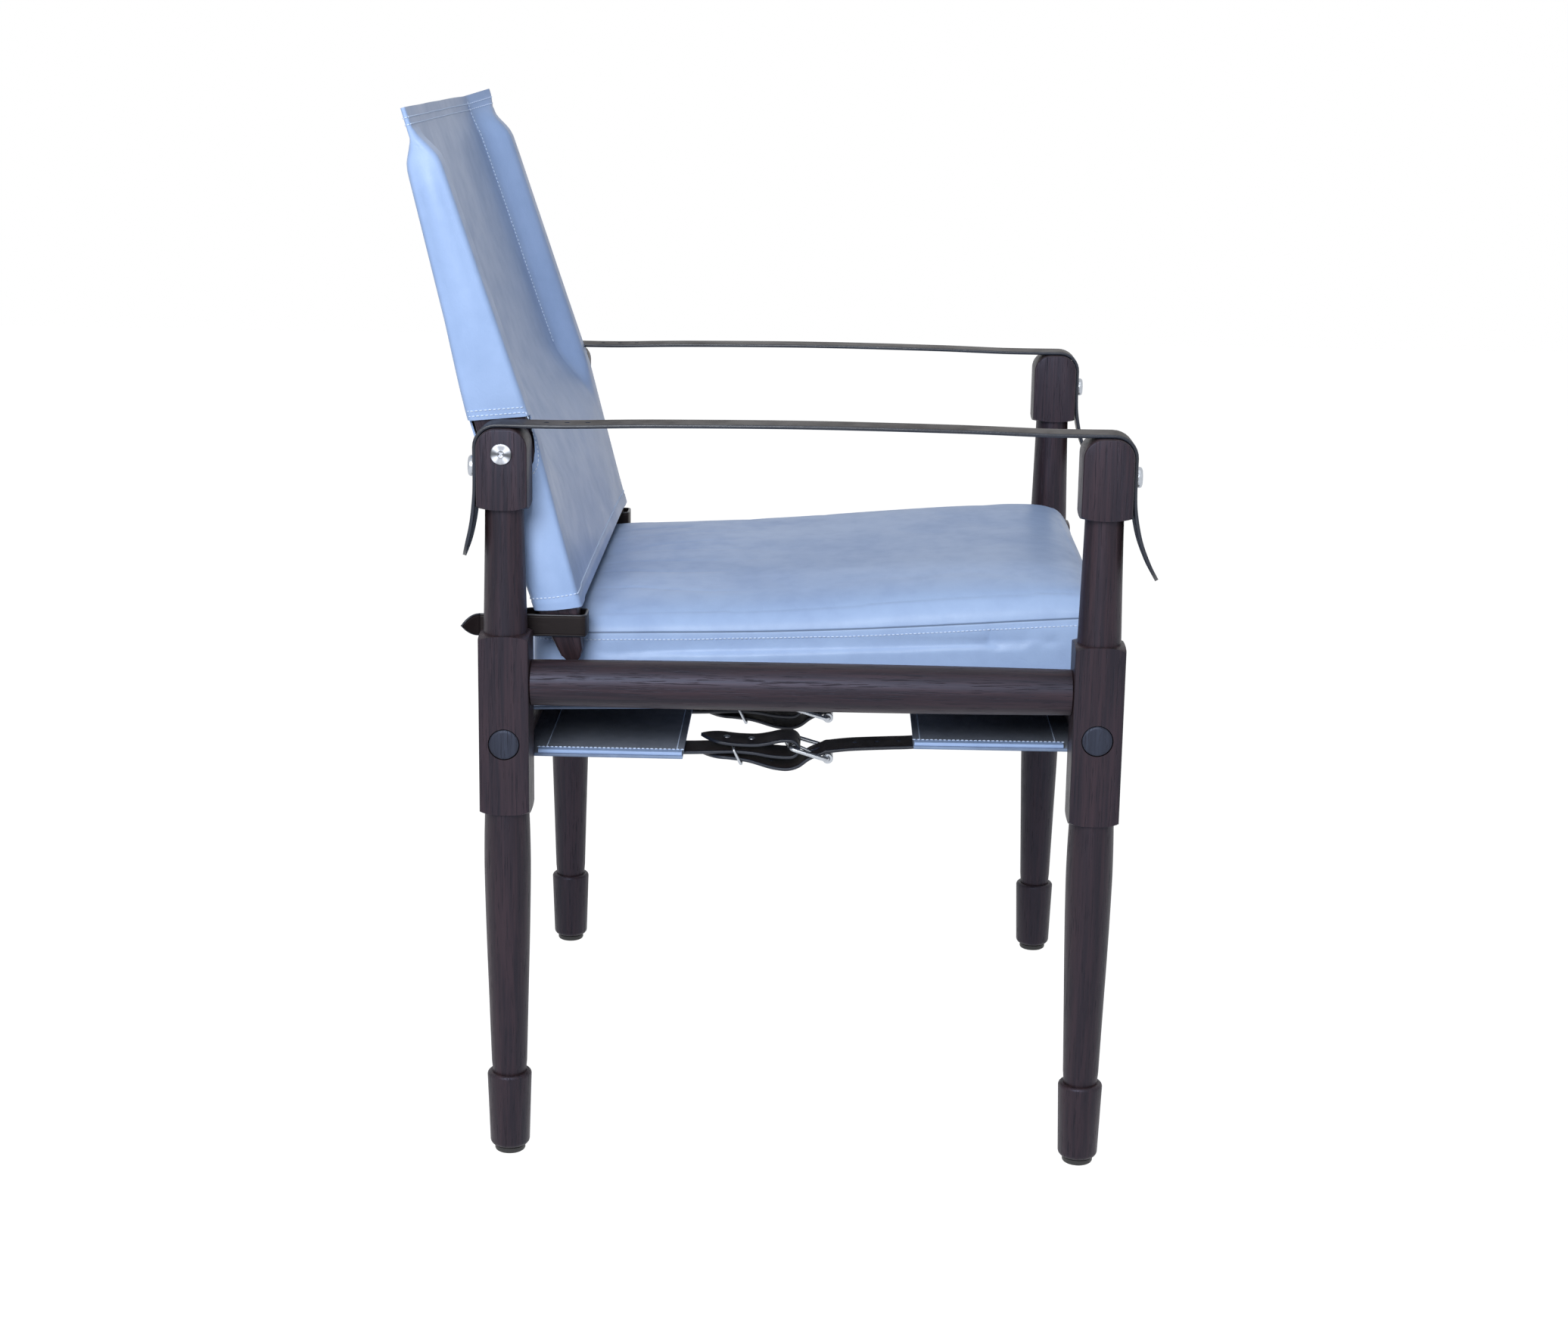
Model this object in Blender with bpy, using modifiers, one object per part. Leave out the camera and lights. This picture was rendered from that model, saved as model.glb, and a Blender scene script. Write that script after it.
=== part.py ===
"""A campaign chair: turned legs, bolted rails, a buckled leather sling, a boxed cushion,
leather strap arms, and a leather back sleeve on two wooden stiles that tilt at the rear legs.

Metres, +Z up, the chair faces -Y, the sitter's right is -X. Z = 0 is the floor.
"""
import math

import bmesh
import bpy
from mathutils import Matrix, Vector

# Frame
LEG_SPACING_X = 0.5736
LEG_SPACING_Y = 0.508
ARM_HEIGHT = 0.6534
LEG_SQUARE = 0.0431
LEG_EDGE = 0.0015
HEAD_HEIGHT = 0.0634
HEAD_CORNER = 0.0165
BLOCK_DROP = 0.1836
BLOCK_HEIGHT = 0.1465
SHOULDER_DEPTH = 0.006
UPPER_NECK_DIAMETER = 0.033
UPPER_BASE_DIAMETER = 0.0377
LOWER_TOP_DIAMETER = 0.0386
LOWER_BELLY_DIAMETER = 0.0405
ANKLE_DIAMETER = 0.031
COLLAR_TOP = 0.0755
COLLAR_TOP_DIAMETER = 0.0392
COLLAR_FOOT_DIAMETER = 0.0351
COLLAR_ROUND = 0.003
FOOT_DIAMETER = 0.0275
FOOT_ROUND = 0.0045

# Glides
GLIDE_DIAMETER = 0.027
GLIDE_HEIGHT = 0.0055
GLIDE_PIN_DIAMETER = 0.005
GLIDE_PIN_LENGTH = 0.014

# Rails
SIDE_RAIL_DROP = 0.0384
FRONT_RAIL_DROP = 0.0759
REAR_RAIL_DROP = 0.089
SIDE_RAIL_DIAMETER = 0.042
SIDE_RAIL_END_DIAMETER = 0.035
CROSS_RAIL_DIAMETER = 0.038
TENON_DIAMETER = 0.024
TENON_LENGTH = 0.010
THROUGH_TENON_PROUD = 0.001

# Rail bolts with their barrel nuts, and wooden bolt covers
COVER_DIAMETER = 0.026
COVER_DEPTH = 0.0085
COVER_PROUD = 0.001
BOLT_DIAMETER = 0.0062
BOLT_HEAD_DIAMETER = 0.014
BOLT_HEAD_LENGTH = 0.007
BOLT_REACH = 0.040
BARREL_DIAMETER = 0.012
BARREL_LENGTH = 0.020
BARREL_SETBACK = 0.030

# Fits
GAP = 0.0003
BORE_EASE = 0.0004
OVERRUN = 0.004

# Back
PIVOT_DROP = 0.0209
RECLINE_DEGREES = 16.7
STILE_THICKNESS = 0.024
STILE_SETBACK = 0.00325
STILE_TOP = 0.256
STILE_BOTTOM = 0.197
STILE_TOP_DEPTH = 0.027
STILE_UPPER_DEPTH = 0.036
STILE_PIVOT_DEPTH = 0.045
STILE_LOWER_DEPTH = 0.034
STILE_TIP_DEPTH = 0.016
STILE_EDGE = 0.002
PIVOT_SCREW_DIAMETER = 0.006
PIVOT_HEAD_DIAMETER = 0.018
PIVOT_HEAD_HEIGHT = 0.0022
PIVOT_RECESS_DIAMETER = 0.004
BUSHING_DIAMETER = 0.010
BUSHING_FLANGE_DIAMETER = 0.020

# Back sleeve
SLEEVE_TOP = 0.2935
SLEEVE_BOTTOM = 0.1475
SLEEVE_LEATHER = 0.002
PANEL_THICKNESS = 0.0034
PANEL_SLACK = 0.006
POCKET_TAPER = 0.022
SLEEVE_SEAM = 0.018
SLEEVE_PINCH = 0.042
NOTCH_TOP = 0.0275
NOTCH_BOTTOM = 0.030
NOTCH_CORNER = 0.016
NOTCH_SIDE = 0.011
HEM_SLOPE_SHARE = 0.2
SEAM_PANEL_SHARE = 1.15
PINCH_PANEL_SHARE = 2.2

# Arm straps
ARM_STRAP_WIDTH = 0.032
ARM_STRAP_THICKNESS = 0.0032
ARM_STRAP_RISE = 0.003
ARM_REAR_TAIL = 0.1114
ARM_FRONT_TAIL = 0.1224
ARM_REAR_FLARE = 0.011
ARM_FRONT_FLARE = 0.023
ARM_TIP_LENGTH = 0.018
ARM_STUD_DROP = 0.0344
ARM_HOLE_DIAMETER = 0.0045
ARM_HOLE_SPACING = 0.0175
ARM_HOLE_FIRST = 0.036
ARM_HOLE_COUNT = 3
STUD_DIAMETER = 0.018
STUD_HEIGHT = 0.0044
STUD_SHANK_DIAMETER = 0.005
STUD_SHANK_LENGTH = 0.014

# Keeper straps round the feet of the stiles
KEEPER_RISE = 0.0165
KEEPER_WIDTH = 0.0195
KEEPER_THICKNESS = 0.0024
KEEPER_TAIL = 0.040
KEEPER_TAIL_FLARE = 0.009
KEEPER_RETURN = 0.016
KEEPER_STUD_DIAMETER = 0.009
KEEPER_STUD_HEIGHT = 0.002
KEEPER_SHANK_DIAMETER = 0.004

# Seat sling
SLING_SIDE_GAP = 0.00325
SLING_THICKNESS = 0.003
REAR_FLAP_END = 0.103
FRONT_FLAP_END = 0.099
FLAP_DROP = 0.0003

# Buckled straps under the sling
STRAP_OFFSETS_SHARE = (-0.4103, -0.1368, 0.1368, 0.4103)
STRAP_WIDTH = 0.038
STRAP_THICKNESS = 0.003
STRAP_OVERLAP = 0.060
STRAP_TIP_LENGTH = 0.022
TIP_POINT_SHARES = (1.0, 0.6, 0.25)
STRAP_HOLE_DIAMETER = 0.005
STRAP_HOLE_SPACING = 0.022
RETURN_LENGTH = 0.0796
RETURN_SAG = 0.0046
LOWER_RUN_LENGTH = 0.0656
FOLD_RADIUS = 0.0076
FOLD_DROP = 0.002
BILLET_REACH = 0.0796
BELLY_DROP = 0.0205
HEEL_BAR_Y = 0.0094
HEEL_BAR_RISE = 0.0036
LOWER_RUN_SHARES = ((1.0, -0.37), (0.726, -0.59), (0.466, -0.11), (0.299, 0.59), (0.116, 1.0))
RETURN_SHARES = ((0.102, 0.07), (0.253, 0.67), (0.378, 1.0), (0.535, 1.0), (0.636, 0.89), (0.786, 0.57),
                 (1.0, 0.0))
FRONT_RUN_SHARES = ((0.256, 0.365), (0.512, 0.594), (0.768, 0.771))
BELLY_SHARES = ((-0.219, 0.502), (-0.093, 0.863), (0.02, 1.0), (0.133, 0.98), (0.24, 0.898),
                (0.46, 0.654), (0.673, 0.541), (0.799, 0.522), (1.0, 0.517))
BUCKLE_LENGTH = 0.035
BUCKLE_WIDTH = 0.046
BUCKLE_TILT_DEGREES = 16.5
BUCKLE_CORNER = 0.005
BUCKLE_WIRE_DIAMETER = 0.004
ROLLER_DIAMETER = 0.0095
ROLLER_LENGTH = 0.036
PRONG_DIAMETER = 0.003
PRONG_LENGTH = 0.039
PRONG_EYE_DIAMETER = 0.0066
PRONG_EYE_WIDTH = 0.004
PRONG_SLOT_WIDTH = 0.005
PRONG_SLOT_LENGTH = 0.013
FOLD_SLOT_LENGTH = 0.009
FOLD_SLOT_HEIGHT = 0.011
FOLD_SLOT_REACH = 0.0064
LOOP_TOP_DISTANCE = 0.0501
LOOP_BOTTOM_DISTANCE = 0.0431
KEEPER_LOOP_WIRE = 0.0026
KEEPER_LOOP_EASE = 0.0007

# Seat cushion
CUSHION_SIDE_GAP = 0.0023
CUSHION_FRONT = 0.270
CUSHION_REAR = 0.237
CUSHION_BAND_REAR = 0.0615
CUSHION_BAND_FRONT = 0.0697
CUSHION_CROWN_REAR = 0.014
CUSHION_CROWN_FRONT = 0.0185
CUSHION_CORNER = 0.024
CUSHION_DRAW = 0.003
CUSHION_SEAM = 0.0015

# Facets
LEG_FACETS = 16
LATHE_TURN_DEGREES = 3.0
RAIL_FACETS = 18
SMALL_FACETS = 12
ARC_STEPS = 5

# Worked out from the sizes above
HALF_X = LEG_SPACING_X / 2
HALF_Y = LEG_SPACING_Y / 2
HALF_SQUARE = LEG_SQUARE / 2
RECLINE = math.radians(RECLINE_DEGREES)
PIVOT_HEIGHT = ARM_HEIGHT - PIVOT_DROP
BLOCK_TOP = ARM_HEIGHT - BLOCK_DROP
SIDE_RAIL_HEIGHT = BLOCK_TOP - SIDE_RAIL_DROP
FRONT_RAIL_HEIGHT = BLOCK_TOP - FRONT_RAIL_DROP
REAR_RAIL_HEIGHT = BLOCK_TOP - REAR_RAIL_DROP
KEEPER_TOP = BLOCK_TOP + KEEPER_RISE
REAR_REACH = HALF_Y + (SLEEVE_TOP + OVERRUN) * math.sin(RECLINE)
FRONT_REACH = HALF_Y + HALF_SQUARE + ARM_STRAP_THICKNESS + ARM_FRONT_FLARE
CENTRE_Y = (FRONT_REACH - REAR_REACH) / 2
PIVOT_Y = CENTRE_Y + HALF_Y
LEG_INNER_X = HALF_X - HALF_SQUARE
LEG_OUTER_X = HALF_X + HALF_SQUARE
STILE_OUTER_X = LEG_INNER_X - STILE_SETBACK
STILE_INNER_X = STILE_OUTER_X - STILE_THICKNESS
STILE_X = (STILE_OUTER_X + STILE_INNER_X) / 2
SLING_WIDTH = 2 * (LEG_INNER_X - SLING_SIDE_GAP)
CUSHION_WIDTH = 2 * (STILE_INNER_X - GAP - KEEPER_THICKNESS - CUSHION_SIDE_GAP)
SLING_WRAP_RADIUS = CROSS_RAIL_DIAMETER / 2 + GAP + SLING_THICKNESS / 2
SLOPE = math.atan((FRONT_RAIL_HEIGHT - REAR_RAIL_HEIGHT) / LEG_SPACING_Y)

LEATHER = (0.42, 0.53, 0.72, 1.0)
WOOD = (0.045, 0.032, 0.036, 1.0)
DARK_LEATHER = (0.022, 0.016, 0.015, 1.0)
PLUG = (0.03, 0.036, 0.05, 1.0)
STEEL = (0.62, 0.64, 0.66, 1.0)
BLACK = (0.012, 0.012, 0.013, 1.0)

PARTS = None
CUTTERS = None


def clear_scene():
    for obj in list(bpy.data.objects):
        bpy.data.objects.remove(obj)
    for collection in list(bpy.data.collections):
        bpy.data.collections.remove(collection)


def new_collection(name):
    collection = bpy.data.collections.new(name)
    bpy.context.scene.collection.children.link(collection)
    return collection


def finish_part(obj, colour, roughness, metallic=0.0):
    """Give a sub-part its own material."""
    material = bpy.data.materials.new(obj.name + "_finish")
    material.use_nodes = True
    shader = material.node_tree.nodes["Principled BSDF"]
    shader.inputs["Base Color"].default_value = colour
    shader.inputs["Roughness"].default_value = roughness
    shader.inputs["Metallic"].default_value = metallic
    material.diffuse_color = colour
    obj.data.materials.clear()
    obj.data.materials.append(material)
    return obj


def object_from_bmesh(name, bm, cutter=False):
    mesh = bpy.data.meshes.new(name)
    bm.to_mesh(mesh)
    bm.free()
    mesh.shade_smooth()
    mesh.set_sharp_from_angle(angle=math.radians(35))
    obj = bpy.data.objects.new(name, mesh)
    (CUTTERS if cutter else PARTS).objects.link(obj)
    if cutter:
        obj.hide_render = True
        obj.display_type = "WIRE"
    return obj


def place(obj, location=(0, 0, 0), rotation=(0, 0, 0), parent=None):
    obj.location = location
    obj.rotation_euler = rotation
    obj.parent = parent
    return obj


def turned(name, profile, facets, cutter=False):
    """Turn a profile of (radius, height) points, listed from top to bottom, about Z."""
    bm = bmesh.new()
    verts = [bm.verts.new((radius, 0, height)) for radius, height in profile]
    for first, second in zip(verts, verts[1:]):
        bm.edges.new((first, second))
    obj = object_from_bmesh(name, bm, cutter)
    screw = obj.modifiers.new("Turn", "SCREW")
    screw.axis = "Z"
    screw.angle = math.tau
    screw.steps = facets
    screw.render_steps = facets
    screw.use_merge_vertices = True
    screw.merge_threshold = 0.00001
    return obj


def ring_profile(inner, outer, bottom, top):
    """A closed profile for a ring: down its outer side, back up its bore."""
    return [(inner, top), (outer, top), (outer, bottom), (inner, bottom), (inner, top)]


def cylinder(name, radius, length, facets=SMALL_FACETS, cutter=False):
    bm = bmesh.new()
    bmesh.ops.create_cone(bm, cap_ends=True, segments=facets, radius1=radius, radius2=radius, depth=length)
    return object_from_bmesh(name, bm, cutter)


def box(name, size, cutter=False):
    bm = bmesh.new()
    bmesh.ops.create_cube(bm, size=1.0)
    bmesh.ops.scale(bm, vec=size, verts=bm.verts)
    return object_from_bmesh(name, bm, cutter)


def boolean(target, tool, operation="DIFFERENCE"):
    modifier = target.modifiers.new(operation.title(), "BOOLEAN")
    modifier.operation = operation
    modifier.solver = "EXACT"
    modifier.object = tool
    return target


def mesh_from_curve(curve_obj, cutter=False):
    """Turn a curve object into a welded mesh object of the same name and place."""
    bpy.context.view_layer.update()
    graph = bpy.context.evaluated_depsgraph_get()
    mesh = bpy.data.meshes.new_from_object(curve_obj.evaluated_get(graph))
    bm = bmesh.new()
    bm.from_mesh(mesh)
    bpy.data.meshes.remove(mesh)
    bmesh.ops.remove_doubles(bm, verts=bm.verts, dist=0.000001)
    bmesh.ops.recalc_face_normals(bm, faces=bm.faces)
    matrix = curve_obj.matrix_world.copy()
    name = curve_obj.name
    bpy.data.objects.remove(curve_obj)
    obj = object_from_bmesh(name, bm, cutter)
    obj.matrix_world = matrix
    return obj


def poly_curve(name, points, cyclic):
    curve = bpy.data.curves.new(name, "CURVE")
    spline = curve.splines.new("POLY")
    spline.points.add(len(points) - 1)
    for point, place_3d in zip(spline.points, points):
        point.co = (*place_3d, 1)
    spline.use_cyclic_u = cyclic
    obj = bpy.data.objects.new(name, curve)
    PARTS.objects.link(obj)
    return obj


def flat_outline(name, outline, thickness, centre_x=0.0, cutter=False):
    """Extrude an outline of (y, z) points across X."""
    obj = poly_curve(name, [(y, z, 0) for y, z in outline], True)
    obj.data.dimensions = "2D"
    obj.data.fill_mode = "BOTH"
    obj.data.extrude = thickness / 2
    obj.rotation_euler = (math.pi / 2, 0, math.pi / 2)
    obj = mesh_from_curve(obj, cutter)
    obj.data.transform(Matrix.Translation((centre_x, 0, 0)) @ obj.matrix_world)
    obj.matrix_world = Matrix.Identity(4)
    return obj


def wire(name, points, diameter, cyclic=False):
    obj = poly_curve(name, points, cyclic)
    obj.data.dimensions = "3D"
    obj.data.bevel_depth = diameter / 2
    obj.data.bevel_resolution = 1
    obj.data.use_fill_caps = not cyclic
    return mesh_from_curve(obj)


def band(name, rows, thickness, across):
    """A leather band: rows of (centre point, half width), laid across one axis and thickened."""
    bm = bmesh.new()
    direction = Vector(across)
    pairs = []
    for centre, half_width in rows:
        reach = direction * half_width
        pairs.append((bm.verts.new(Vector(centre) - reach), bm.verts.new(Vector(centre) + reach)))
    for first, second in zip(pairs, pairs[1:]):
        bm.faces.new((first[0], first[1], second[1], second[0]))
    obj = object_from_bmesh(name, bm)
    solid = obj.modifiers.new("Leather", "SOLIDIFY")
    solid.thickness = thickness
    solid.offset = 0
    solid.use_even_offset = True
    return obj


def arc(centre_y, centre_z, radius, start_degrees, end_degrees, steps=ARC_STEPS):
    """Points of an arc in the side view, with angles measured from +Y towards +Z."""
    points = []
    for step in range(steps + 1):
        angle = math.radians(start_degrees + (end_degrees - start_degrees) * step / steps)
        points.append((centre_y + radius * math.cos(angle), centre_z + radius * math.sin(angle)))
    return points


def mix(start, end, share):
    return start + (end - start) * share


def height_on(path, y):
    """Height of a side-view path of (y, z) points where it passes y."""
    for (y0, z0), (y1, z1) in zip(path, path[1:]):
        if min(y0, y1) <= y <= max(y0, y1) and y0 != y1:
            return mix(z0, z1, (y - y0) / (y1 - y0))
    return path[-1][1]


def tip_rows(path, half_width, tip_length, across_point):
    """Rows for a band whose end, at the last point, narrows to a rounded point."""
    lengths = [0.0]
    for (y0, z0), (y1, z1) in zip(path[::-1], path[::-1][1:]):
        lengths.append(lengths[-1] + math.hypot(y1 - y0, z1 - z0))
    rows = []
    for (y, z), left in zip(path, lengths[::-1]):
        share = min(1.0, left / tip_length)
        rows.append((across_point(y, z), half_width * max(0.08, math.sin(share * math.pi / 2) ** 0.8)))
    return rows


def with_tip(path, tip_length):
    """Add three points inside the last stretch of a path so that its tip can narrow."""
    (y0, z0), (y1, z1) = path[-2], path[-1]
    length = math.hypot(y1 - y0, z1 - z0)
    extra = [(mix(y1, y0, min(share * tip_length / length, 0.97)),
              mix(z1, z0, min(share * tip_length / length, 0.97))) for share in TIP_POINT_SHARES]
    return path[:-1] + extra + [path[-1]]


# Legs
def shoulder(edge, direction, radius):
    """Rounded lathe shoulder between a square block's edge and a turning of the given radius."""
    corner = HALF_SQUARE * math.sqrt(2)
    points = []
    for degrees in (0, 45, 90):
        angle = math.radians(degrees)
        points.append((radius + (corner - radius) * math.cos(angle),
                       edge + direction * SHOULDER_DEPTH * math.sin(angle)))
    return points


def leg_turning():
    """The lathe's envelope of a leg, from top to bottom; the square blocks lie inside it."""
    outside = HALF_SQUARE * math.sqrt(2) + OVERRUN
    head_bottom = ARM_HEIGHT - HEAD_HEIGHT
    block_bottom = BLOCK_TOP - BLOCK_HEIGHT
    neck = UPPER_NECK_DIAMETER / 2
    base = UPPER_BASE_DIAMETER / 2
    top = LOWER_TOP_DIAMETER / 2
    belly = LOWER_BELLY_DIAMETER / 2
    ankle = ANKLE_DIAMETER / 2
    profile = [(0, ARM_HEIGHT + OVERRUN), (outside, ARM_HEIGHT + OVERRUN), (outside, head_bottom)]
    profile += shoulder(head_bottom, -1, neck)
    profile += shoulder(BLOCK_TOP, 1, base)[::-1]
    profile += [(outside, BLOCK_TOP), (outside, block_bottom)]
    profile += shoulder(block_bottom, -1, top)
    start = block_bottom - SHOULDER_DEPTH
    length = start - COLLAR_TOP
    for share, radius in ((0.1, mix(top, belly, 0.75)), (0.22, belly), (0.45, mix(belly, ankle, 0.22)),
                          (0.7, mix(belly, ankle, 0.58)), (0.99, ankle)):
        profile.append((radius, start - length * share))
    collar = COLLAR_TOP_DIAMETER / 2
    heel = COLLAR_FOOT_DIAMETER / 2
    profile += [(ankle, COLLAR_TOP), (collar - COLLAR_ROUND, COLLAR_TOP),
                (collar - COLLAR_ROUND * 0.3, COLLAR_TOP - COLLAR_ROUND * 0.3),
                (collar, COLLAR_TOP - COLLAR_ROUND)]
    foot = FOOT_DIAMETER / 2
    bottom = GLIDE_HEIGHT + GAP
    pin = GLIDE_PIN_DIAMETER / 2 + BORE_EASE
    pin_top = GLIDE_HEIGHT + GLIDE_PIN_LENGTH + GAP
    profile += [(heel, bottom + FOOT_ROUND), (mix(foot, heel, 0.7), bottom + FOOT_ROUND * 0.4),
                (foot, bottom), (pin, bottom), (pin, pin_top), (0, pin_top)]
    return profile


def leg_outline():
    """Side view of the square stock, with the rounded top of the arm head."""
    bottom = GLIDE_HEIGHT - OVERRUN
    inset = HALF_SQUARE - HEAD_CORNER
    outline = [(-HALF_SQUARE, bottom), (HALF_SQUARE, bottom)]
    outline += arc(inset, ARM_HEIGHT - HEAD_CORNER, HEAD_CORNER, 0, 90)
    outline += arc(-inset, ARM_HEIGHT - HEAD_CORNER, HEAD_CORNER, 90, 180)
    return outline


def bolt_way(name):
    """Cutter for a bolted joint: cover seat, bolt head seat, bolt hole and mortise, outside at Z = 0."""
    cover = COVER_DIAMETER / 2 + BORE_EASE
    cover_depth = COVER_DEPTH + GAP
    head = BOLT_HEAD_DIAMETER / 2 + BORE_EASE
    head_depth = cover_depth + BOLT_HEAD_LENGTH + 2 * GAP
    hole = BOLT_DIAMETER / 2 + BORE_EASE
    mortise = TENON_DIAMETER / 2 + BORE_EASE
    mortise_depth = LEG_SQUARE - TENON_LENGTH - GAP
    return turned(name, [(0, OVERRUN), (cover, OVERRUN), (cover, -cover_depth), (head, -cover_depth),
                         (head, -head_depth), (hole, -head_depth), (hole, -mortise_depth),
                         (mortise, -mortise_depth), (mortise, -LEG_SQUARE - OVERRUN),
                         (0, -LEG_SQUARE - OVERRUN)], RAIL_FACETS, True)


def build_leg(name, side, end):
    """One leg in one piece; side is -1 at the sitter's right, end is -1 at the front."""
    x = side * HALF_X
    y = CENTRE_Y + end * HALF_Y
    leg = flat_outline(name, leg_outline(), LEG_SQUARE)
    edges = leg.modifiers.new("Edges", "BEVEL")
    edges.width = LEG_EDGE
    edges.segments = 1
    edges.limit_method = "ANGLE"
    edges.angle_limit = math.radians(40)
    lathe = place(turned(name + "_lathe", leg_turning(), LEG_FACETS, True), (x, y, 0))
    lathe.rotation_euler = (0, 0, math.radians(LATHE_TURN_DEGREES))
    boolean(leg, lathe, "INTERSECT")
    rail_height = FRONT_RAIL_HEIGHT if end < 0 else REAR_RAIL_HEIGHT
    outer_x = side * LEG_OUTER_X
    way = place(bolt_way(name + "_cross_way"), (outer_x, y, rail_height), (0, side * math.pi / 2, 0))
    boolean(leg, way)
    if end > 0:
        mortise = cylinder(name + "_mortise", TENON_DIAMETER / 2 + BORE_EASE, LEG_SQUARE + 2 * OVERRUN,
                           RAIL_FACETS, True)
        boolean(leg, place(mortise, (x, y, SIDE_RAIL_HEIGHT), (math.pi / 2, 0, 0)))
        hole = cylinder(name + "_pivot_hole", PIVOT_SCREW_DIAMETER / 2 + BORE_EASE,
                        LEG_SQUARE + 2 * OVERRUN, cutter=True)
        boolean(leg, place(hole, (x, PIVOT_Y, PIVOT_HEIGHT), (0, math.pi / 2, 0)))
        hole = cylinder(name + "_keeper_hole", KEEPER_SHANK_DIAMETER / 2 + BORE_EASE,
                        LEG_SQUARE / 2, cutter=True)
        boolean(leg, place(hole, (side * (HALF_X - LEG_SQUARE / 4), PIVOT_Y, KEEPER_TOP - KEEPER_WIDTH / 2),
                           (0, math.pi / 2, 0)))
    else:
        mortise = cylinder(name + "_mortise", TENON_DIAMETER / 2 + BORE_EASE,
                           TENON_LENGTH + GAP + OVERRUN, RAIL_FACETS, True)
        middle = y + HALF_SQUARE - (TENON_LENGTH + GAP - OVERRUN) / 2
        boolean(leg, place(mortise, (x, middle, SIDE_RAIL_HEIGHT), (math.pi / 2, 0, 0)))
    depth = STUD_SHANK_LENGTH
    hole = cylinder(name + "_stud_hole", STUD_SHANK_DIAMETER / 2 + BORE_EASE, 2 * depth, cutter=True)
    boolean(leg, place(hole, (x, y + end * HALF_SQUARE, ARM_HEIGHT - ARM_STUD_DROP), (math.pi / 2, 0, 0)))
    leg.location = (x, y, 0)
    return finish_part(leg, WOOD, 0.45)


def build_glide(name, side, end):
    radius = GLIDE_DIAMETER / 2
    pin = GLIDE_PIN_DIAMETER / 2
    top = GLIDE_HEIGHT + GLIDE_PIN_LENGTH
    edge = GLIDE_HEIGHT * 0.3
    glide = turned(name, [(0, top), (pin, top), (pin, GLIDE_HEIGHT), (radius, GLIDE_HEIGHT),
                          (radius, edge), (radius - edge, 0), (0, 0)], SMALL_FACETS)
    place(glide, (side * HALF_X, CENTRE_Y + end * HALF_Y, 0))
    return finish_part(glide, BLACK, 0.5)


# Rails
def rail_profile(length, middle, end, far_tenon):
    """A turned rail that swells to its middle, with a round tenon at each end; far_tenon is at +Z."""
    half = length / 2 - GAP
    tenon = TENON_DIAMETER / 2
    outer = []
    for share in (1.0, 0.75, 0.4, 0.0, -0.4, -0.75, -1.0):
        swell = 1 - abs(share) ** 2.4
        outer.append((mix(end, middle, swell) / 2, half * share))
    return ([(0, half + far_tenon), (tenon, half + far_tenon), (tenon, half)] + outer
            + [(tenon, -half), (tenon, -half - TENON_LENGTH), (0, -half - TENON_LENGTH)])


def cut_rail_end(rail, name, end, centre):
    """Bolt hole along the end of a cross rail and a cross hole from below for the barrel nut."""
    bore_length = TENON_LENGTH + BARREL_SETBACK + BARREL_DIAMETER + OVERRUN
    bore = cylinder(name + "_bore", BOLT_DIAMETER / 2 + BORE_EASE, bore_length, cutter=True)
    middle = LEG_INNER_X + TENON_LENGTH + OVERRUN - bore_length / 2
    boolean(rail, place(bore, (end * middle, centre[1], centre[2]), (0, math.pi / 2, 0)))
    depth = BARREL_LENGTH + CROSS_RAIL_DIAMETER / 2
    cross = cylinder(name + "_cross", BARREL_DIAMETER / 2 + BORE_EASE, depth, cutter=True)
    height = centre[2] + BARREL_LENGTH / 2 + GAP - depth / 2
    boolean(rail, place(cross, (end * (LEG_INNER_X - BARREL_SETBACK), centre[1], height)))


def build_rails():
    side_length = LEG_SPACING_Y - LEG_SQUARE
    for name, end, height in (("front_rail", -1, FRONT_RAIL_HEIGHT), ("rear_rail", 1, REAR_RAIL_HEIGHT)):
        centre = (0, CENTRE_Y + end * HALF_Y, height)
        profile = rail_profile(2 * LEG_INNER_X, CROSS_RAIL_DIAMETER, CROSS_RAIL_DIAMETER, TENON_LENGTH)
        rail = place(turned(name, profile, RAIL_FACETS), centre, (0, math.pi / 2, 0))
        cut_rail_end(rail, name + "_left", 1, centre)
        cut_rail_end(rail, name + "_right", -1, centre)
        finish_part(rail, WOOD, 0.45)
    through = LEG_SQUARE + GAP + THROUGH_TENON_PROUD
    for name, side in (("side_rail_right", -1), ("side_rail_left", 1)):
        profile = rail_profile(side_length, SIDE_RAIL_DIAMETER, SIDE_RAIL_END_DIAMETER, through)
        rail = turned(name, profile, RAIL_FACETS)
        place(rail, (side * HALF_X, CENTRE_Y, SIDE_RAIL_HEIGHT), (-math.pi / 2, 0, 0))
        finish_part(rail, WOOD, 0.45)


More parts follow.
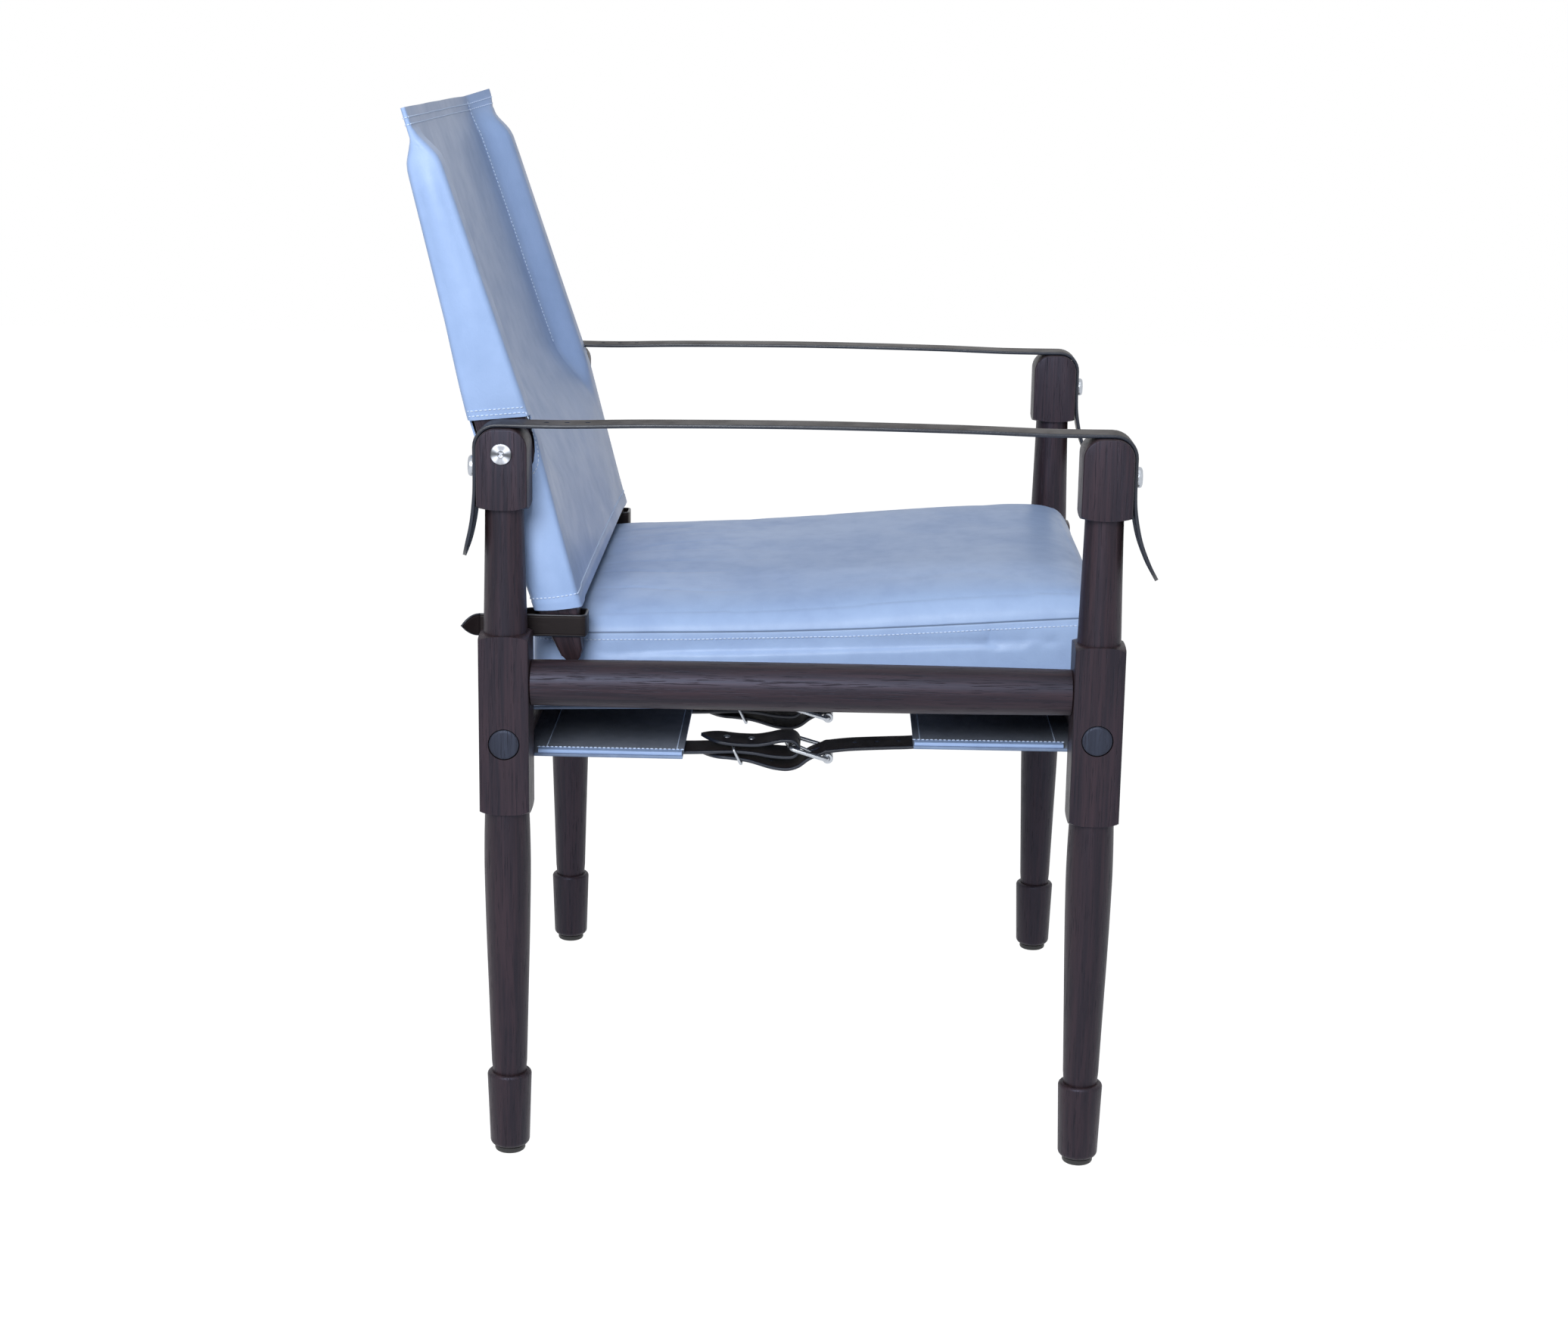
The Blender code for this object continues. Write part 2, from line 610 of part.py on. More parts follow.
def build_bolt(name, side, end, height):
    """A rail bolt with its barrel nut as one solid, under a domed wooden cover."""
    cover = COVER_DIAMETER / 2
    head = BOLT_HEAD_DIAMETER / 2
    shank = BOLT_DIAMETER / 2
    head_top = -COVER_DEPTH - 2 * GAP
    head_base = head_top - BOLT_HEAD_LENGTH
    tip = -LEG_SQUARE - BOLT_REACH
    point = (side * LEG_OUTER_X, CENTRE_Y + end * HALF_Y, height)
    rotation = (0, side * math.pi / 2, 0)
    dome = [(0, COVER_PROUD), (cover * 0.6, COVER_PROUD * 0.7), (cover - COVER_PROUD, COVER_PROUD * 0.2),
            (cover, -COVER_PROUD * 0.5), (cover, -COVER_DEPTH), (0, -COVER_DEPTH)]
    plug = place(turned("bolt_cover_" + name, dome, RAIL_FACETS), point, rotation)
    finish_part(plug, PLUG, 0.5)
    profile = [(0, head_top), (head, head_top), (head, head_base), (shank, head_base), (shank, tip),
               (0, tip)]
    bolt = place(turned("rail_bolt_" + name, profile, SMALL_FACETS), point, rotation)
    barrel = cylinder("barrel_" + name, BARREL_DIAMETER / 2, BARREL_LENGTH, cutter=True)
    inward = side * (LEG_OUTER_X - LEG_SQUARE - BARREL_SETBACK)
    boolean(bolt, place(barrel, (inward, point[1], height)), "UNION")
    finish_part(bolt, STEEL, 0.35, 1.0)


def build_bolts():
    for end, end_name, height in ((-1, "front", FRONT_RAIL_HEIGHT), (1, "rear", REAR_RAIL_HEIGHT)):
        for side, side_name in ((-1, "right"), (1, "left")):
            build_bolt("%s_%s" % (end_name, side_name), side, end, height)


# Arm straps
def arm_path():
    """Side view of an arm strap's centre line, from the tip behind the rear head to the front tip."""
    lift = GAP + ARM_STRAP_THICKNESS / 2
    face = HALF_Y + HALF_SQUARE + lift
    top = ARM_HEIGHT + lift
    corner_y = HALF_Y + HALF_SQUARE - HEAD_CORNER
    corner_z = ARM_HEIGHT - HEAD_CORNER
    radius = HEAD_CORNER + lift
    stud = ARM_HEIGHT - ARM_STUD_DROP - STUD_DIAMETER / 2

    def tail(length, flare):
        bottom = ARM_HEIGHT - length
        shares = ((1.0, 1.0), (0.93, 0.86), (0.8, 0.62), (0.55, 0.28), (0.25, 0.06), (0.0, 0.0))
        return [(face + flare * out, mix(stud, bottom, down)) for down, out in shares]

    rear = tail(ARM_REAR_TAIL, ARM_REAR_FLARE)
    rear += arc(corner_y, corner_z, radius, 0, 90)
    front = tail(ARM_FRONT_TAIL, ARM_FRONT_FLARE)
    front += arc(corner_y, corner_z, radius, 0, 90)
    middle = [(HALF_Y * share, top + ARM_STRAP_RISE * (1 - (share / 0.8) ** 2))
              for share in (0.8, 0.5, 0.0, -0.5, -0.8)]
    path = rear + middle + [(-y, z) for y, z in front[::-1]]
    return [(CENTRE_Y + y, z) for y, z in path]


def build_arm_strap(name, side):
    path = arm_path()
    half = len(path) // 2
    half_width = ARM_STRAP_WIDTH / 2

    def at(y, z):
        return (side * HALF_X, y, z)

    rear = tip_rows(path[:half][::-1], half_width, ARM_TIP_LENGTH, at)[::-1]
    front = tip_rows(path[half:], half_width, ARM_TIP_LENGTH, at)
    strap = band(name, rear + front, ARM_STRAP_THICKNESS, (1, 0, 0))
    for index in range(ARM_HOLE_COUNT):
        hole = cylinder(name + "_hole", ARM_HOLE_DIAMETER / 2, ARM_STRAP_THICKNESS + 2 * OVERRUN, 10, True)
        y = PIVOT_Y - ARM_HOLE_FIRST - ARM_HOLE_SPACING * index
        boolean(strap, place(hole, (side * HALF_X, y, height_on(path, y))))
    for end in (-1, 1):
        hole = cylinder(name + "_stud_hole", STUD_SHANK_DIAMETER / 2 + BORE_EASE,
                        ARM_STRAP_THICKNESS + 2 * OVERRUN, 10, True)
        y = CENTRE_Y + end * (HALF_Y + HALF_SQUARE + GAP + ARM_STRAP_THICKNESS / 2)
        boolean(strap, place(hole, (side * HALF_X, y, ARM_HEIGHT - ARM_STUD_DROP), (math.pi / 2, 0, 0)))
    return finish_part(strap, DARK_LEATHER, 0.4)


def build_strap_stud(name, side, end):
    """Domed stud that holds an end of an arm strap to its head."""
    radius = STUD_DIAMETER / 2
    shank = STUD_SHANK_DIAMETER / 2
    depth = STUD_SHANK_LENGTH
    profile = [(0, STUD_HEIGHT), (radius * 0.25, STUD_HEIGHT * 0.95), (radius * 0.6, STUD_HEIGHT * 0.8),
               (radius * 0.9, STUD_HEIGHT * 0.5), (radius, STUD_HEIGHT * 0.3), (radius, 0), (shank, 0),
               (shank, -depth), (0, -depth)]
    y = CENTRE_Y + end * (HALF_Y + HALF_SQUARE + 2 * GAP + ARM_STRAP_THICKNESS)
    stud = turned(name, profile, SMALL_FACETS)
    place(stud, (side * HALF_X, y, ARM_HEIGHT - ARM_STUD_DROP), (-end * math.pi / 2, 0, 0))
    return finish_part(stud, STEEL, 0.3, 1.0)


# Back
def stile_half_depth(height):
    """Half of a stile's front-to-back depth at a height above the pivot."""
    table = ((-STILE_BOTTOM, STILE_TIP_DEPTH), (-SLEEVE_BOTTOM, STILE_LOWER_DEPTH),
             (0.0, STILE_PIVOT_DEPTH), (STILE_TOP / 2, STILE_UPPER_DEPTH), (STILE_TOP, STILE_TOP_DEPTH))
    for (low, low_depth), (high, high_depth) in zip(table, table[1:]):
        if height <= high:
            return mix(low_depth, high_depth, (height - low) / (high - low)) / 2
    return STILE_TOP_DEPTH / 2


def stile_outline(ease):
    """Side view of a stile as (y, z) about the pivot, grown outwards by the ease."""
    half_top = STILE_TOP_DEPTH / 2
    half_tip = STILE_TIP_DEPTH / 2
    heights = (-STILE_BOTTOM + half_tip, -SLEEVE_BOTTOM, 0.0, STILE_TOP / 2, STILE_TOP - half_top)
    front = [(-stile_half_depth(height) - ease, height) for height in heights]
    rear = [(stile_half_depth(height) + ease, height) for height in heights]
    top = arc(0, STILE_TOP - half_top, half_top + ease, 0, 180)
    tip = arc(0, -STILE_BOTTOM + half_tip, half_tip + ease, 180, 360)
    return rear + top[1:-1] + front[::-1] + tip[1:-1]


def build_stile(name, side, tilt):
    stile = flat_outline(name, stile_outline(0.0), STILE_THICKNESS, side * STILE_X)
    stile.parent = tilt
    edges = stile.modifiers.new("Edges", "BEVEL")
    edges.width = STILE_EDGE
    edges.segments = 1
    edges.limit_method = "ANGLE"
    edges.angle_limit = math.radians(60)
    hole = cylinder(name + "_hole", BUSHING_DIAMETER / 2 + BORE_EASE, STILE_THICKNESS + 2 * OVERRUN,
                    cutter=True)
    boolean(stile, place(hole, (side * STILE_X, 0, 0), (0, math.pi / 2, 0), tilt))
    return finish_part(stile, WOOD, 0.45)


def build_pivot(side_name, side, tilt):
    """Pivot screw through the rear head into a flanged bushing that lines the stile's hole."""
    head = PIVOT_HEAD_DIAMETER / 2
    shank = PIVOT_SCREW_DIAMETER / 2
    recess = PIVOT_RECESS_DIAMETER / 2
    rise = PIVOT_HEAD_HEIGHT
    tip = -LEG_SQUARE - STILE_SETBACK - STILE_THICKNESS + GAP
    profile = [(0, rise / 2), (recess, rise / 2), (recess, rise), (head - rise / 2, rise),
               (head, rise * 0.6), (head, GAP), (shank, GAP), (shank, tip), (0, tip)]
    screw = place(turned("pivot_screw_" + side_name, profile, RAIL_FACETS),
                  (side * LEG_OUTER_X, PIVOT_Y, PIVOT_HEIGHT), (0, side * math.pi / 2, 0))
    finish_part(screw, STEEL, 0.25, 1.0)
    bore = shank + BORE_EASE / 2
    barrel = BUSHING_DIAMETER / 2
    flange = BUSHING_FLANGE_DIAMETER / 2
    profile = [(bore, STILE_SETBACK - GAP), (flange, STILE_SETBACK - GAP), (flange, GAP), (barrel, GAP),
               (barrel, -STILE_THICKNESS), (bore, -STILE_THICKNESS), (bore, STILE_SETBACK - GAP)]
    bushing = turned("pivot_bushing_" + side_name, profile, SMALL_FACETS)
    place(bushing, (side * STILE_OUTER_X, 0, 0), (0, side * math.pi / 2, 0), tilt)
    return finish_part(bushing, STEEL, 0.35, 1.0)


def sleeve_half_depth(x, height):
    """Half thickness of the back sleeve at a distance from the middle and a height over the pivot."""
    panel = PANEL_THICKNESS / 2
    full = stile_half_depth(height) + GAP + SLEEVE_LEATHER
    pinch_start = SLEEVE_TOP - SLEEVE_PINCH
    seam_start = SLEEVE_TOP - SLEEVE_SEAM
    if height > seam_start:
        full = panel * SEAM_PANEL_SHARE
    elif height > pinch_start:
        share = (height - pinch_start) / (seam_start - pinch_start)
        full = mix(full, panel * PINCH_PANEL_SHARE, share ** 2)
    inner = STILE_INNER_X - GAP - SLEEVE_LEATHER
    start = inner - POCKET_TAPER
    if abs(x) <= start:
        return panel
    share = min(1.0, (abs(x) - start) / POCKET_TAPER)
    return mix(panel, full, share * share * (3 - 2 * share))


def sleeve_section(height, slope):
    """One closed section of the sleeve, across the chair: front side out, rear side back."""
    outer = STILE_OUTER_X + GAP + SLEEVE_LEATHER
    inner = STILE_INNER_X - GAP - SLEEVE_LEATHER
    start = inner - POCKET_TAPER
    edge = outer - SLEEVE_LEATHER * 0.6
    columns = [start * share for share in (0.0, 0.3, 0.6, 0.85, 1.0)]
    columns += [start + POCKET_TAPER * share for share in (0.35, 0.7, 1.0)] + [edge]
    columns = [-x for x in columns[:0:-1]] + columns
    slack = PANEL_SLACK * max(0.0, 1 - (2 * (height - mix(-SLEEVE_BOTTOM, SLEEVE_TOP, 0.5))
                                        / (SLEEVE_TOP + SLEEVE_BOTTOM)) ** 2)
    section = []
    for sign, line in ((-1, columns), (1, columns[::-1])):
        for x in line:
            half = sleeve_half_depth(x, height)
            sag = slack * max(0.0, 1 - (x / start) ** 2)
            section.append((x, sign * half + sag, height + slope * (sign * half)))
        half = sleeve_half_depth(outer, height) - SLEEVE_LEATHER * 0.5
        for sign_2 in (sign, -sign):
            x = outer if sign < 0 else -outer
            section.append((x, sign_2 * half, height + slope * sign_2 * half))
    return section


def loft(name, sections):
    """Skin closed sections of equal count with quads and close both ends."""
    bm = bmesh.new()
    rings = [[bm.verts.new(point) for point in section] for section in sections]
    for low, high in zip(rings, rings[1:]):
        for index in range(len(low)):
            after = (index + 1) % len(low)
            bm.faces.new((low[index], low[after], high[after], high[index]))
    bm.faces.new(rings[0][::-1])
    bm.faces.new(rings[-1])
    bmesh.ops.recalc_face_normals(bm, faces=bm.faces)
    return object_from_bmesh(name, bm)


def build_sleeve(tilt):
    """Leather back: a panel with a pocket for each stile, sewn shut at the top."""
    low = -SLEEVE_BOTTOM
    pinch_start = SLEEVE_TOP - SLEEVE_PINCH
    seam_start = SLEEVE_TOP - SLEEVE_SEAM
    heights = [low, low / 2, 0.0, STILE_TOP * 0.25, STILE_TOP / 2, STILE_TOP * 0.75, pinch_start,
               mix(pinch_start, seam_start, 0.5), mix(pinch_start, seam_start, 0.8), seam_start,
               seam_start + PANEL_THICKNESS, SLEEVE_TOP]
    sections = [sleeve_section(height, HEM_SLOPE_SHARE if height == low else 0.0) for height in heights]
    sleeve = loft("back_sleeve", sections)
    sleeve.parent = tilt
    depth = STILE_PIVOT_DEPTH
    notch_outline = [(depth, -NOTCH_BOTTOM), (depth, NOTCH_TOP + HEM_SLOPE_SHARE * depth),
                     (-depth, NOTCH_TOP - HEM_SLOPE_SHARE * depth)]
    notch_outline += arc(-depth + NOTCH_CORNER, -NOTCH_BOTTOM + NOTCH_CORNER, NOTCH_CORNER, 180, 270)
    for side, side_name in ((-1, "right"), (1, "left")):
        pocket = flat_outline("pocket_" + side_name, stile_outline(GAP), STILE_THICKNESS + 2 * GAP,
                              side * STILE_X, True)
        pocket.parent = tilt
        boolean(sleeve, pocket)
        width = NOTCH_SIDE + SLEEVE_LEATHER + OVERRUN
        centre = side * (STILE_OUTER_X + GAP + SLEEVE_LEATHER + OVERRUN - width / 2)
        notch = flat_outline("notch_" + side_name, notch_outline, width, centre, True)
        notch.parent = tilt
        boolean(sleeve, notch)
    return finish_part(sleeve, LEATHER, 0.4)


# Keeper straps
def build_keeper(name, side, stud_name):
    """Strap looped round the foot of a stile and held to the leg's inboard side by a stud."""
    half = KEEPER_THICKNESS / 2
    height = KEEPER_TOP - KEEPER_WIDTH / 2
    reach = (PIVOT_HEIGHT - height) / math.cos(RECLINE)
    outer = STILE_OUTER_X + GAP + half
    inner = STILE_INNER_X - GAP - half
    depth = stile_half_depth(-reach) / math.cos(RECLINE) + KEEPER_WIDTH / 2 * math.tan(RECLINE)
    front = -reach * math.sin(RECLINE) - depth - GAP - half
    corner = STILE_EDGE + half
    joined = outer - KEEPER_THICKNESS - GAP
    seat = (KEEPER_STUD_DIAMETER + KEEPER_THICKNESS) / 2
    plan = [(outer + KEEPER_TAIL_FLARE, KEEPER_TAIL), (outer + KEEPER_TAIL_FLARE * 0.55, KEEPER_TAIL * 0.85),
            (outer + KEEPER_TAIL_FLARE * 0.12, KEEPER_TAIL * 0.65), (outer, KEEPER_TAIL * 0.4),
            (outer, front + corner), (outer - corner * 0.3, front + corner * 0.3),
            (outer - corner, front), (inner + corner, front),
            (inner + corner * 0.3, front + corner * 0.3), (inner, front + corner),
            (inner, -KEEPER_RETURN), (joined, -seat), (joined, seat + KEEPER_THICKNESS)]
    width = KEEPER_WIDTH / 2
    rows = []
    for index, (x, y) in enumerate(plan):
        share = (0.12, 0.62, 1.0)[index] if index < 3 else 1.0
        rows.append(((side * x, PIVOT_Y + y, height), width * share))
    strap = band(name, rows, KEEPER_THICKNESS, (0, 0, 1))
    hole = cylinder(name + "_hole", KEEPER_SHANK_DIAMETER / 2 + BORE_EASE, LEG_SQUARE, 10, True)
    boolean(strap, place(hole, (side * joined, PIVOT_Y, height), (0, math.pi / 2, 0)))
    finish_part(strap, DARK_LEATHER, 0.4)
    face = joined - half - GAP
    radius = KEEPER_STUD_DIAMETER / 2
    shank = KEEPER_SHANK_DIAMETER / 2
    leg_face = HALF_X - UPPER_BASE_DIAMETER / 2 + GAP + BORE_EASE
    profile = [(0, KEEPER_STUD_HEIGHT), (radius * 0.6, KEEPER_STUD_HEIGHT * 0.8),
               (radius, KEEPER_STUD_HEIGHT * 0.3), (radius, 0), (shank, 0),
               (shank, face - leg_face - STUD_SHANK_LENGTH / 2),
               (0, face - leg_face - STUD_SHANK_LENGTH / 2)]
    stud = place(turned(stud_name, profile, SMALL_FACETS), (side * face, PIVOT_Y, height),
                 (0, -side * math.pi / 2, 0))
    return finish_part(stud, STEEL, 0.35, 1.0)


# Seat sling
def sling_path():
    """Side view of the sling's centre line, from the rear flap's end over both rails."""
    radius = SLING_WRAP_RADIUS
    rear_end = (REAR_FLAP_END, REAR_RAIL_HEIGHT - radius - FLAP_DROP)
    front_end = (-FRONT_FLAP_END, FRONT_RAIL_HEIGHT - radius - FLAP_DROP)
    path = [rear_end] + arc(HALF_Y, REAR_RAIL_HEIGHT, radius, -90, 90, 10)
    path += arc(-HALF_Y, FRONT_RAIL_HEIGHT, radius, 90, 270, 10) + [front_end]
    return [(CENTRE_Y + y, z) for y, z in path]


def build_sling():
    rows = [((0, y, z), SLING_WIDTH / 2) for y, z in sling_path()]
    return finish_part(band("seat_sling", rows, SLING_THICKNESS, (1, 0, 0)), LEATHER, 0.45)


# Buckled straps
def heel_bar():
    """Place of a buckle's heel bar in the side view."""
    return (CENTRE_Y + HEEL_BAR_Y, sling_path()[0][1] + HEEL_BAR_RISE)


def roller_bar():
    """Place of a buckle's roller bar in the side view."""
    y, z = heel_bar()
    tilt = math.radians(BUCKLE_TILT_DEGREES)
    return (y - BUCKLE_LENGTH * math.cos(tilt), z - BUCKLE_LENGTH * math.sin(tilt))


def rear_strap_path():
    """From under the rear flap, round the heel bar in a loose fold, and back on top to the tip."""
    y, z = heel_bar()
    flap_end, flap_z = sling_path()[0]
    under = flap_z - SLING_THICKNESS / 2 - GAP - STRAP_THICKNESS / 2
    path = [(flap_end + STRAP_OVERLAP, under), (flap_end, under)]
    bottom = z - FOLD_DROP - FOLD_RADIUS
    path += [(y + LOWER_RUN_LENGTH * along, mix(under, bottom, drop)) for along, drop in LOWER_RUN_SHARES]
    path += arc(y, z - FOLD_DROP, FOLD_RADIUS, 270, 90, 8)
    top = z - FOLD_DROP + FOLD_RADIUS
    return path + [(y + RETURN_LENGTH * along, top - RETURN_SAG * sag) for along, sag in RETURN_SHARES]


def front_strap_path():
    """From under the front flap, over the roller, down through the buckle and up behind it."""
    y, z = heel_bar()
    roller_y, roller_z = roller_bar()
    flap_end, flap_z = sling_path()[-1]
    under = flap_z - SLING_THICKNESS / 2 - GAP - STRAP_THICKNESS / 2
    wrap = ROLLER_DIAMETER / 2 + GAP + STRAP_THICKNESS / 2
    over = arc(roller_y, roller_z, wrap, 95, 50, 4)
    path = [(flap_end - STRAP_OVERLAP, under), (flap_end, under)]
    path += [(mix(flap_end, over[0][0], along), mix(under, over[0][1], drop))
             for along, drop in FRONT_RUN_SHARES]
    return path + over + [(y + BILLET_REACH * along, z - BELLY_DROP * drop) for along, drop in BELLY_SHARES]


def at_x(x):
    def point(y, z):
        return (x, y, z)
    return point


def build_strap_set(number, x):
    """One buckled strap: rear strap, front strap, buckle frame with its prong, and roller."""
    y, z = heel_bar()
    roller_y, roller_z = roller_bar()
    half = STRAP_WIDTH / 2
    bar = BUCKLE_WIRE_DIAMETER / 2
    rear_path = with_tip(rear_strap_path(), STRAP_TIP_LENGTH)
    rear = band("sling_rear_strap_%d" % number, tip_rows(rear_path, half, STRAP_TIP_LENGTH, at_x(x)),
                STRAP_THICKNESS, (1, 0, 0))
    slot = box("heel_slot", (PRONG_SLOT_WIDTH, FOLD_SLOT_LENGTH, FOLD_SLOT_HEIGHT), True)
    boolean(rear, place(slot, (x, y - FOLD_SLOT_REACH, z - FOLD_DROP)))
    for index in range(2):
        hole = cylinder("tip_hole", STRAP_HOLE_DIAMETER / 2, 2 * STRAP_THICKNESS, 8, True)
        hole_y = y + RETURN_LENGTH - STRAP_TIP_LENGTH - STRAP_HOLE_SPACING * index
        boolean(rear, place(hole, (x, hole_y, height_on(rear_strap_path()[-len(RETURN_SHARES):], hole_y))))
    finish_part(rear, DARK_LEATHER, 0.4)

    front_path = with_tip(front_strap_path(), STRAP_TIP_LENGTH)
    front = band("sling_front_strap_%d" % number, tip_rows(front_path, half, STRAP_TIP_LENGTH, at_x(x)),
                 STRAP_THICKNESS, (1, 0, 0))
    slot_y = mix(roller_y, y, 0.41)
    slot = box("billet_slot", (PRONG_SLOT_WIDTH, PRONG_SLOT_LENGTH, BUCKLE_LENGTH * 0.6), True)
    boolean(front, place(slot, (x, slot_y, height_on(front_path, slot_y))))
    finish_part(front, DARK_LEATHER, 0.4)

    tilt = math.radians(BUCKLE_TILT_DEGREES)
    corners = []
    for sign_x, sign_s, start in ((1, 1, 0), (-1, 1, 90), (-1, -1, 180), (1, -1, 270)):
        for step in range(4):
            angle = math.radians(start + 30 * step)
            across = sign_x * (BUCKLE_WIDTH / 2 - BUCKLE_CORNER) + BUCKLE_CORNER * math.cos(angle)
            along = sign_s * (BUCKLE_LENGTH / 2 - BUCKLE_CORNER) + BUCKLE_CORNER * math.sin(angle)
            middle_y, middle_z = mix(y, roller_y, 0.5), mix(z, roller_z, 0.5)
            corners.append((x + across, middle_y + along * math.cos(tilt),
                            middle_z + along * math.sin(tilt)))
    frame = wire("buckle_frame_%d" % number, corners, BUCKLE_WIRE_DIAMETER, True)
    reach = (ROLLER_DIAMETER + PRONG_DIAMETER) / 2 + GAP
    drop = tilt + math.asin(reach / BUCKLE_LENGTH)
    rod = cylinder("prong_%d" % number, PRONG_DIAMETER / 2, PRONG_LENGTH, 8, True)
    middle = PRONG_LENGTH / 2
    place(rod, (x, y - middle * math.cos(drop), z - middle * math.sin(drop)), (math.pi / 2 + drop, 0, 0))
    boolean(frame, rod, "UNION")
    eye = cylinder("prong_eye_%d" % number, PRONG_EYE_DIAMETER / 2, PRONG_EYE_WIDTH, SMALL_FACETS, True)
    boolean(frame, place(eye, (x, y, z), (0, math.pi / 2, 0)), "UNION")
    finish_part(frame, STEEL, 0.25, 1.0)

    profile = ring_profile(bar + BORE_EASE, ROLLER_DIAMETER / 2, -ROLLER_LENGTH / 2, ROLLER_LENGTH / 2)
    roller = place(turned("buckle_roller_%d" % number, profile, SMALL_FACETS), (x, roller_y, roller_z),
                   (0, math.pi / 2, 0))
    return finish_part(roller, STEEL, 0.25, 1.0)


def keeper_loop(number, x):
    """Leaning wire loop round the two straps behind the buckle."""
    top_y = heel_bar()[0] + LOOP_TOP_DISTANCE
    bottom_y = heel_bar()[0] + LOOP_BOTTOM_DISTANCE
    radius = KEEPER_LOOP_WIRE / 2
    clear = STRAP_THICKNESS / 2 + KEEPER_LOOP_EASE + radius
    top = height_on(rear_strap_path()[:5], top_y) + clear
    bottom = height_on(front_strap_path()[-5:], bottom_y) - clear
    half = STRAP_WIDTH / 2 + KEEPER_LOOP_EASE + radius
    corner = radius * 2
    points = []
    for sign_x, level, start in ((1, top - corner, 0), (-1, top - corner, 90),
                                 (-1, bottom + corner, 180), (1, bottom + corner, 270)):
        for step in range(3):
            angle = math.radians(start + 45 * step)
            height = level + corner * math.sin(angle)
            points.append((x + sign_x * (half - corner) + corner * math.cos(angle),
                           mix(bottom_y, top_y, (height - bottom) / (top - bottom)), height))
    return finish_part(wire("keeper_loop_%d" % number, points, KEEPER_LOOP_WIRE, True), STEEL, 0.25, 1.0)


# Seat cushion
def cushion_section(inset, height_at):
    """A rounded rectangle with sides drawn in, moved in by the inset and lifted by height_at(y)."""
    half_x = CUSHION_WIDTH / 2
    length = CUSHION_FRONT + CUSHION_REAR
    half_y = length / 2
    corner = max(CUSHION_CORNER - inset * 0.5, CUSHION_CORNER * 0.3)
    points = []
    for sign_x, sign_y, start in ((1, 1, 0), (-1, 1, 90), (-1, -1, 180), (1, -1, 270)):
        for step in range(5):
            angle = math.radians(start + 22.5 * step)
            points.append((sign_x * (half_x - inset - corner) + corner * math.cos(angle),
                           sign_y * (half_y - inset - corner) + corner * math.sin(angle)))
        following = {(1, 1): (0, 1), (-1, 1): (-1, 0), (-1, -1): (0, -1), (1, -1): (1, 0)}[(sign_x, sign_y)]
        side_x, side_y = following
        draw = CUSHION_DRAW
        for share in (-0.66, -0.33, 0.0, 0.33, 0.66):
            bow = draw * (1 - share ** 2)
            if side_x == 0:
                points.append((-side_y * share * (half_x - inset - corner), side_y * (half_y - inset - bow)))
            else:
                points.append((side_x * (half_x - inset - bow), side_x * share * (half_y - inset - corner)))
    return [(x, y, height_at(y)) for x, y in points]


def build_cushion():
    """Boxed seat cushion: seams stand out, the top crowns, and the sides are drawn in."""
    half_y = (CUSHION_FRONT + CUSHION_REAR) / 2

    def band_height(y):
        return mix(CUSHION_BAND_FRONT, CUSHION_BAND_REAR, (y + half_y) / (2 * half_y))

    def crown_height(y):
        return mix(CUSHION_CROWN_FRONT, CUSHION_CROWN_REAR, (y + half_y) / (2 * half_y))

    sections = []
    for inset, share in ((8 * CUSHION_SEAM, 0.0), (3 * CUSHION_SEAM, 0.02), (CUSHION_SEAM, 0.06),
                         (0.0, 0.1), (CUSHION_SEAM, 0.14), (CUSHION_SEAM * 0.4, 0.5),
                         (CUSHION_SEAM, 0.95), (0.0, 0.985),
                         (CUSHION_SEAM, 1.02)):
        sections.append(cushion_section(inset, lambda y, share=share: band_height(y) * share))
    for inset_share, share in ((0.03, 0.42), (0.075, 0.7), (0.15, 0.88), (0.3, 0.96), (0.5, 0.99),
                               (0.75, 1.0)):
        inset = CUSHION_WIDTH / 2 * inset_share
        sections.append(cushion_section(
            inset, lambda y, share=share: band_height(y) + crown_height(y) * share))
    cushion = loft("seat_cushion", sections)
    centre_y = (CUSHION_REAR - CUSHION_FRONT) / 2
    top = mix(FRONT_RAIL_HEIGHT, REAR_RAIL_HEIGHT, (centre_y + HALF_Y) / LEG_SPACING_Y)
    rise = (SLING_WRAP_RADIUS + SLING_THICKNESS / 2 + GAP) / math.cos(SLOPE)
    place(cushion, (0, CENTRE_Y + centre_y, top + rise), (-SLOPE, 0, 0))
    return finish_part(cushion, LEATHER, 0.4)


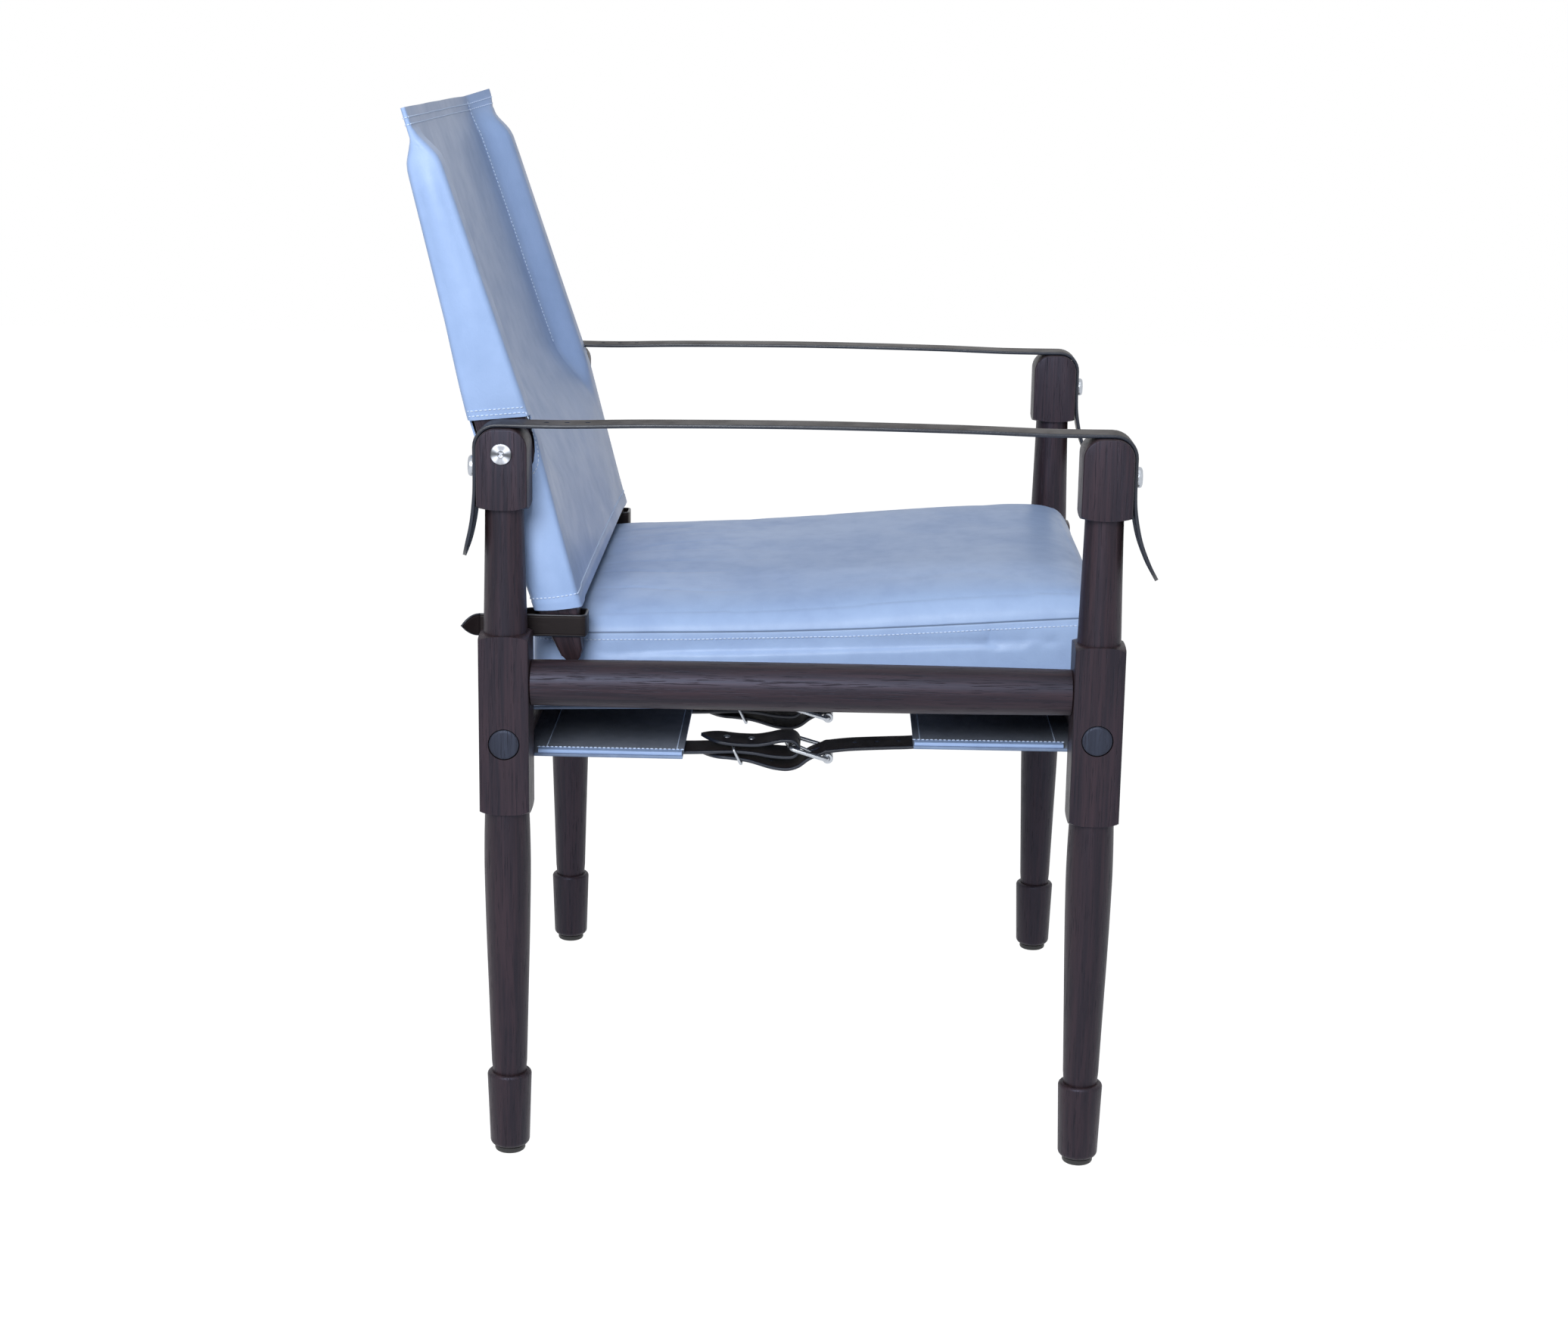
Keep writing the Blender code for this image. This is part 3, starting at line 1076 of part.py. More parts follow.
def build_chair():
    global PARTS, CUTTERS
    clear_scene()
    PARTS = new_collection("campaign_chair")
    CUTTERS = new_collection("cutters")
    for side, side_name in ((-1, "right"), (1, "left")):
        for end, end_name in ((-1, "front"), (1, "rear")):
            build_leg("leg_%s_%s" % (end_name, side_name), side, end)
            build_glide("glide_%s_%s" % (end_name, side_name), side, end)
    build_rails()
    build_bolts()
    tilt = bpy.data.objects.new("back_pivot", None)
    PARTS.objects.link(tilt)
    place(tilt, (0, PIVOT_Y, PIVOT_HEIGHT), (-RECLINE, 0, 0))
    for side, side_name in ((-1, "right"), (1, "left")):
        build_stile("back_stile_" + side_name, side, tilt)
        build_pivot(side_name, side, tilt)
        build_keeper("keeper_strap_" + side_name, side, "keeper_stud_" + side_name)
        build_arm_strap("arm_strap_" + side_name, side)
        build_strap_stud("arm_stud_front_" + side_name, side, -1)
        build_strap_stud("arm_stud_rear_" + side_name, side, 1)
    build_sleeve(tilt)
    build_sling()
    for number, share in enumerate(STRAP_OFFSETS_SHARE, 1):
        x = share * SLING_WIDTH
        build_strap_set(number, x)
        keeper_loop(number, x)
    build_cushion()


build_chair()
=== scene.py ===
# %% [markdown]
# # A campaign chair in blue leather and dark wood
# The chair is a take-apart traveller's chair: turned legs, loose rails held by bolts, a leather
# sling laced tight by four buckles, a loose boxed cushion and a leather sleeve on two swinging
# stiles. The CAD model fixes every size. This lesson dresses it: finer turnings, real leather
# edges, seams, stitches and finishes, each made with the Blender tool that suits it.

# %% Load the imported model
import math

import bmesh
import bpy
from mathutils import Matrix, Vector, noise
from mathutils.bvhtree import BVHTree


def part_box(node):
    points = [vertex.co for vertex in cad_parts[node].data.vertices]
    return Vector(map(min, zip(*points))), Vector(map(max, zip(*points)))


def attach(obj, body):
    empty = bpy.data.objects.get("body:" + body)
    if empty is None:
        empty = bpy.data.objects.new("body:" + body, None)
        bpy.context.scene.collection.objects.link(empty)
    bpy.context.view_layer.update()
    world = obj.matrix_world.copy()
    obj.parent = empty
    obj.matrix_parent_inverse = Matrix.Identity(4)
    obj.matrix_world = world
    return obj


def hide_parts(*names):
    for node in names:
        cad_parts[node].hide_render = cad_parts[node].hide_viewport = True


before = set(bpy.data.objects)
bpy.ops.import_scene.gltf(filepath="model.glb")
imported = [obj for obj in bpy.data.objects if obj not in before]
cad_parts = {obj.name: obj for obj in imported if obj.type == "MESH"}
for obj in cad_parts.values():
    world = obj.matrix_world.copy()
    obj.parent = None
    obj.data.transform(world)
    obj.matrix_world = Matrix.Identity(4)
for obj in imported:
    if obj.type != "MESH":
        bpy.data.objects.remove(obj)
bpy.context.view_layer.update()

# %% [markdown]
# ## The camera
# The photograph was taken from the sitter's right, a little above the seat, with a long lens.
# A camera is a place, three turns and a lens length. The turns are given as yaw, pitch and roll
# because they are the numbers that a photographer would read off a tripod head.

# %% Camera
CAMERA_PLACE = Vector((-2.55095, -0.03785, 0.99281))
CAMERA_YAW = 0.014959
CAMERA_PITCH_DOWN = 0.236777
CAMERA_ROLL = 0.015477
FOCAL_PIXELS = 3586.0
IMAGE_WIDTH_PIXELS = 2072.0
SENSOR_WIDTH_MM = 36.0

ahead = Vector((math.cos(CAMERA_YAW) * math.cos(CAMERA_PITCH_DOWN),
                math.sin(CAMERA_YAW) * math.cos(CAMERA_PITCH_DOWN), -math.sin(CAMERA_PITCH_DOWN)))
level_right = ahead.cross(Vector((0, 0, 1))).normalized()
level_up = level_right.cross(ahead)
camera_right = level_right * math.cos(CAMERA_ROLL) + level_up * math.sin(CAMERA_ROLL)
camera_up = level_up * math.cos(CAMERA_ROLL) - level_right * math.sin(CAMERA_ROLL)
camera_data = bpy.data.cameras.new("studio_camera")
camera_data.sensor_width = SENSOR_WIDTH_MM
camera_data.lens = FOCAL_PIXELS / IMAGE_WIDTH_PIXELS * SENSOR_WIDTH_MM
camera = bpy.data.objects.new("studio_camera", camera_data)
bpy.context.scene.collection.objects.link(camera)
turn = Matrix((camera_right, camera_up, -ahead)).transposed().to_4x4()
camera.matrix_world = Matrix.Translation(CAMERA_PLACE) @ turn
bpy.context.scene.camera = camera
print("lens %.1f mm" % camera_data.lens)

# %% [markdown]
# ## The studio
# A pale floor and an even white surround keep attention on the chair. The floor and the world
# look white to the camera and to shiny surfaces through Light Path, so no lamp has to be pushed
# until the leather burns out. One broad lamp above the camera's side shapes the forms.

# %% Node shorthand
scene = bpy.context.scene
scene.view_settings.view_transform = "Standard"


def link(tree, source, target):
    tree.links.new(source, target)


def add_node(tree, kind, **values):
    """Add a node and set its own options, such as an operation or a data type."""
    node = tree.nodes.new(kind)
    for name, value in values.items():
        setattr(node, name, value)
    return node


def seen_directly(tree):
    """1 for camera, glossy and transmission rays, 0 for the light that falls on surfaces."""
    path = add_node(tree, "ShaderNodeLightPath")
    seen = path.outputs["Is Camera Ray"]
    for title in ("Is Glossy Ray", "Is Transmission Ray"):
        either = add_node(tree, "ShaderNodeMath", operation="MAXIMUM")
        link(tree, seen, either.inputs[0])
        link(tree, path.outputs[title], either.inputs[1])
        seen = either.outputs[0]
    return seen


print("view transform:", scene.view_settings.view_transform)

# %% World
SKY_TINT = (0.86, 0.91, 1.0, 1.0)
SKY_STRENGTH = 0.16
WHITE = (1.0, 1.0, 1.0, 1.0)


def build_world(tree):
    tree.nodes.clear()
    output = add_node(tree, "ShaderNodeOutputWorld")
    chosen = add_node(tree, "ShaderNodeMixShader")
    soft = add_node(tree, "ShaderNodeBackground")
    soft.inputs["Color"].default_value = SKY_TINT
    soft.inputs["Strength"].default_value = SKY_STRENGTH
    white = add_node(tree, "ShaderNodeBackground")
    white.inputs["Color"].default_value = WHITE
    white.inputs["Strength"].default_value = 1.0
    link(tree, seen_directly(tree), chosen.inputs[0])
    link(tree, soft.outputs[0], chosen.inputs[1])
    link(tree, white.outputs[0], chosen.inputs[2])
    link(tree, chosen.outputs[0], output.inputs["Surface"])


world = bpy.data.worlds.new("studio")
scene.world = world
world.use_nodes = True
build_world(world.node_tree)
print("world nodes:", len(world.node_tree.nodes))

# %% Floor
FLOOR_REACH = 6.0
FLOOR_COLOUR = (0.72, 0.73, 0.75, 1.0)
SHADOW_COLOUR = (0.3, 0.3, 0.3, 1.0)
FLOOR_GLOW = 0.975


def build_floor():
    mesh = bpy.data.meshes.new("studio_floor")
    corners = [(x * FLOOR_REACH, y * FLOOR_REACH, 0) for x, y in ((-1, -1), (1, -1), (1, 1), (-1, 1))]
    mesh.from_pydata(corners, [], [(0, 1, 2, 3)])
    floor = bpy.data.objects.new("studio_floor", mesh)
    scene.collection.objects.link(floor)
    material = bpy.data.materials.new("pale_floor")
    material.use_nodes = True
    tree = material.node_tree
    tree.nodes.clear()
    output = add_node(tree, "ShaderNodeOutputMaterial")
    chosen = add_node(tree, "ShaderNodeMixShader")
    plain = add_node(tree, "ShaderNodeBsdfDiffuse")
    plain.inputs["Color"].default_value = FLOOR_COLOUR
    shown = add_node(tree, "ShaderNodeAddShader")
    shadow = add_node(tree, "ShaderNodeBsdfDiffuse")
    shadow.inputs["Color"].default_value = SHADOW_COLOUR
    glow = add_node(tree, "ShaderNodeEmission")
    glow.inputs["Strength"].default_value = FLOOR_GLOW
    link(tree, seen_directly(tree), chosen.inputs[0])
    link(tree, plain.outputs[0], chosen.inputs[1])
    link(tree, shadow.outputs[0], shown.inputs[0])
    link(tree, glow.outputs[0], shown.inputs[1])
    link(tree, shown.outputs[0], chosen.inputs[2])
    link(tree, chosen.outputs[0], output.inputs["Surface"])
    mesh.materials.append(material)


build_floor()
print("floor reaches %.1f m each way" % FLOOR_REACH)

# %% Lamps
LAMPS = (("broad_key", (-2.6, 0.55, 1.9), (0, 0, 0.6), 1.4, 78.0, (0.97, 0.99, 1.0)),
         ("front_fill", (-1.5, -2.4, 1.5), (0, 0, 0.5), 1.8, 2.5, (0.92, 0.96, 1.0)),
         ("top_fill", (-0.9, -0.3, 2.5), (0, 0, 0.5), 1.2, 5.0, (0.95, 0.98, 1.0)))


def add_lamp(name, place, target, size, watts, colour):
    data = bpy.data.lights.new(name, "AREA")
    data.shape = "DISK"
    data.size = size
    data.energy = watts
    data.color = colour
    lamp = bpy.data.objects.new(name, data)
    lamp.location = place
    lamp.rotation_mode = "QUATERNION"
    lamp.rotation_quaternion = (Vector(target) - Vector(place)).to_track_quat("-Z", "Y")
    scene.collection.objects.link(lamp)


for lamp in LAMPS:
    add_lamp(*lamp)
print("lamps:", [name for name, *_ in LAMPS])

# %% [markdown]
# ## Shared surface effects
# Two effects come back in several finishes, so each is a node group with its own inputs. The
# first is the grain of an open-pored dark timber: long streaks of two browns with short dark
# pores. The second is the skin of a waxed hide: slow changes of tone, a fine pebble and a few
# soft creases. A group only hands out colours, masks and heights, and the finish decides what
# to do with them.

# %% Node group helpers
MAIN_SHARE = 0.65


def new_group(name, inputs, outputs):
    group = bpy.data.node_groups.new(name, "ShaderNodeTree")
    for title, kind, value in inputs:
        socket = group.interface.new_socket(title, in_out="INPUT", socket_type=kind)
        if value is not None:
            socket.default_value = value
    for title, kind in outputs:
        group.interface.new_socket(title, in_out="OUTPUT", socket_type=kind)
    return group, add_node(group, "NodeGroupInput"), add_node(group, "NodeGroupOutput")


def noise_on(tree, vector, scale, detail, roughness=0.55):
    node = add_node(tree, "ShaderNodeTexNoise")
    node.inputs["Scale"].default_value = scale
    node.inputs["Detail"].default_value = detail
    node.inputs["Roughness"].default_value = roughness
    link(tree, vector, node.inputs["Vector"])
    return node.outputs["Fac"]


def remap(tree, value, low, high, to_low=0.0, to_high=1.0):
    node = add_node(tree, "ShaderNodeMapRange")
    node.interpolation_type = "SMOOTHSTEP"
    link(tree, value, node.inputs["Value"])
    for socket, number in (("From Min", low), ("From Max", high), ("To Min", to_low), ("To Max", to_high)):
        node.inputs[socket].default_value = number
    return node.outputs["Result"]


def mixed(tree, factor, first, second):
    """Mix two colours, each a socket or a plain colour."""
    node = add_node(tree, "ShaderNodeMix", data_type="RGBA")
    link(tree, factor, node.inputs[0])
    for socket, value in ((node.inputs[6], first), (node.inputs[7], second)):
        if isinstance(value, tuple):
            socket.default_value = value
        else:
            link(tree, value, socket)
    return node.outputs[2]


def maths(tree, operation, first, second):
    node = add_node(tree, "ShaderNodeMath", operation=operation)
    for socket, value in ((node.inputs[0], first), (node.inputs[1], second)):
        if isinstance(value, (int, float)):
            socket.default_value = value
        else:
            link(tree, value, socket)
    return node.outputs[0]


def weighed(tree, main, lesser):
    """Add two masks, of which the first counts more."""
    return maths(tree, "ADD", maths(tree, "MULTIPLY", main, MAIN_SHARE),
                 maths(tree, "MULTIPLY", lesser, 1 - MAIN_SHARE))


print("main masks count for %.2f" % MAIN_SHARE)

# %% Grain of the timber
PORE_COLOUR = (0.006, 0.004, 0.005, 1)


def build_grain_group():
    group, start, end = new_group("open_grain", [
        ("Vector", "NodeSocketVector", None), ("Dark", "NodeSocketColor", (0.02, 0.012, 0.012, 1)),
        ("Light", "NodeSocketColor", (0.06, 0.035, 0.03, 1))],
        [("Colour", "NodeSocketColor"), ("Pores", "NodeSocketFloat"), ("Height", "NodeSocketFloat")])
    vector = start.outputs["Vector"]
    streaks = remap(group, noise_on(group, vector, 260.0, 5.0, 0.62), 0.36, 0.66)
    bands = remap(group, noise_on(group, vector, 60.0, 2.0, 0.5), 0.3, 0.7)
    blend = weighed(group, streaks, bands)
    pores = remap(group, noise_on(group, vector, 900.0, 2.0, 0.6), 0.56, 0.68)
    body = mixed(group, blend, start.outputs["Dark"], start.outputs["Light"])
    link(group, mixed(group, maths(group, "MULTIPLY", pores, 0.7), body, PORE_COLOUR), end.inputs["Colour"])
    link(group, pores, end.inputs["Pores"])
    link(group, maths(group, "SUBTRACT", maths(group, "MULTIPLY", blend, 0.3), pores), end.inputs["Height"])
    return group


GRAIN_GROUP = build_grain_group()
print("grain group sockets:", len(GRAIN_GROUP.interface.items_tree))

# %% Skin of the hide


def build_hide_group():
    group, start, end = new_group("waxed_hide", [
        ("Vector", "NodeSocketVector", None), ("Colour", "NodeSocketColor", (0.4, 0.5, 0.7, 1)),
        ("Shade", "NodeSocketColor", (0.3, 0.38, 0.55, 1)), ("Pebble", "NodeSocketFloat", 0.25),
        ("Crease", "NodeSocketFloat", 0.5)],
        [("Colour", "NodeSocketColor"), ("Wear", "NodeSocketFloat"), ("Height", "NodeSocketFloat")])
    vector = start.outputs["Vector"]
    cloud = remap(group, noise_on(group, vector, 9.0, 4.0, 0.6), 0.3, 0.72)
    blotch = remap(group, noise_on(group, vector, 55.0, 3.0, 0.6), 0.35, 0.75)
    tone = weighed(group, cloud, blotch)
    link(group, mixed(group, tone, start.outputs["Colour"], start.outputs["Shade"]), end.inputs["Colour"])
    cells = add_node(group, "ShaderNodeTexVoronoi", feature="F1")
    cells.inputs["Scale"].default_value = 620.0
    link(group, vector, cells.inputs["Vector"])
    pebble = maths(group, "MULTIPLY", cells.outputs["Distance"], start.outputs["Pebble"])
    slow = noise_on(group, vector, 26.0, 3.0, 0.5)
    folds = maths(group, "ABSOLUTE", maths(group, "SUBTRACT", slow, 0.5), 0.0)
    crease = maths(group, "MULTIPLY", remap(group, folds, 0.0, 0.035), start.outputs["Crease"])
    link(group, maths(group, "ADD", pebble, crease), end.inputs["Height"])
    link(group, tone, end.inputs["Wear"])
    return group


HIDE_GROUP = build_hide_group()
print("hide group sockets:", len(HIDE_GROUP.interface.items_tree))

# %% [markdown]
# ## Finishes
# Each finish is one Principled BSDF. Constant values are typed on the shader's own sockets, and
# only what changes over a surface comes from nodes. Timber is polished with wax, so it has a
# soft gloss that the pores break. Leather has a thin coat of wax over a slightly rough skin.

# %% Finish helpers


def new_finish(name):
    material = bpy.data.materials.new(name)
    material.use_nodes = True
    tree = material.node_tree
    return material, tree, tree.nodes["Principled BSDF"]


def object_vector(tree, scale=(1, 1, 1), turn_x=0.0):
    coordinate = add_node(tree, "ShaderNodeTexCoord")
    source = coordinate.outputs["Object"]
    if turn_x:
        rotate = add_node(tree, "ShaderNodeVectorRotate", rotation_type="X_AXIS")
        rotate.inputs["Angle"].default_value = turn_x
        link(tree, source, rotate.inputs["Vector"])
        source = rotate.outputs["Vector"]
    mapping = add_node(tree, "ShaderNodeMapping")
    mapping.inputs["Scale"].default_value = scale
    link(tree, source, mapping.inputs["Vector"])
    return mapping.outputs["Vector"]


def bump_from(tree, shader, height, distance, strength):
    bump = add_node(tree, "ShaderNodeBump")
    bump.inputs["Distance"].default_value = distance
    bump.inputs["Strength"].default_value = strength
    link(tree, height, bump.inputs["Height"])
    link(tree, bump.outputs["Normal"], shader.inputs["Normal"])


def use_group(tree, group, vector, **values):
    node = add_node(tree, "ShaderNodeGroup")
    node.node_tree = group
    link(tree, vector, node.inputs["Vector"])
    for title, value in values.items():
        node.inputs[title].default_value = value
    return node


print("shared groups:", [group.name for group in bpy.data.node_groups])

# %% Timber finishes
GRAIN_STRETCH = 0.035
# Painted sheen: the timber's reflections are tinted blue to stand in for bluish light.
BLUE_SHEEN_TINT = (0.62, 0.7, 1.0, 1)
WOOD_DARK = (0.009, 0.0048, 0.0052, 1)
WOOD_LIGHT = (0.033, 0.0175, 0.0195, 1)
PLUG_DARK = (0.012, 0.013, 0.020, 1)
PLUG_LIGHT = (0.03, 0.035, 0.052, 1)
WOOD_ROUGH = (0.46, 0.68)
RECLINE = math.radians(16.7)


def make_timber(name, along, dark, light, turn_x=0.0):
    material, tree, shader = new_finish(name)
    scale = [GRAIN_STRETCH if axis == along else 1.0 for axis in "XYZ"]
    node = use_group(tree, GRAIN_GROUP, object_vector(tree, scale, turn_x), Dark=dark, Light=light)
    link(tree, node.outputs["Colour"], shader.inputs["Base Color"])
    link(tree, remap(tree, node.outputs["Pores"], 0.0, 1.0, *WOOD_ROUGH), shader.inputs["Roughness"])
    shader.inputs["Specular IOR Level"].default_value = 0.4
    # Reflections tinted blue: a painted sheen standing in for bluish light.
    shader.inputs["Specular Tint"].default_value = BLUE_SHEEN_TINT
    bump_from(tree, shader, node.outputs["Height"], 0.00022, 0.7)
    return material


wood_upright = make_timber("timber_upright", "Z", WOOD_DARK, WOOD_LIGHT)
wood_across = make_timber("timber_across", "X", WOOD_DARK, WOOD_LIGHT)
wood_fore_aft = make_timber("timber_fore_and_aft", "Y", WOOD_DARK, WOOD_LIGHT)
wood_stile = make_timber("timber_stile", "Z", WOOD_DARK, WOOD_LIGHT, RECLINE)
wood_plug = make_timber("timber_plug", "Z", PLUG_DARK, PLUG_LIGHT)
print("timber finishes:", [material.name for material in bpy.data.materials if "timber" in material.name])

# %% Leather finishes
CREASE_FROM_EDGE = 0.0021
# Blue of the highlight painted along a strap's edge.
EDGE_HIGHLIGHT_BLUE = (0.03, 0.042, 0.075, 1)
SEAM_SHADOW = (0.05, 0.08, 0.15, 1)


def make_leather(name, colour, shade, pebble, crease, rough, coat=0.0, distance=0.00025, edge_line=False,
                 seam_line=False, gloss=0.5):
    """Hide in two tones; a strap's crease and a blue highlight painted along its edge, or a cushion's seam,
    follow an attribute.
    """
    material, tree, shader = new_finish(name)
    node = use_group(tree, HIDE_GROUP, object_vector(tree), Colour=colour, Shade=shade, Pebble=pebble,
                     Crease=crease)
    link(tree, remap(tree, node.outputs["Wear"], 0.0, 1.0, *rough), shader.inputs["Roughness"])
    shader.inputs["Coat Weight"].default_value = coat
    shader.inputs["Coat Roughness"].default_value = 0.22
    height = node.outputs["Height"]
    colour_out = node.outputs["Colour"]
    shader.inputs["Specular IOR Level"].default_value = gloss
    if edge_line:
        attribute = add_node(tree, "ShaderNodeAttribute", attribute_name="edge_distance")
        from_crease = maths(tree, "SUBTRACT", attribute.outputs["Fac"], CREASE_FROM_EDGE)
        groove = remap(tree, maths(tree, "ABSOLUTE", from_crease, 0.0), 0.0, 0.0007)
        height = maths(tree, "ADD", height, maths(tree, "MULTIPLY", groove, 1.6))
        # A blue line painted along the strap's edge: a painted highlight.
        rim = remap(tree, attribute.outputs["Fac"], 0.0, 0.0012, 1.0, 0.0)
        colour_out = mixed(tree, maths(tree, "MULTIPLY", rim, 0.6), colour_out, EDGE_HIGHLIGHT_BLUE)
    if seam_line:
        attribute = add_node(tree, "ShaderNodeAttribute", attribute_name="seam_distance")
        gap = maths(tree, "ABSOLUTE", attribute.outputs["Fac"], 0.0)
        height = maths(tree, "ADD", height, maths(tree, "MULTIPLY", remap(tree, gap, 0.0, 0.0016), 3.0))
        rim = remap(tree, gap, 0.0002, 0.0011, 0.75, 0.0)
        colour_out = mixed(tree, rim, colour_out, SEAM_SHADOW)
    link(tree, colour_out, shader.inputs["Base Color"])
    bump_from(tree, shader, height, distance, 0.6)
    return material


blue_hide = make_leather("blue_hide", (0.34, 0.47, 0.75, 1), (0.28, 0.40, 0.66, 1), pebble=0.3, crease=0.25,
                         rough=(0.38, 0.5), coat=0.1, gloss=0.34)
cushion_hide = make_leather("cushion_hide", (0.36, 0.49, 0.75, 1), (0.30, 0.41, 0.66, 1), pebble=0.3,
                            crease=0.3, rough=(0.40, 0.54), coat=0.04, seam_line=True, gloss=0.24)
flesh_side = make_leather("flesh_side", (0.26, 0.29, 0.36, 1), (0.17, 0.19, 0.24, 1), pebble=0.9, crease=0.1,
                          rough=(0.8, 0.9), gloss=0.2)
hide_edge = make_leather("hide_edge", (0.22, 0.30, 0.46, 1), (0.12, 0.16, 0.26, 1), pebble=0.8, crease=0.1,
                         rough=(0.55, 0.7))
dark_hide = make_leather("dark_strap_hide", (0.014, 0.0095, 0.0105, 1), (0.008, 0.006, 0.007, 1), pebble=0.3,
                         crease=0.35, rough=(0.42, 0.58), distance=0.0002, edge_line=True, gloss=0.17)
# The strap edge's blue tone is a painted highlight; its darkness is the edge's own colour.
dark_edge_blue_sheen = make_leather("strap_edge", (0.016, 0.022, 0.038, 1), (0.008, 0.010, 0.018, 1), pebble=0.5,
                         crease=0.1, rough=(0.34, 0.46), coat=0.1, gloss=0.4)
STRAP_FACES = [dark_hide, dark_hide, dark_edge_blue_sheen]
SHEET_FACES = [blue_hide, flesh_side, hide_edge]
print("strap faces:", [material.name for material in STRAP_FACES])

# %% Metal, thread and rubber finishes


def dimmed(colour, share):
    return tuple(c * share for c in colour[:3]) + (1,)


def make_metal(name, colour, rough, paints_star_highlight=False):
    material, tree, shader = new_finish(name)
    shader.inputs["Metallic"].default_value = 1.0
    lines = noise_on(tree, object_vector(tree), 420.0, 3.0)
    tone = mixed(tree, lines, colour, dimmed(colour, 0.8))
    # Painted highlight and shade: the star_shine attribute lights bright wedges and leaves the rest at a
    # tenth of the steel's colour.
    if paints_star_highlight:
        star = add_node(tree, "ShaderNodeAttribute", attribute_name="star_shine")
        tone = mixed(tree, star.outputs["Fac"], dimmed(colour, 0.1), colour)
    link(tree, remap(tree, lines, 0.3, 0.7, rough, rough + 0.14), shader.inputs["Roughness"])
    link(tree, tone, shader.inputs["Base Color"])
    bump_from(tree, shader, lines, 0.00005, 0.25)
    return material


nickel = make_metal("nickel", (0.50, 0.53, 0.58, 1), 0.24)
# The screw heads' steel carries a painted star highlight.
turned_steel_painted_star = make_metal("turned_steel_painted_star", (0.78, 0.82, 0.92, 1), 0.3, True)


def make_plain(name, colour, other, scale, rough):
    material, tree, shader = new_finish(name)
    speck = noise_on(tree, object_vector(tree), scale, 3.0)
    link(tree, mixed(tree, speck, colour, other), shader.inputs["Base Color"])
    link(tree, remap(tree, speck, 0.2, 0.8, rough, rough + 0.12), shader.inputs["Roughness"])
    bump_from(tree, shader, speck, 0.0001, 0.4)
    return material


thread = make_plain("pale_thread", (0.66, 0.77, 0.95, 1), (0.54, 0.66, 0.88, 1), 1500.0, 0.6)
rubber = make_plain("black_glide", (0.012, 0.012, 0.013, 1), (0.03, 0.03, 0.032, 1), 500.0, 0.5)
print("materials:", len(bpy.data.materials))

# %% [markdown]
# ## Sizes
# These sizes are the same as the CAD model's, in metres. Places along the chair are measured
# from the middle of the legs, and CENTRE_Y moves them into the shared frame. Where a CAD part's
# box can give a place, the box is asked.

# %% Sizes of the frame
LEG_SQUARE = 0.0431
HALF_SQUARE = LEG_SQUARE / 2
ARM_HEIGHT = 0.6534
HEAD_HEIGHT = 0.0634
HEAD_CORNER = 0.0165
BLOCK_TOP = 0.4698
BLOCK_HEIGHT = 0.1465
SHOULDER_DEPTH = 0.006
GAP = 0.0003
SIDE_RAIL_HEIGHT = 0.4314
FRONT_RAIL_HEIGHT = 0.3939
REAR_RAIL_HEIGHT = 0.3808
HALF_X = 0.2868
HALF_Y = 0.254
PIVOT_Y = 0.23513
CENTRE_Y = PIVOT_Y - HALF_Y
PIVOT_HEIGHT = 0.6325
SIDES = ((-1, "right"), (1, "left"))
ENDS = ((-1, "front"), (1, "rear"))
low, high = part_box("leg_front_right")
print("front right leg at x %.4f y %.4f" % ((low.x + high.x) / 2, (low.y + high.y) / 2))

# %% [markdown]
# ## Helpers for meshes
# Most parts of the chair are turned on a lathe or sawn from a board. One helper turns a profile
# about an axis and another gives an outline a thickness. Booleans cut what a drill or a chisel
# would. Each finished piece is then handed to the body that carries it.

# %% Places on lines, arcs and tables


def mix(start, end, share):
    return start + (end - start) * share


def arc(centre_y, centre_z, radius, start_degrees, end_degrees, steps):
    points = []
    for step in range(steps + 1):
        angle = math.radians(mix(start_degrees, end_degrees, step / steps))
        points.append((centre_y + radius * math.cos(angle), centre_z + radius * math.sin(angle)))
    return points


def table(rows, value):
    """Read a smooth value off rows of (position, value)."""
    if value <= rows[0][0]:
        return rows[0][1]
    for index in range(len(rows) - 1):
        (x0, y0), (x1, y1) = rows[index], rows[index + 1]
        if value <= x1:
            before = rows[max(index - 1, 0)]
            after = rows[min(index + 2, len(rows) - 1)]
            span = x1 - x0
            slope0 = (y1 - before[1]) / (x1 - before[0])
            slope1 = (after[1] - y0) / (after[0] - x0)
            t = (value - x0) / span
            return ((2 * t ** 3 - 3 * t ** 2 + 1) * y0 + (t ** 3 - 2 * t ** 2 + t) * span * slope0
                    + (3 * t ** 2 - 2 * t ** 3) * y1 + (t ** 3 - t ** 2) * span * slope1)
    return rows[-1][1]


print("an arc of two steps:", arc(0, 0, 1, 0, 90, 2))

# %% Turned and sawn shapes


def mesh_of(bm):
    mesh = bpy.data.meshes.new("shape")
    bm.to_mesh(mesh)
    bm.free()
    return mesh


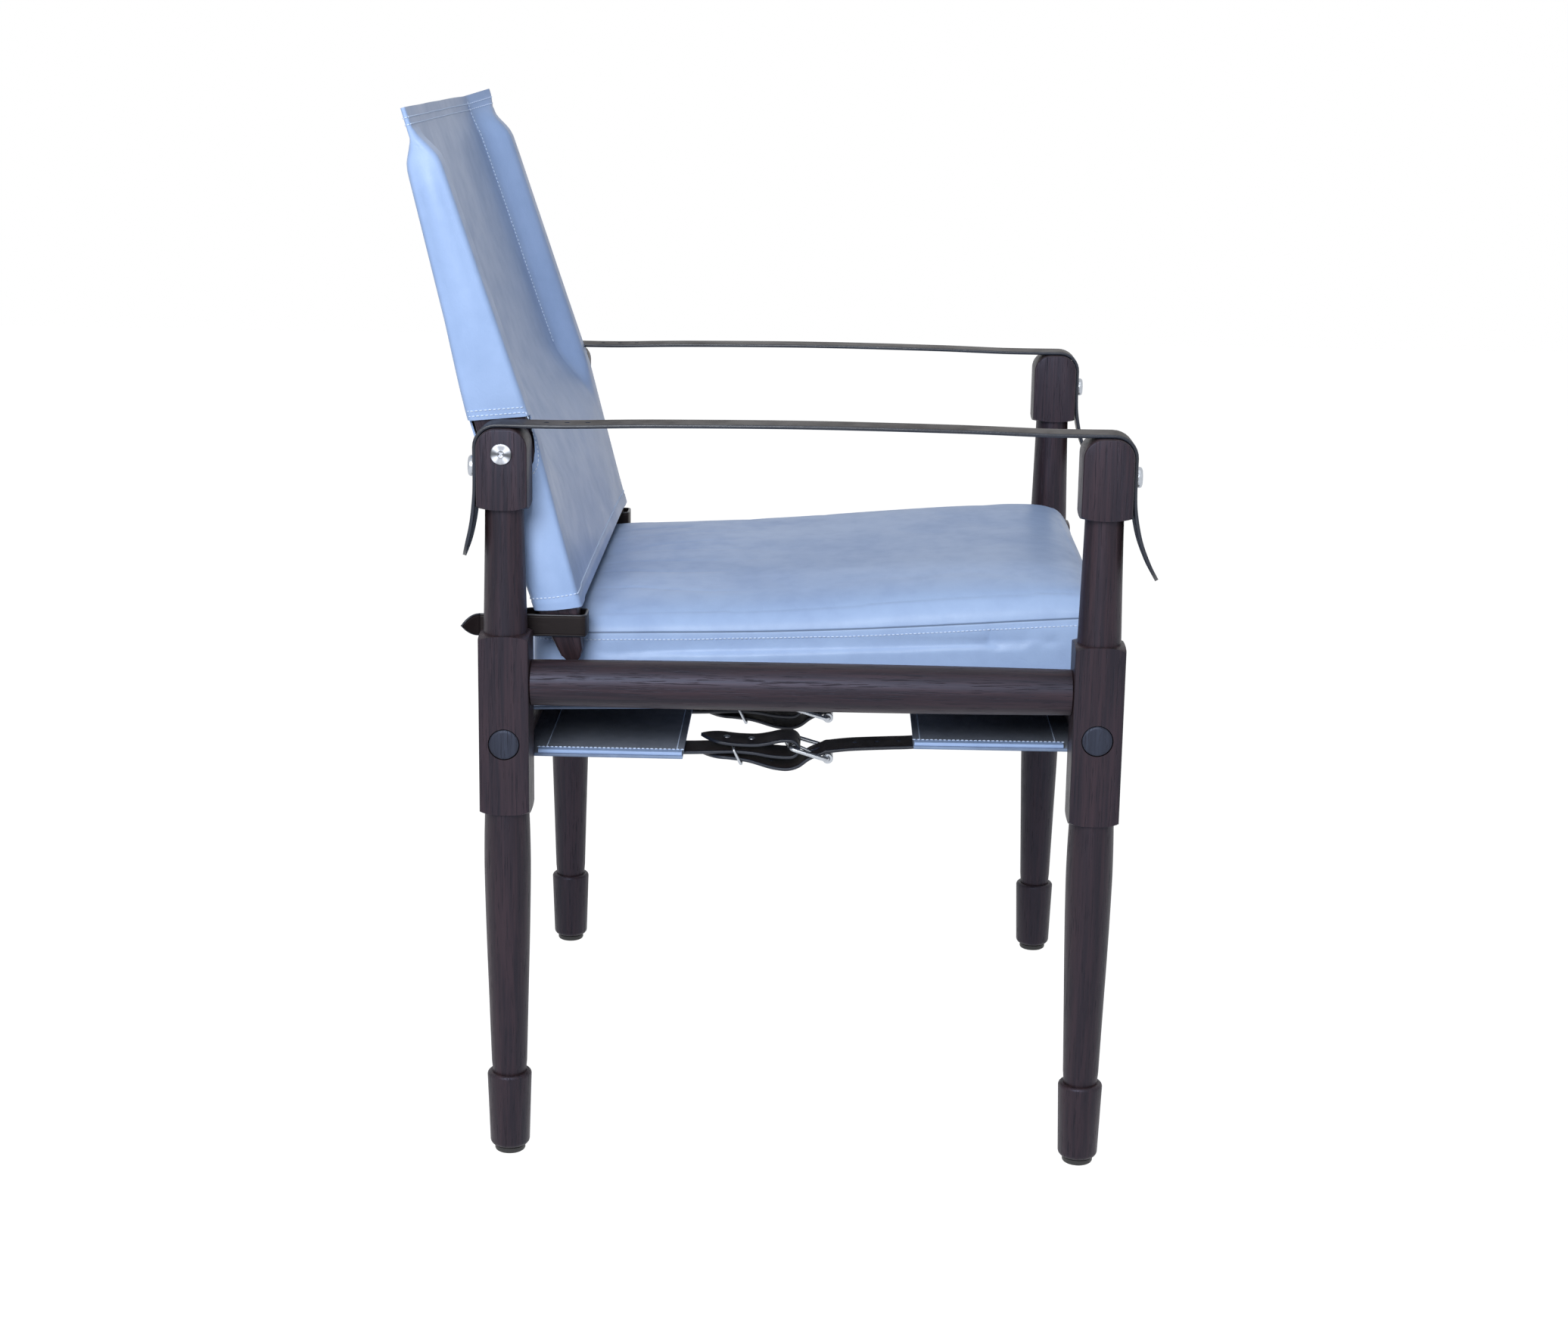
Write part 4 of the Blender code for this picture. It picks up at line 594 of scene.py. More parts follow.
def turn_mesh(profile, facets, matrix):
    """Turn a profile of (radius, height), listed from top to bottom, about Z, with a round UV map."""
    bm = bmesh.new()
    uv = bm.loops.layers.uv.new("UVMap")
    rings = []
    run = 0.0
    for index, (radius, height) in enumerate(profile):
        if index:
            run += math.hypot(radius - profile[index - 1][0], height - profile[index - 1][1])
        if radius < 1e-6:
            pole = bm.verts.new(matrix @ Vector((0, 0, height)))
            rings.append(([pole] * facets, run))
        else:
            ring = [bm.verts.new(matrix @ Vector((radius * math.cos(math.tau * k / facets),
                                                  radius * math.sin(math.tau * k / facets), height)))
                    for k in range(facets)]
            rings.append((ring, run))
    for (upper, run0), (lower, run1) in zip(rings, rings[1:]):
        for k in range(facets):
            after = (k + 1) % facets
            corners = [(upper[k], k, run0), (lower[k], k, run1), (lower[after], k + 1, run1),
                       (upper[after], k + 1, run0)]
            kept = []
            for corner in corners:
                if not any(corner[0] is other[0] for other in kept):
                    kept.append(corner)
            if len(kept) < 3:
                continue
            face = bm.faces.new([corner[0] for corner in kept])
            for loop, corner in zip(face.loops, kept):
                loop[uv].uv = (corner[1] / facets, corner[2])
    return mesh_of(bm)


def axis_matrix(place, direction):
    """Matrix that moves the Z axis of a turned shape onto a direction through a place."""
    return Matrix.Translation(Vector(place)) @ Vector(direction).to_track_quat("Z", "Y").to_matrix().to_4x4()


def extruded(first, second):
    """Join two outlines with the same number of points into a closed solid."""
    bm = bmesh.new()
    start = [bm.verts.new(point) for point in first]
    end = [bm.verts.new(point) for point in second]
    bm.faces.new(start[::-1])
    bm.faces.new(end)
    for k in range(len(start)):
        after = (k + 1) % len(start)
        bm.faces.new((start[k], start[after], end[after], end[k]))
    bmesh.ops.recalc_face_normals(bm, faces=bm.faces)
    return mesh_of(bm)


def prism(outline, thickness, centre_x=0.0, matrix=Matrix.Identity(4)):
    """Extrude an outline of (y, z) points across X."""
    return extruded(*([matrix @ Vector((centre_x + half, y, z)) for y, z in outline]
                      for half in (-thickness / 2, thickness / 2)))


print("Z laid along X:", axis_matrix((0, 0, 0), (1, 0, 0)).to_3x3() @ Vector((0, 0, 1)))

# %% Pieces, cuts and eased edges


def object_of(name, mesh, materials, angle=32):
    mesh.name = name
    for material in materials:
        mesh.materials.append(material)
    mesh.shade_smooth()
    mesh.set_sharp_from_angle(angle=math.radians(angle))
    obj = bpy.data.objects.new(name, mesh)
    scene.collection.objects.link(obj)
    return obj


def hand_over(obj, body, slot, *nodes):
    """Hang a piece on the empty of the body that carries it and hide the CAD nodes it replaces; the slot is
    not used.
    """
    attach(obj, body)
    if nodes:
        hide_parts(*nodes)
    return obj


def dress(node, mesh, materials, body, slot, angle=32):
    """Make the piece that stands for one CAD node and hand it over."""
    return hand_over(object_of("dressed_" + node, mesh, materials, angle), body, slot, node)


def applied(obj):
    """Turn an object's modifiers into plain mesh."""
    graph = bpy.context.evaluated_depsgraph_get()
    mesh = bpy.data.meshes.new_from_object(obj.evaluated_get(graph), preserve_all_data_layers=True,
                                           depsgraph=graph)
    obj.modifiers.clear()
    old = obj.data
    obj.data = mesh
    bpy.data.meshes.remove(old)
    return obj


def cut(obj, meshes, operation="DIFFERENCE"):
    """Cut meshes out of an object, one after the other, and apply the result."""
    tools = []
    for mesh in meshes:
        tool = bpy.data.objects.new("tool", mesh)
        scene.collection.objects.link(tool)
        tools.append(tool)
        modifier = obj.modifiers.new("Cut", "BOOLEAN")
        modifier.operation = operation
        modifier.solver = "EXACT"
        modifier.object = tool
    applied(obj)
    for tool in tools:
        mesh = tool.data
        bpy.data.objects.remove(tool)
        bpy.data.meshes.remove(mesh)


def ease_edges(obj, width, angle):
    """Round the edges that are sharper than an angle, as sandpaper does."""
    edges = obj.modifiers.new("Edges", "BEVEL")
    edges.width = width
    edges.segments = 3
    edges.limit_method = "ANGLE"
    edges.angle_limit = math.radians(angle)
    applied(obj)


print("CAD nodes:", len(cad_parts))

# %% [markdown]
# ## Legs
# A leg starts as square stock with a rounded head. The lathe then turns it between the head,
# the rail block and the foot, and where the round cut meets the square it leaves an arch on each
# face. Cutting square stock with the lathe's envelope in a Boolean gives those arches exactly,
# as the workshop does, which a hand-placed curve would only imitate.

# %% Turned envelope and square stock
LEG_FACETS = 96
NECK_RADIUS = 0.0165
NECK_BASE_RADIUS = 0.01885
SHANK_RADIUS = 0.0193
SHANK_SHARES = ((0.0, 0.0193), (0.1, 0.02001), (0.22, 0.02025), (0.45, 0.01921), (0.7, 0.01749),
                (0.99, 0.0155))
COLLAR_TOP = 0.0755
COLLAR_RADIUS = 0.0196
COLLAR_ROUND = 0.0034
QUIRK_RADIUS = 0.0149
FOOT_STEPS = ((0.01755, 0.0045), (0.0171, 0.0028), (0.0159, 0.0012), (0.01375, 0.0))
GLIDE_TOP = 0.0055
SPARE = 0.004


def shoulder(edge, direction, radius):
    corner = HALF_SQUARE * math.sqrt(2)
    points = []
    for step in range(9):
        angle = math.radians(90 * step / 8)
        points.append((radius + (corner - radius) * math.cos(angle),
                       edge + direction * SHOULDER_DEPTH * math.sin(angle)))
    return points


def leg_turning():
    """Profile of (radius, height) from the head to the foot; the square parts lie inside it."""
    outside = HALF_SQUARE * math.sqrt(2) + SPARE
    head_bottom = ARM_HEIGHT - HEAD_HEIGHT
    block_bottom = BLOCK_TOP - BLOCK_HEIGHT
    profile = [(0, ARM_HEIGHT + SPARE), (outside, ARM_HEIGHT + SPARE), (outside, head_bottom)]
    profile += shoulder(head_bottom, -1, NECK_RADIUS)
    neck_top = head_bottom - SHOULDER_DEPTH
    neck_low = BLOCK_TOP + SHOULDER_DEPTH
    for step in range(1, 8):
        share = step / 8
        profile.append((mix(NECK_RADIUS, NECK_BASE_RADIUS, share ** 1.2), mix(neck_top, neck_low, share)))
    profile += shoulder(BLOCK_TOP, 1, NECK_BASE_RADIUS)[::-1]
    profile += [(outside, BLOCK_TOP), (outside, block_bottom)]
    profile += shoulder(block_bottom, -1, SHANK_RADIUS)
    start = block_bottom - SHOULDER_DEPTH
    length = start - COLLAR_TOP
    for step in range(1, 25):
        share = step / 25
        profile.append((table(SHANK_SHARES, share), start - length * share))
    profile += [(QUIRK_RADIUS, COLLAR_TOP + 0.0006), (QUIRK_RADIUS, COLLAR_TOP - 0.0002),
                (0.0162, COLLAR_TOP)]
    for angle in (15, 35, 55, 75, 90):
        a = math.radians(angle)
        profile.append((COLLAR_RADIUS - COLLAR_ROUND * (1 - math.sin(a)),
                        COLLAR_TOP - COLLAR_ROUND * (1 - math.cos(a))))
    bottom = GLIDE_TOP + GAP
    return profile + [(radius, bottom + lift) for radius, lift in FOOT_STEPS] + [(0, bottom)]


def leg_outline():
    inset = HALF_SQUARE - HEAD_CORNER
    outline = [(-HALF_SQUARE, 0.0), (HALF_SQUARE, 0.0)]
    outline += arc(inset, ARM_HEIGHT - HEAD_CORNER, HEAD_CORNER, 0, 90, 14)
    outline += arc(-inset, ARM_HEIGHT - HEAD_CORNER, HEAD_CORNER, 90, 180, 14)
    return outline


print("points in the leg's turned profile:", len(leg_turning()))

# %% Four legs with bolt recesses and mortises
COVER_RADIUS = 0.013
COVER_EASE = 0.0007
RECESS_DEPTH = 0.009
TENON_RADIUS = 0.012
MORTISE_RADIUS = 0.0124
MORTISE_DEPTH = 0.006
LEG_EDGE = 0.0017


def drill(radius, depth):
    """Profile of a drill that starts just outside a face and goes in to a depth."""
    return [(0, SPARE), (radius, SPARE), (radius, -depth), (0, -depth)]


def build_leg(node, side, end):
    place = Vector((side * HALF_X, CENTRE_Y + end * HALF_Y, 0))
    leg = object_of("dressed_" + node, prism(leg_outline(), LEG_SQUARE), [wood_upright])
    leg.data.transform(Matrix.Translation(place))
    ease_edges(leg, LEG_EDGE, 40)
    cut(leg, [turn_mesh(leg_turning(), LEG_FACETS, Matrix.Translation(place))], "INTERSECT")
    rail_height = FRONT_RAIL_HEIGHT if end < 0 else REAR_RAIL_HEIGHT
    face = place + Vector((side * HALF_SQUARE, 0, rail_height))
    tools = [turn_mesh(drill(COVER_RADIUS + COVER_EASE, RECESS_DEPTH), 48, axis_matrix(face, (side, 0, 0)))]
    for facing in (1, -1) if end > 0 else (1,):
        point = place + Vector((0, facing * HALF_SQUARE, SIDE_RAIL_HEIGHT))
        tools.append(turn_mesh(drill(MORTISE_RADIUS, MORTISE_DEPTH), 48, axis_matrix(point, (0, facing, 0))))
    cut(leg, tools)
    leg.data.shade_smooth()
    leg.data.set_sharp_from_angle(angle=math.radians(30))
    return hand_over(leg, "frame", "wood", node)


for end, end_name in ENDS:
    for side, side_name in SIDES:
        leg = build_leg("leg_%s_%s" % (end_name, side_name), side, end)
        print(leg.name, len(leg.data.polygons), "faces")

# %% Glides under the legs
GLIDE_RADIUS = 0.0135


def glide_profile(radius):
    return [(0, GLIDE_TOP), (radius - 0.0006, GLIDE_TOP), (radius, GLIDE_TOP - 0.0006), (radius, 0.0018),
            (radius - 0.0005, 0.0008), (radius - 0.0016, 0.0), (0, 0.0)]


for end, end_name in ENDS:
    for side, side_name in SIDES:
        matrix = Matrix.Translation((side * HALF_X, CENTRE_Y + end * HALF_Y, 0))
        mesh = turn_mesh(glide_profile(GLIDE_RADIUS), 48, matrix)
        dress("glide_%s_%s" % (end_name, side_name), mesh, [rubber], "frame", "glide")
print("glide height %.4f" % GLIDE_TOP)

# %% [markdown]
# ## Rails and bolt covers
# The four rails are turned with round tenons, and the side rails are fuller in the middle. The side
# rails run through the rear legs and show as small discs. Each cross rail is held by a bolt whose
# head hides under a slightly domed wooden cover, set in its recess with a thin dark ring around it.

# %% Rails
RAIL_FACETS = 64
RAIL_EDGE = 0.0007
TENON_LENGTH = 0.0095
CROSS_RAIL = 0.038
SIDE_RAIL_MIDDLE = 0.042
SIDE_RAIL_END = 0.0395
CROSS_LENGTH = 2 * HALF_X - LEG_SQUARE
SIDE_LENGTH = 2 * HALF_Y - LEG_SQUARE
THROUGH_TENON = LEG_SQUARE + GAP + 0.001


def rail_mesh(length, middle, end, far_tenon, matrix):
    half = length / 2 - GAP
    outer = []
    for step in range(25):
        share = 1 - 2 * step / 24
        outer.append((mix(end, middle, 1 - abs(share) ** 2.4) / 2, half * share))
    outer[0] = (outer[0][0], half - RAIL_EDGE)
    outer[-1] = (outer[-1][0], -half + RAIL_EDGE)
    tip = half + far_tenon
    profile = [(0, tip), (TENON_RADIUS - 0.0008, tip), (TENON_RADIUS, tip - 0.0008), (TENON_RADIUS, half)]
    profile += [(outer[0][0] - RAIL_EDGE, half)] + outer + [(outer[-1][0] - RAIL_EDGE, -half)]
    profile += [(TENON_RADIUS, -half), (TENON_RADIUS, -half - TENON_LENGTH), (0, -half - TENON_LENGTH)]
    return turn_mesh(profile, RAIL_FACETS, matrix)


for end, node, height in ((-1, "front_rail", FRONT_RAIL_HEIGHT), (1, "rear_rail", REAR_RAIL_HEIGHT)):
    matrix = axis_matrix((0, CENTRE_Y + end * HALF_Y, height), (1, 0, 0))
    mesh = rail_mesh(CROSS_LENGTH, CROSS_RAIL, CROSS_RAIL, TENON_LENGTH, matrix)
    dress(node, mesh, [wood_across], "frame", "wood")
for side, side_name in SIDES:
    matrix = axis_matrix((side * HALF_X, CENTRE_Y, SIDE_RAIL_HEIGHT), (0, 1, 0))
    mesh = rail_mesh(SIDE_LENGTH, SIDE_RAIL_MIDDLE, SIDE_RAIL_END, THROUGH_TENON, matrix)
    dress("side_rail_" + side_name, mesh, [wood_fore_aft], "frame", "wood")
print("cross rails %.4f m, side rails %.4f m between the legs" % (CROSS_LENGTH, SIDE_LENGTH))

# %% Bolt covers
COVER_DOME = 0.001
COVER_DEPTH = 0.0085


def cover_profile(radius):
    profile = [(0, COVER_DOME)]
    profile += [(radius * share, COVER_DOME - 0.0007 * share ** 2) for share in (0.3, 0.6, 0.8, 0.9)]
    return profile + [(radius - 0.0005, 0.0), (radius, -0.0006), (radius, -COVER_DEPTH), (0, -COVER_DEPTH)]


for end, end_name, height in ((-1, "front", FRONT_RAIL_HEIGHT), (1, "rear", REAR_RAIL_HEIGHT)):
    for side, side_name in SIDES:
        place = (side * (HALF_X + HALF_SQUARE), CENTRE_Y + end * HALF_Y, height)
        mesh = turn_mesh(cover_profile(COVER_RADIUS), 48, axis_matrix(place, (side, 0, 0)))
        dress("bolt_cover_%s_%s" % (end_name, side_name), mesh, [wood_plug], "frame", "plug_wood")
print("bolt covers %.4f m across" % (2 * COVER_RADIUS))

# %% [markdown]
# ## Strap leather
# A leather strap is a flat band a few millimetres thick with rounded, burnished edges and a
# creased line near each edge. It is modelled by sweeping a small rounded section along the
# strap's path, because a plain Solidify leaves square edges that never catch the light. The
# distance from the edge is stored on each point, so the finish can draw the crease there and
# paint a blue highlight line along the edge.

# %% Strap sweep
EDGE_ANGLES = (65, 35, 0)


def strap_section(half_width, half_thickness, columns):
    """Closed section: (across, through, side), side 0 is the grain face, 1 the back and 2 the edge."""
    radius = min(half_thickness * 0.75, half_width * 0.6)
    flat = half_width - radius

    def edge(across, through, angles):
        return [(across * (flat + radius * math.cos(a)),
                 through * (half_thickness - radius + radius * math.sin(a)), 2)
                for a in map(math.radians, angles)]

    grain = [(mix(-flat, flat, k / columns), half_thickness, 0) for k in range(columns + 1)]
    back = [(mix(flat, -flat, k / columns), -half_thickness, 1) for k in range(columns + 1)]
    return (grain + edge(1, 1, EDGE_ANGLES) + edge(1, -1, EDGE_ANGLES[::-1]) + back
            + edge(-1, -1, EDGE_ANGLES) + edge(-1, 1, EDGE_ANGLES[::-1]))


def strap_mesh(line, widths, thickness, across, columns=8):
    """Sweep a strap along a line of points, with a half width at each point."""
    bm = bmesh.new()
    uv = bm.loops.layers.uv.new("UVMap")
    edge = bm.verts.layers.float.new("edge_distance")
    across = Vector(across).normalized()
    rings = []
    run = 0.0
    for index, (centre, half_width) in enumerate(zip(line, widths)):
        before = line[max(index - 1, 0)]
        after = line[min(index + 1, len(line) - 1)]
        along = (after - before).normalized()
        through = along.cross(across).normalized()
        if index:
            run += (centre - line[index - 1]).length
        ring = []
        section = strap_section(half_width, thickness / 2, columns)
        for a, t, side in section:
            vert = bm.verts.new(centre + across * a + through * t)
            vert[edge] = half_width - abs(a)
            ring.append((vert, a, side))
        rings.append((ring, run))
    count = len(rings[0][0])
    for (ring0, run0), (ring1, run1) in zip(rings, rings[1:]):
        for k in range(count):
            after = (k + 1) % count
            face = bm.faces.new((ring0[k][0], ring0[after][0], ring1[after][0], ring1[k][0]))
            sides = (ring0[k][2], ring0[after][2])
            face.material_index = 2 if 2 in sides else sides[0]
            for loop, (u, v) in zip(face.loops, ((run0, ring0[k][1]), (run0, ring0[after][1]),
                                                 (run1, ring1[after][1]), (run1, ring1[k][1]))):
                loop[uv].uv = (u, v)
    for ring, reverse in ((rings[0][0], True), (rings[-1][0], False)):
        verts = [entry[0] for entry in ring]
        cap = bm.faces.new(verts[::-1] if reverse else verts)
        cap.material_index = 2
    bmesh.ops.recalc_face_normals(bm, faces=bm.faces)
    return mesh_of(bm)


print("points round a strap:", len(strap_section(0.016, 0.0016, 8)))

# %% Pointed strap ends


def tip_widths(line, half_width, start_tip, end_tip):
    """Half widths of a strap whose ends narrow to a rounded point."""
    runs = [0.0]
    for first, second in zip(line, line[1:]):
        runs.append(runs[-1] + (second - first).length)
    total = runs[-1]
    widths = []
    for run in runs:
        width = half_width
        for tip, left in ((start_tip, run), (end_tip, total - run)):
            if tip and left < tip:
                width = min(width, half_width * max(0.05, math.sin(left / tip * math.pi / 2) ** 0.8))
        widths.append(width)
    return widths


def finer_ends(line, tip, start=True, end=True):
    """Add points close together near the ends, so that a tip's outline is smooth."""
    for do, step in ((start, 1), (end, -1)):
        if not do:
            continue
        line = line[::step]
        total = 0.0
        index = 0
        while index < len(line) - 1 and total < tip:
            total += (line[index + 1] - line[index]).length
            index += 1
        fine = []
        stretch = line[:index + 1]
        for number in range(23):
            target = total * (number / 23) ** 1.6
            run = 0.0
            for first, second in zip(stretch, stretch[1:]):
                length = (second - first).length
                if run + length >= target:
                    fine.append(first.lerp(second, (target - run) / length))
                    break
                run += length
        line = (fine + line[index:])[::step]
    return line


print("tip:", tip_widths([Vector((k * 0.004, 0, 0)) for k in range(4)], 0.01, 0.008, 0))

# %% [markdown]
# ## Rows of stitches and rivets
# Saddle stitches are the same small lens of thread again and again along a seam, so a Geometry
# Nodes tree lays them: it turns a line into a curve, resamples it at the stitch pitch and turns
# each stitch along the curve with its flat side on the leather. The line itself is found by
# dropping points onto the finished leather. Rivets use a second tree that only needs points.

# %% Stitch and rivet trees


def new_repeat_tree(name, inputs):
    tree = bpy.data.node_groups.new(name, "GeometryNodeTree")
    tree.interface.new_socket("Geometry", in_out="INPUT", socket_type="NodeSocketGeometry")
    for title, value in inputs:
        tree.interface.new_socket(title, in_out="INPUT", socket_type="NodeSocketFloat").default_value = value
    tree.interface.new_socket("Finish", in_out="INPUT", socket_type="NodeSocketMaterial")
    tree.interface.new_socket("Geometry", in_out="OUTPUT", socket_type="NodeSocketGeometry")
    return tree, add_node(tree, "NodeGroupInput"), add_node(tree, "NodeGroupOutput")


def surface_normal(tree):
    node = add_node(tree, "GeometryNodeInputNamedAttribute", data_type="FLOAT_VECTOR")
    node.inputs["Name"].default_value = "surface_normal"
    return node.outputs["Attribute"]


def finish_tree(tree, start, end, points, rotation, lens, scale):
    """Place a lens shape on each point, make it real and give it its material."""
    place = add_node(tree, "GeometryNodeInstanceOnPoints")
    link(tree, points, place.inputs["Points"])
    link(tree, lens, place.inputs["Instance"])
    link(tree, rotation, place.inputs["Rotation"])
    link(tree, scale, place.inputs["Scale"])
    real = add_node(tree, "GeometryNodeRealizeInstances")
    link(tree, place.outputs["Instances"], real.inputs["Geometry"])
    paint = add_node(tree, "GeometryNodeSetMaterial")
    link(tree, real.outputs["Geometry"], paint.inputs["Geometry"])
    link(tree, start.outputs["Finish"], paint.inputs["Material"])
    link(tree, paint.outputs["Geometry"], end.inputs["Geometry"])


def lens_mesh(tree, segments, rings):
    node = add_node(tree, "GeometryNodeMeshUVSphere")
    node.inputs["Segments"].default_value = segments
    node.inputs["Rings"].default_value = rings
    node.inputs["Radius"].default_value = 0.5
    return node.outputs["Mesh"]


def build_stitch_tree():
    tree, start, end = new_repeat_tree("stitch_row", [("Pitch", 0.005), ("Length", 0.0034), ("Width", 0.001)])
    curve = add_node(tree, "GeometryNodeMeshToCurve")
    link(tree, start.outputs["Geometry"], curve.inputs["Mesh"])
    even = add_node(tree, "GeometryNodeResampleCurve", mode="LENGTH")
    link(tree, curve.outputs["Curve"], even.inputs["Curve"])
    link(tree, start.outputs["Pitch"], even.inputs["Length"])
    along = add_node(tree, "FunctionNodeAlignRotationToVector", axis="X")
    link(tree, add_node(tree, "GeometryNodeInputTangent").outputs[0], along.inputs["Vector"])
    flat = add_node(tree, "FunctionNodeAlignRotationToVector", axis="Z", pivot_axis="X")
    link(tree, along.outputs["Rotation"], flat.inputs["Rotation"])
    link(tree, surface_normal(tree), flat.inputs["Vector"])
    size = add_node(tree, "ShaderNodeCombineXYZ")
    for socket, title in zip(size.inputs, ("Length", "Width", "Width")):
        link(tree, start.outputs[title], socket)
    finish_tree(tree, start, end, even.outputs["Curve"], flat.outputs["Rotation"], lens_mesh(tree, 6, 4),
                size.outputs[0])
    return tree


def build_rivet_tree():
    tree, start, end = new_repeat_tree("rivets", [("Diameter", 0.005), ("Height", 0.002)])
    upright = add_node(tree, "FunctionNodeAlignRotationToVector", axis="Z")
    link(tree, surface_normal(tree), upright.inputs["Vector"])
    size = add_node(tree, "ShaderNodeCombineXYZ")
    for socket, title in zip(size.inputs, ("Diameter", "Diameter", "Height")):
        link(tree, start.outputs[title], socket)
    finish_tree(tree, start, end, start.outputs["Geometry"], upright.outputs["Rotation"],
                lens_mesh(tree, 20, 12), size.outputs[0])
    return tree


STITCH_TREE = build_stitch_tree()
RIVET_TREE = build_rivet_tree()
sockets = [item.name for item in STITCH_TREE.interface.items_tree if item.item_type == "SOCKET"]
print("stitch row sockets:", sockets)

# %% Sewing and riveting
STITCH_PITCH = 0.0038
STITCH_LENGTH = 0.0034
STITCH_WIDTH = 0.0013
FACES_PER_STITCH = 24


def repeat_along(name, tree, points, normals, edges, finish, values):
    """Run a repeat tree on points with normals, and return its result as one plain mesh object."""
    mesh = bpy.data.meshes.new(name + "_line")
    mesh.from_pydata([tuple(point) for point in points], edges, [])
    layer = mesh.attributes.new("surface_normal", "FLOAT_VECTOR", "POINT")
    layer.data.foreach_set("vector", [number for normal in normals for number in normal])
    obj = bpy.data.objects.new(name, mesh)
    scene.collection.objects.link(obj)
    modifier = obj.modifiers.new("Repeat", "NODES")
    modifier.node_group = tree
    for item in tree.interface.items_tree:
        if item.item_type == "SOCKET" and item.in_out == "INPUT" and item.name in values:
            modifier[item.identifier] = values[item.name]
        if item.item_type == "SOCKET" and item.name == "Finish":
            modifier[item.identifier] = finish
    applied(obj)
    obj.data.name = name
    obj.data.shade_smooth()
    return obj


def surface_of(obj):
    verts = [vert.co for vert in obj.data.vertices]
    return BVHTree.FromPolygons(verts, [tuple(poly.vertices) for poly in obj.data.polygons])


def sew(name, leather, rows, body, slot):
    """Sew rows of (points, closed) onto a leather object."""
    surface = surface_of(leather)
    points, normals, edges = [], [], []
    for row, closed in rows:
        first = len(points)
        for point in row:
            place, normal, _, _ = surface.find_nearest(point)
            points.append(place + normal * STITCH_WIDTH * 0.1)
            normals.append(normal)
        edges += [(k, k + 1) for k in range(first, len(points) - 1)]
        if closed:
            edges.append((len(points) - 1, first))
    values = {"Pitch": STITCH_PITCH, "Length": STITCH_LENGTH, "Width": STITCH_WIDTH}
    stitches = repeat_along(name, STITCH_TREE, points, normals, edges, thread, values)
    hand_over(stitches, body, slot)
    print(name, len(stitches.data.polygons) // FACES_PER_STITCH, "stitches")


print("one stitch every %.1f mm" % (STITCH_PITCH * 1000))

# %% [markdown]
# ## Arm straps and their studs
# The arms are single straps pulled over the leg heads, each held by a domed stud at the end,
# with the tails left hanging and curled. Three punched holes near the rear head let the owner
# change the length. The path is the CAD's, run through a smooth curve.

# %% Arm straps
ARM_STRAP_WIDTH = 0.032
ARM_STRAP_THICKNESS = 0.0032
ARM_STRAP_RISE = 0.003
ARM_STUD_DROP = 0.0344
ARM_STUD_RADIUS = 0.009
REAR_TAIL = (0.1114, 0.011)
FRONT_TAIL = (0.1224, 0.023)
TAIL_SHARES = ((1.0, 1.0), (0.93, 0.86), (0.8, 0.62), (0.55, 0.28), (0.25, 0.06), (0.0, 0.0))
TAIL_TIP = 0.018
ARM_HOLE_START = 0.036
ARM_HOLE_SPACING = 0.0175
ARM_HOLE_RADIUS = 0.00225


def arm_line(side):
    lift = GAP + ARM_STRAP_THICKNESS / 2
    face = HALF_Y + HALF_SQUARE + lift
    top = ARM_HEIGHT + lift
    corner_y = HALF_Y + HALF_SQUARE - HEAD_CORNER
    corner_z = ARM_HEIGHT - HEAD_CORNER
    stud = ARM_HEIGHT - ARM_STUD_DROP - ARM_STUD_RADIUS

    def tail(length, flare):
        bottom = ARM_HEIGHT - length
        return [(face + flare * out, mix(stud, bottom, down)) for down, out in TAIL_SHARES]

    def head(length, flare):
        return tail(length, flare) + arc(corner_y, corner_z, HEAD_CORNER + lift, 0, 90, 8)

    middle = [(HALF_Y * share, top + ARM_STRAP_RISE * (1 - (share / 0.8) ** 2))
              for share in (0.8, 0.5, 0.0, -0.5, -0.8)]
    points = head(*REAR_TAIL) + middle + [(-y, z) for y, z in head(*FRONT_TAIL)[::-1]]
    return smooth_line([(side * HALF_X, CENTRE_Y + y, z) for y, z in points], 0.004)


def smooth_line(points, step):
    """A smooth line through points, with a point about every step metres."""
    vectors = [Vector(point) for point in points]
    line = []
    for index in range(len(vectors) - 1):
        start, end = vectors[index], vectors[index + 1]
        before = vectors[index - 1] if index else start * 2 - end
        after = vectors[index + 2] if index + 2 < len(vectors) else end * 2 - start
        count = max(1, round((end - start).length / step))
        for number in range(count):
            t = number / count
            line.append(0.5 * (2 * start + (end - before) * t
                               + (2 * before - 5 * start + 4 * end - after) * t ** 2
                               + (3 * start - before - 3 * end + after) * t ** 3))
    line.append(vectors[-1])
    return line


def hole_tool(place, direction, radius, depth, facets=20):
    profile = [(0, depth), (radius, depth), (radius, -depth), (0, -depth)]
    return turn_mesh(profile, facets, axis_matrix(place, direction))


def line_height(line, y):
    for first, second in zip(line, line[1:]):
        if min(first.y, second.y) <= y <= max(first.y, second.y) and abs(first.y - second.y) > 1e-7:
            return mix(first.z, second.z, (y - first.y) / (second.y - first.y))
    return line[-1].z


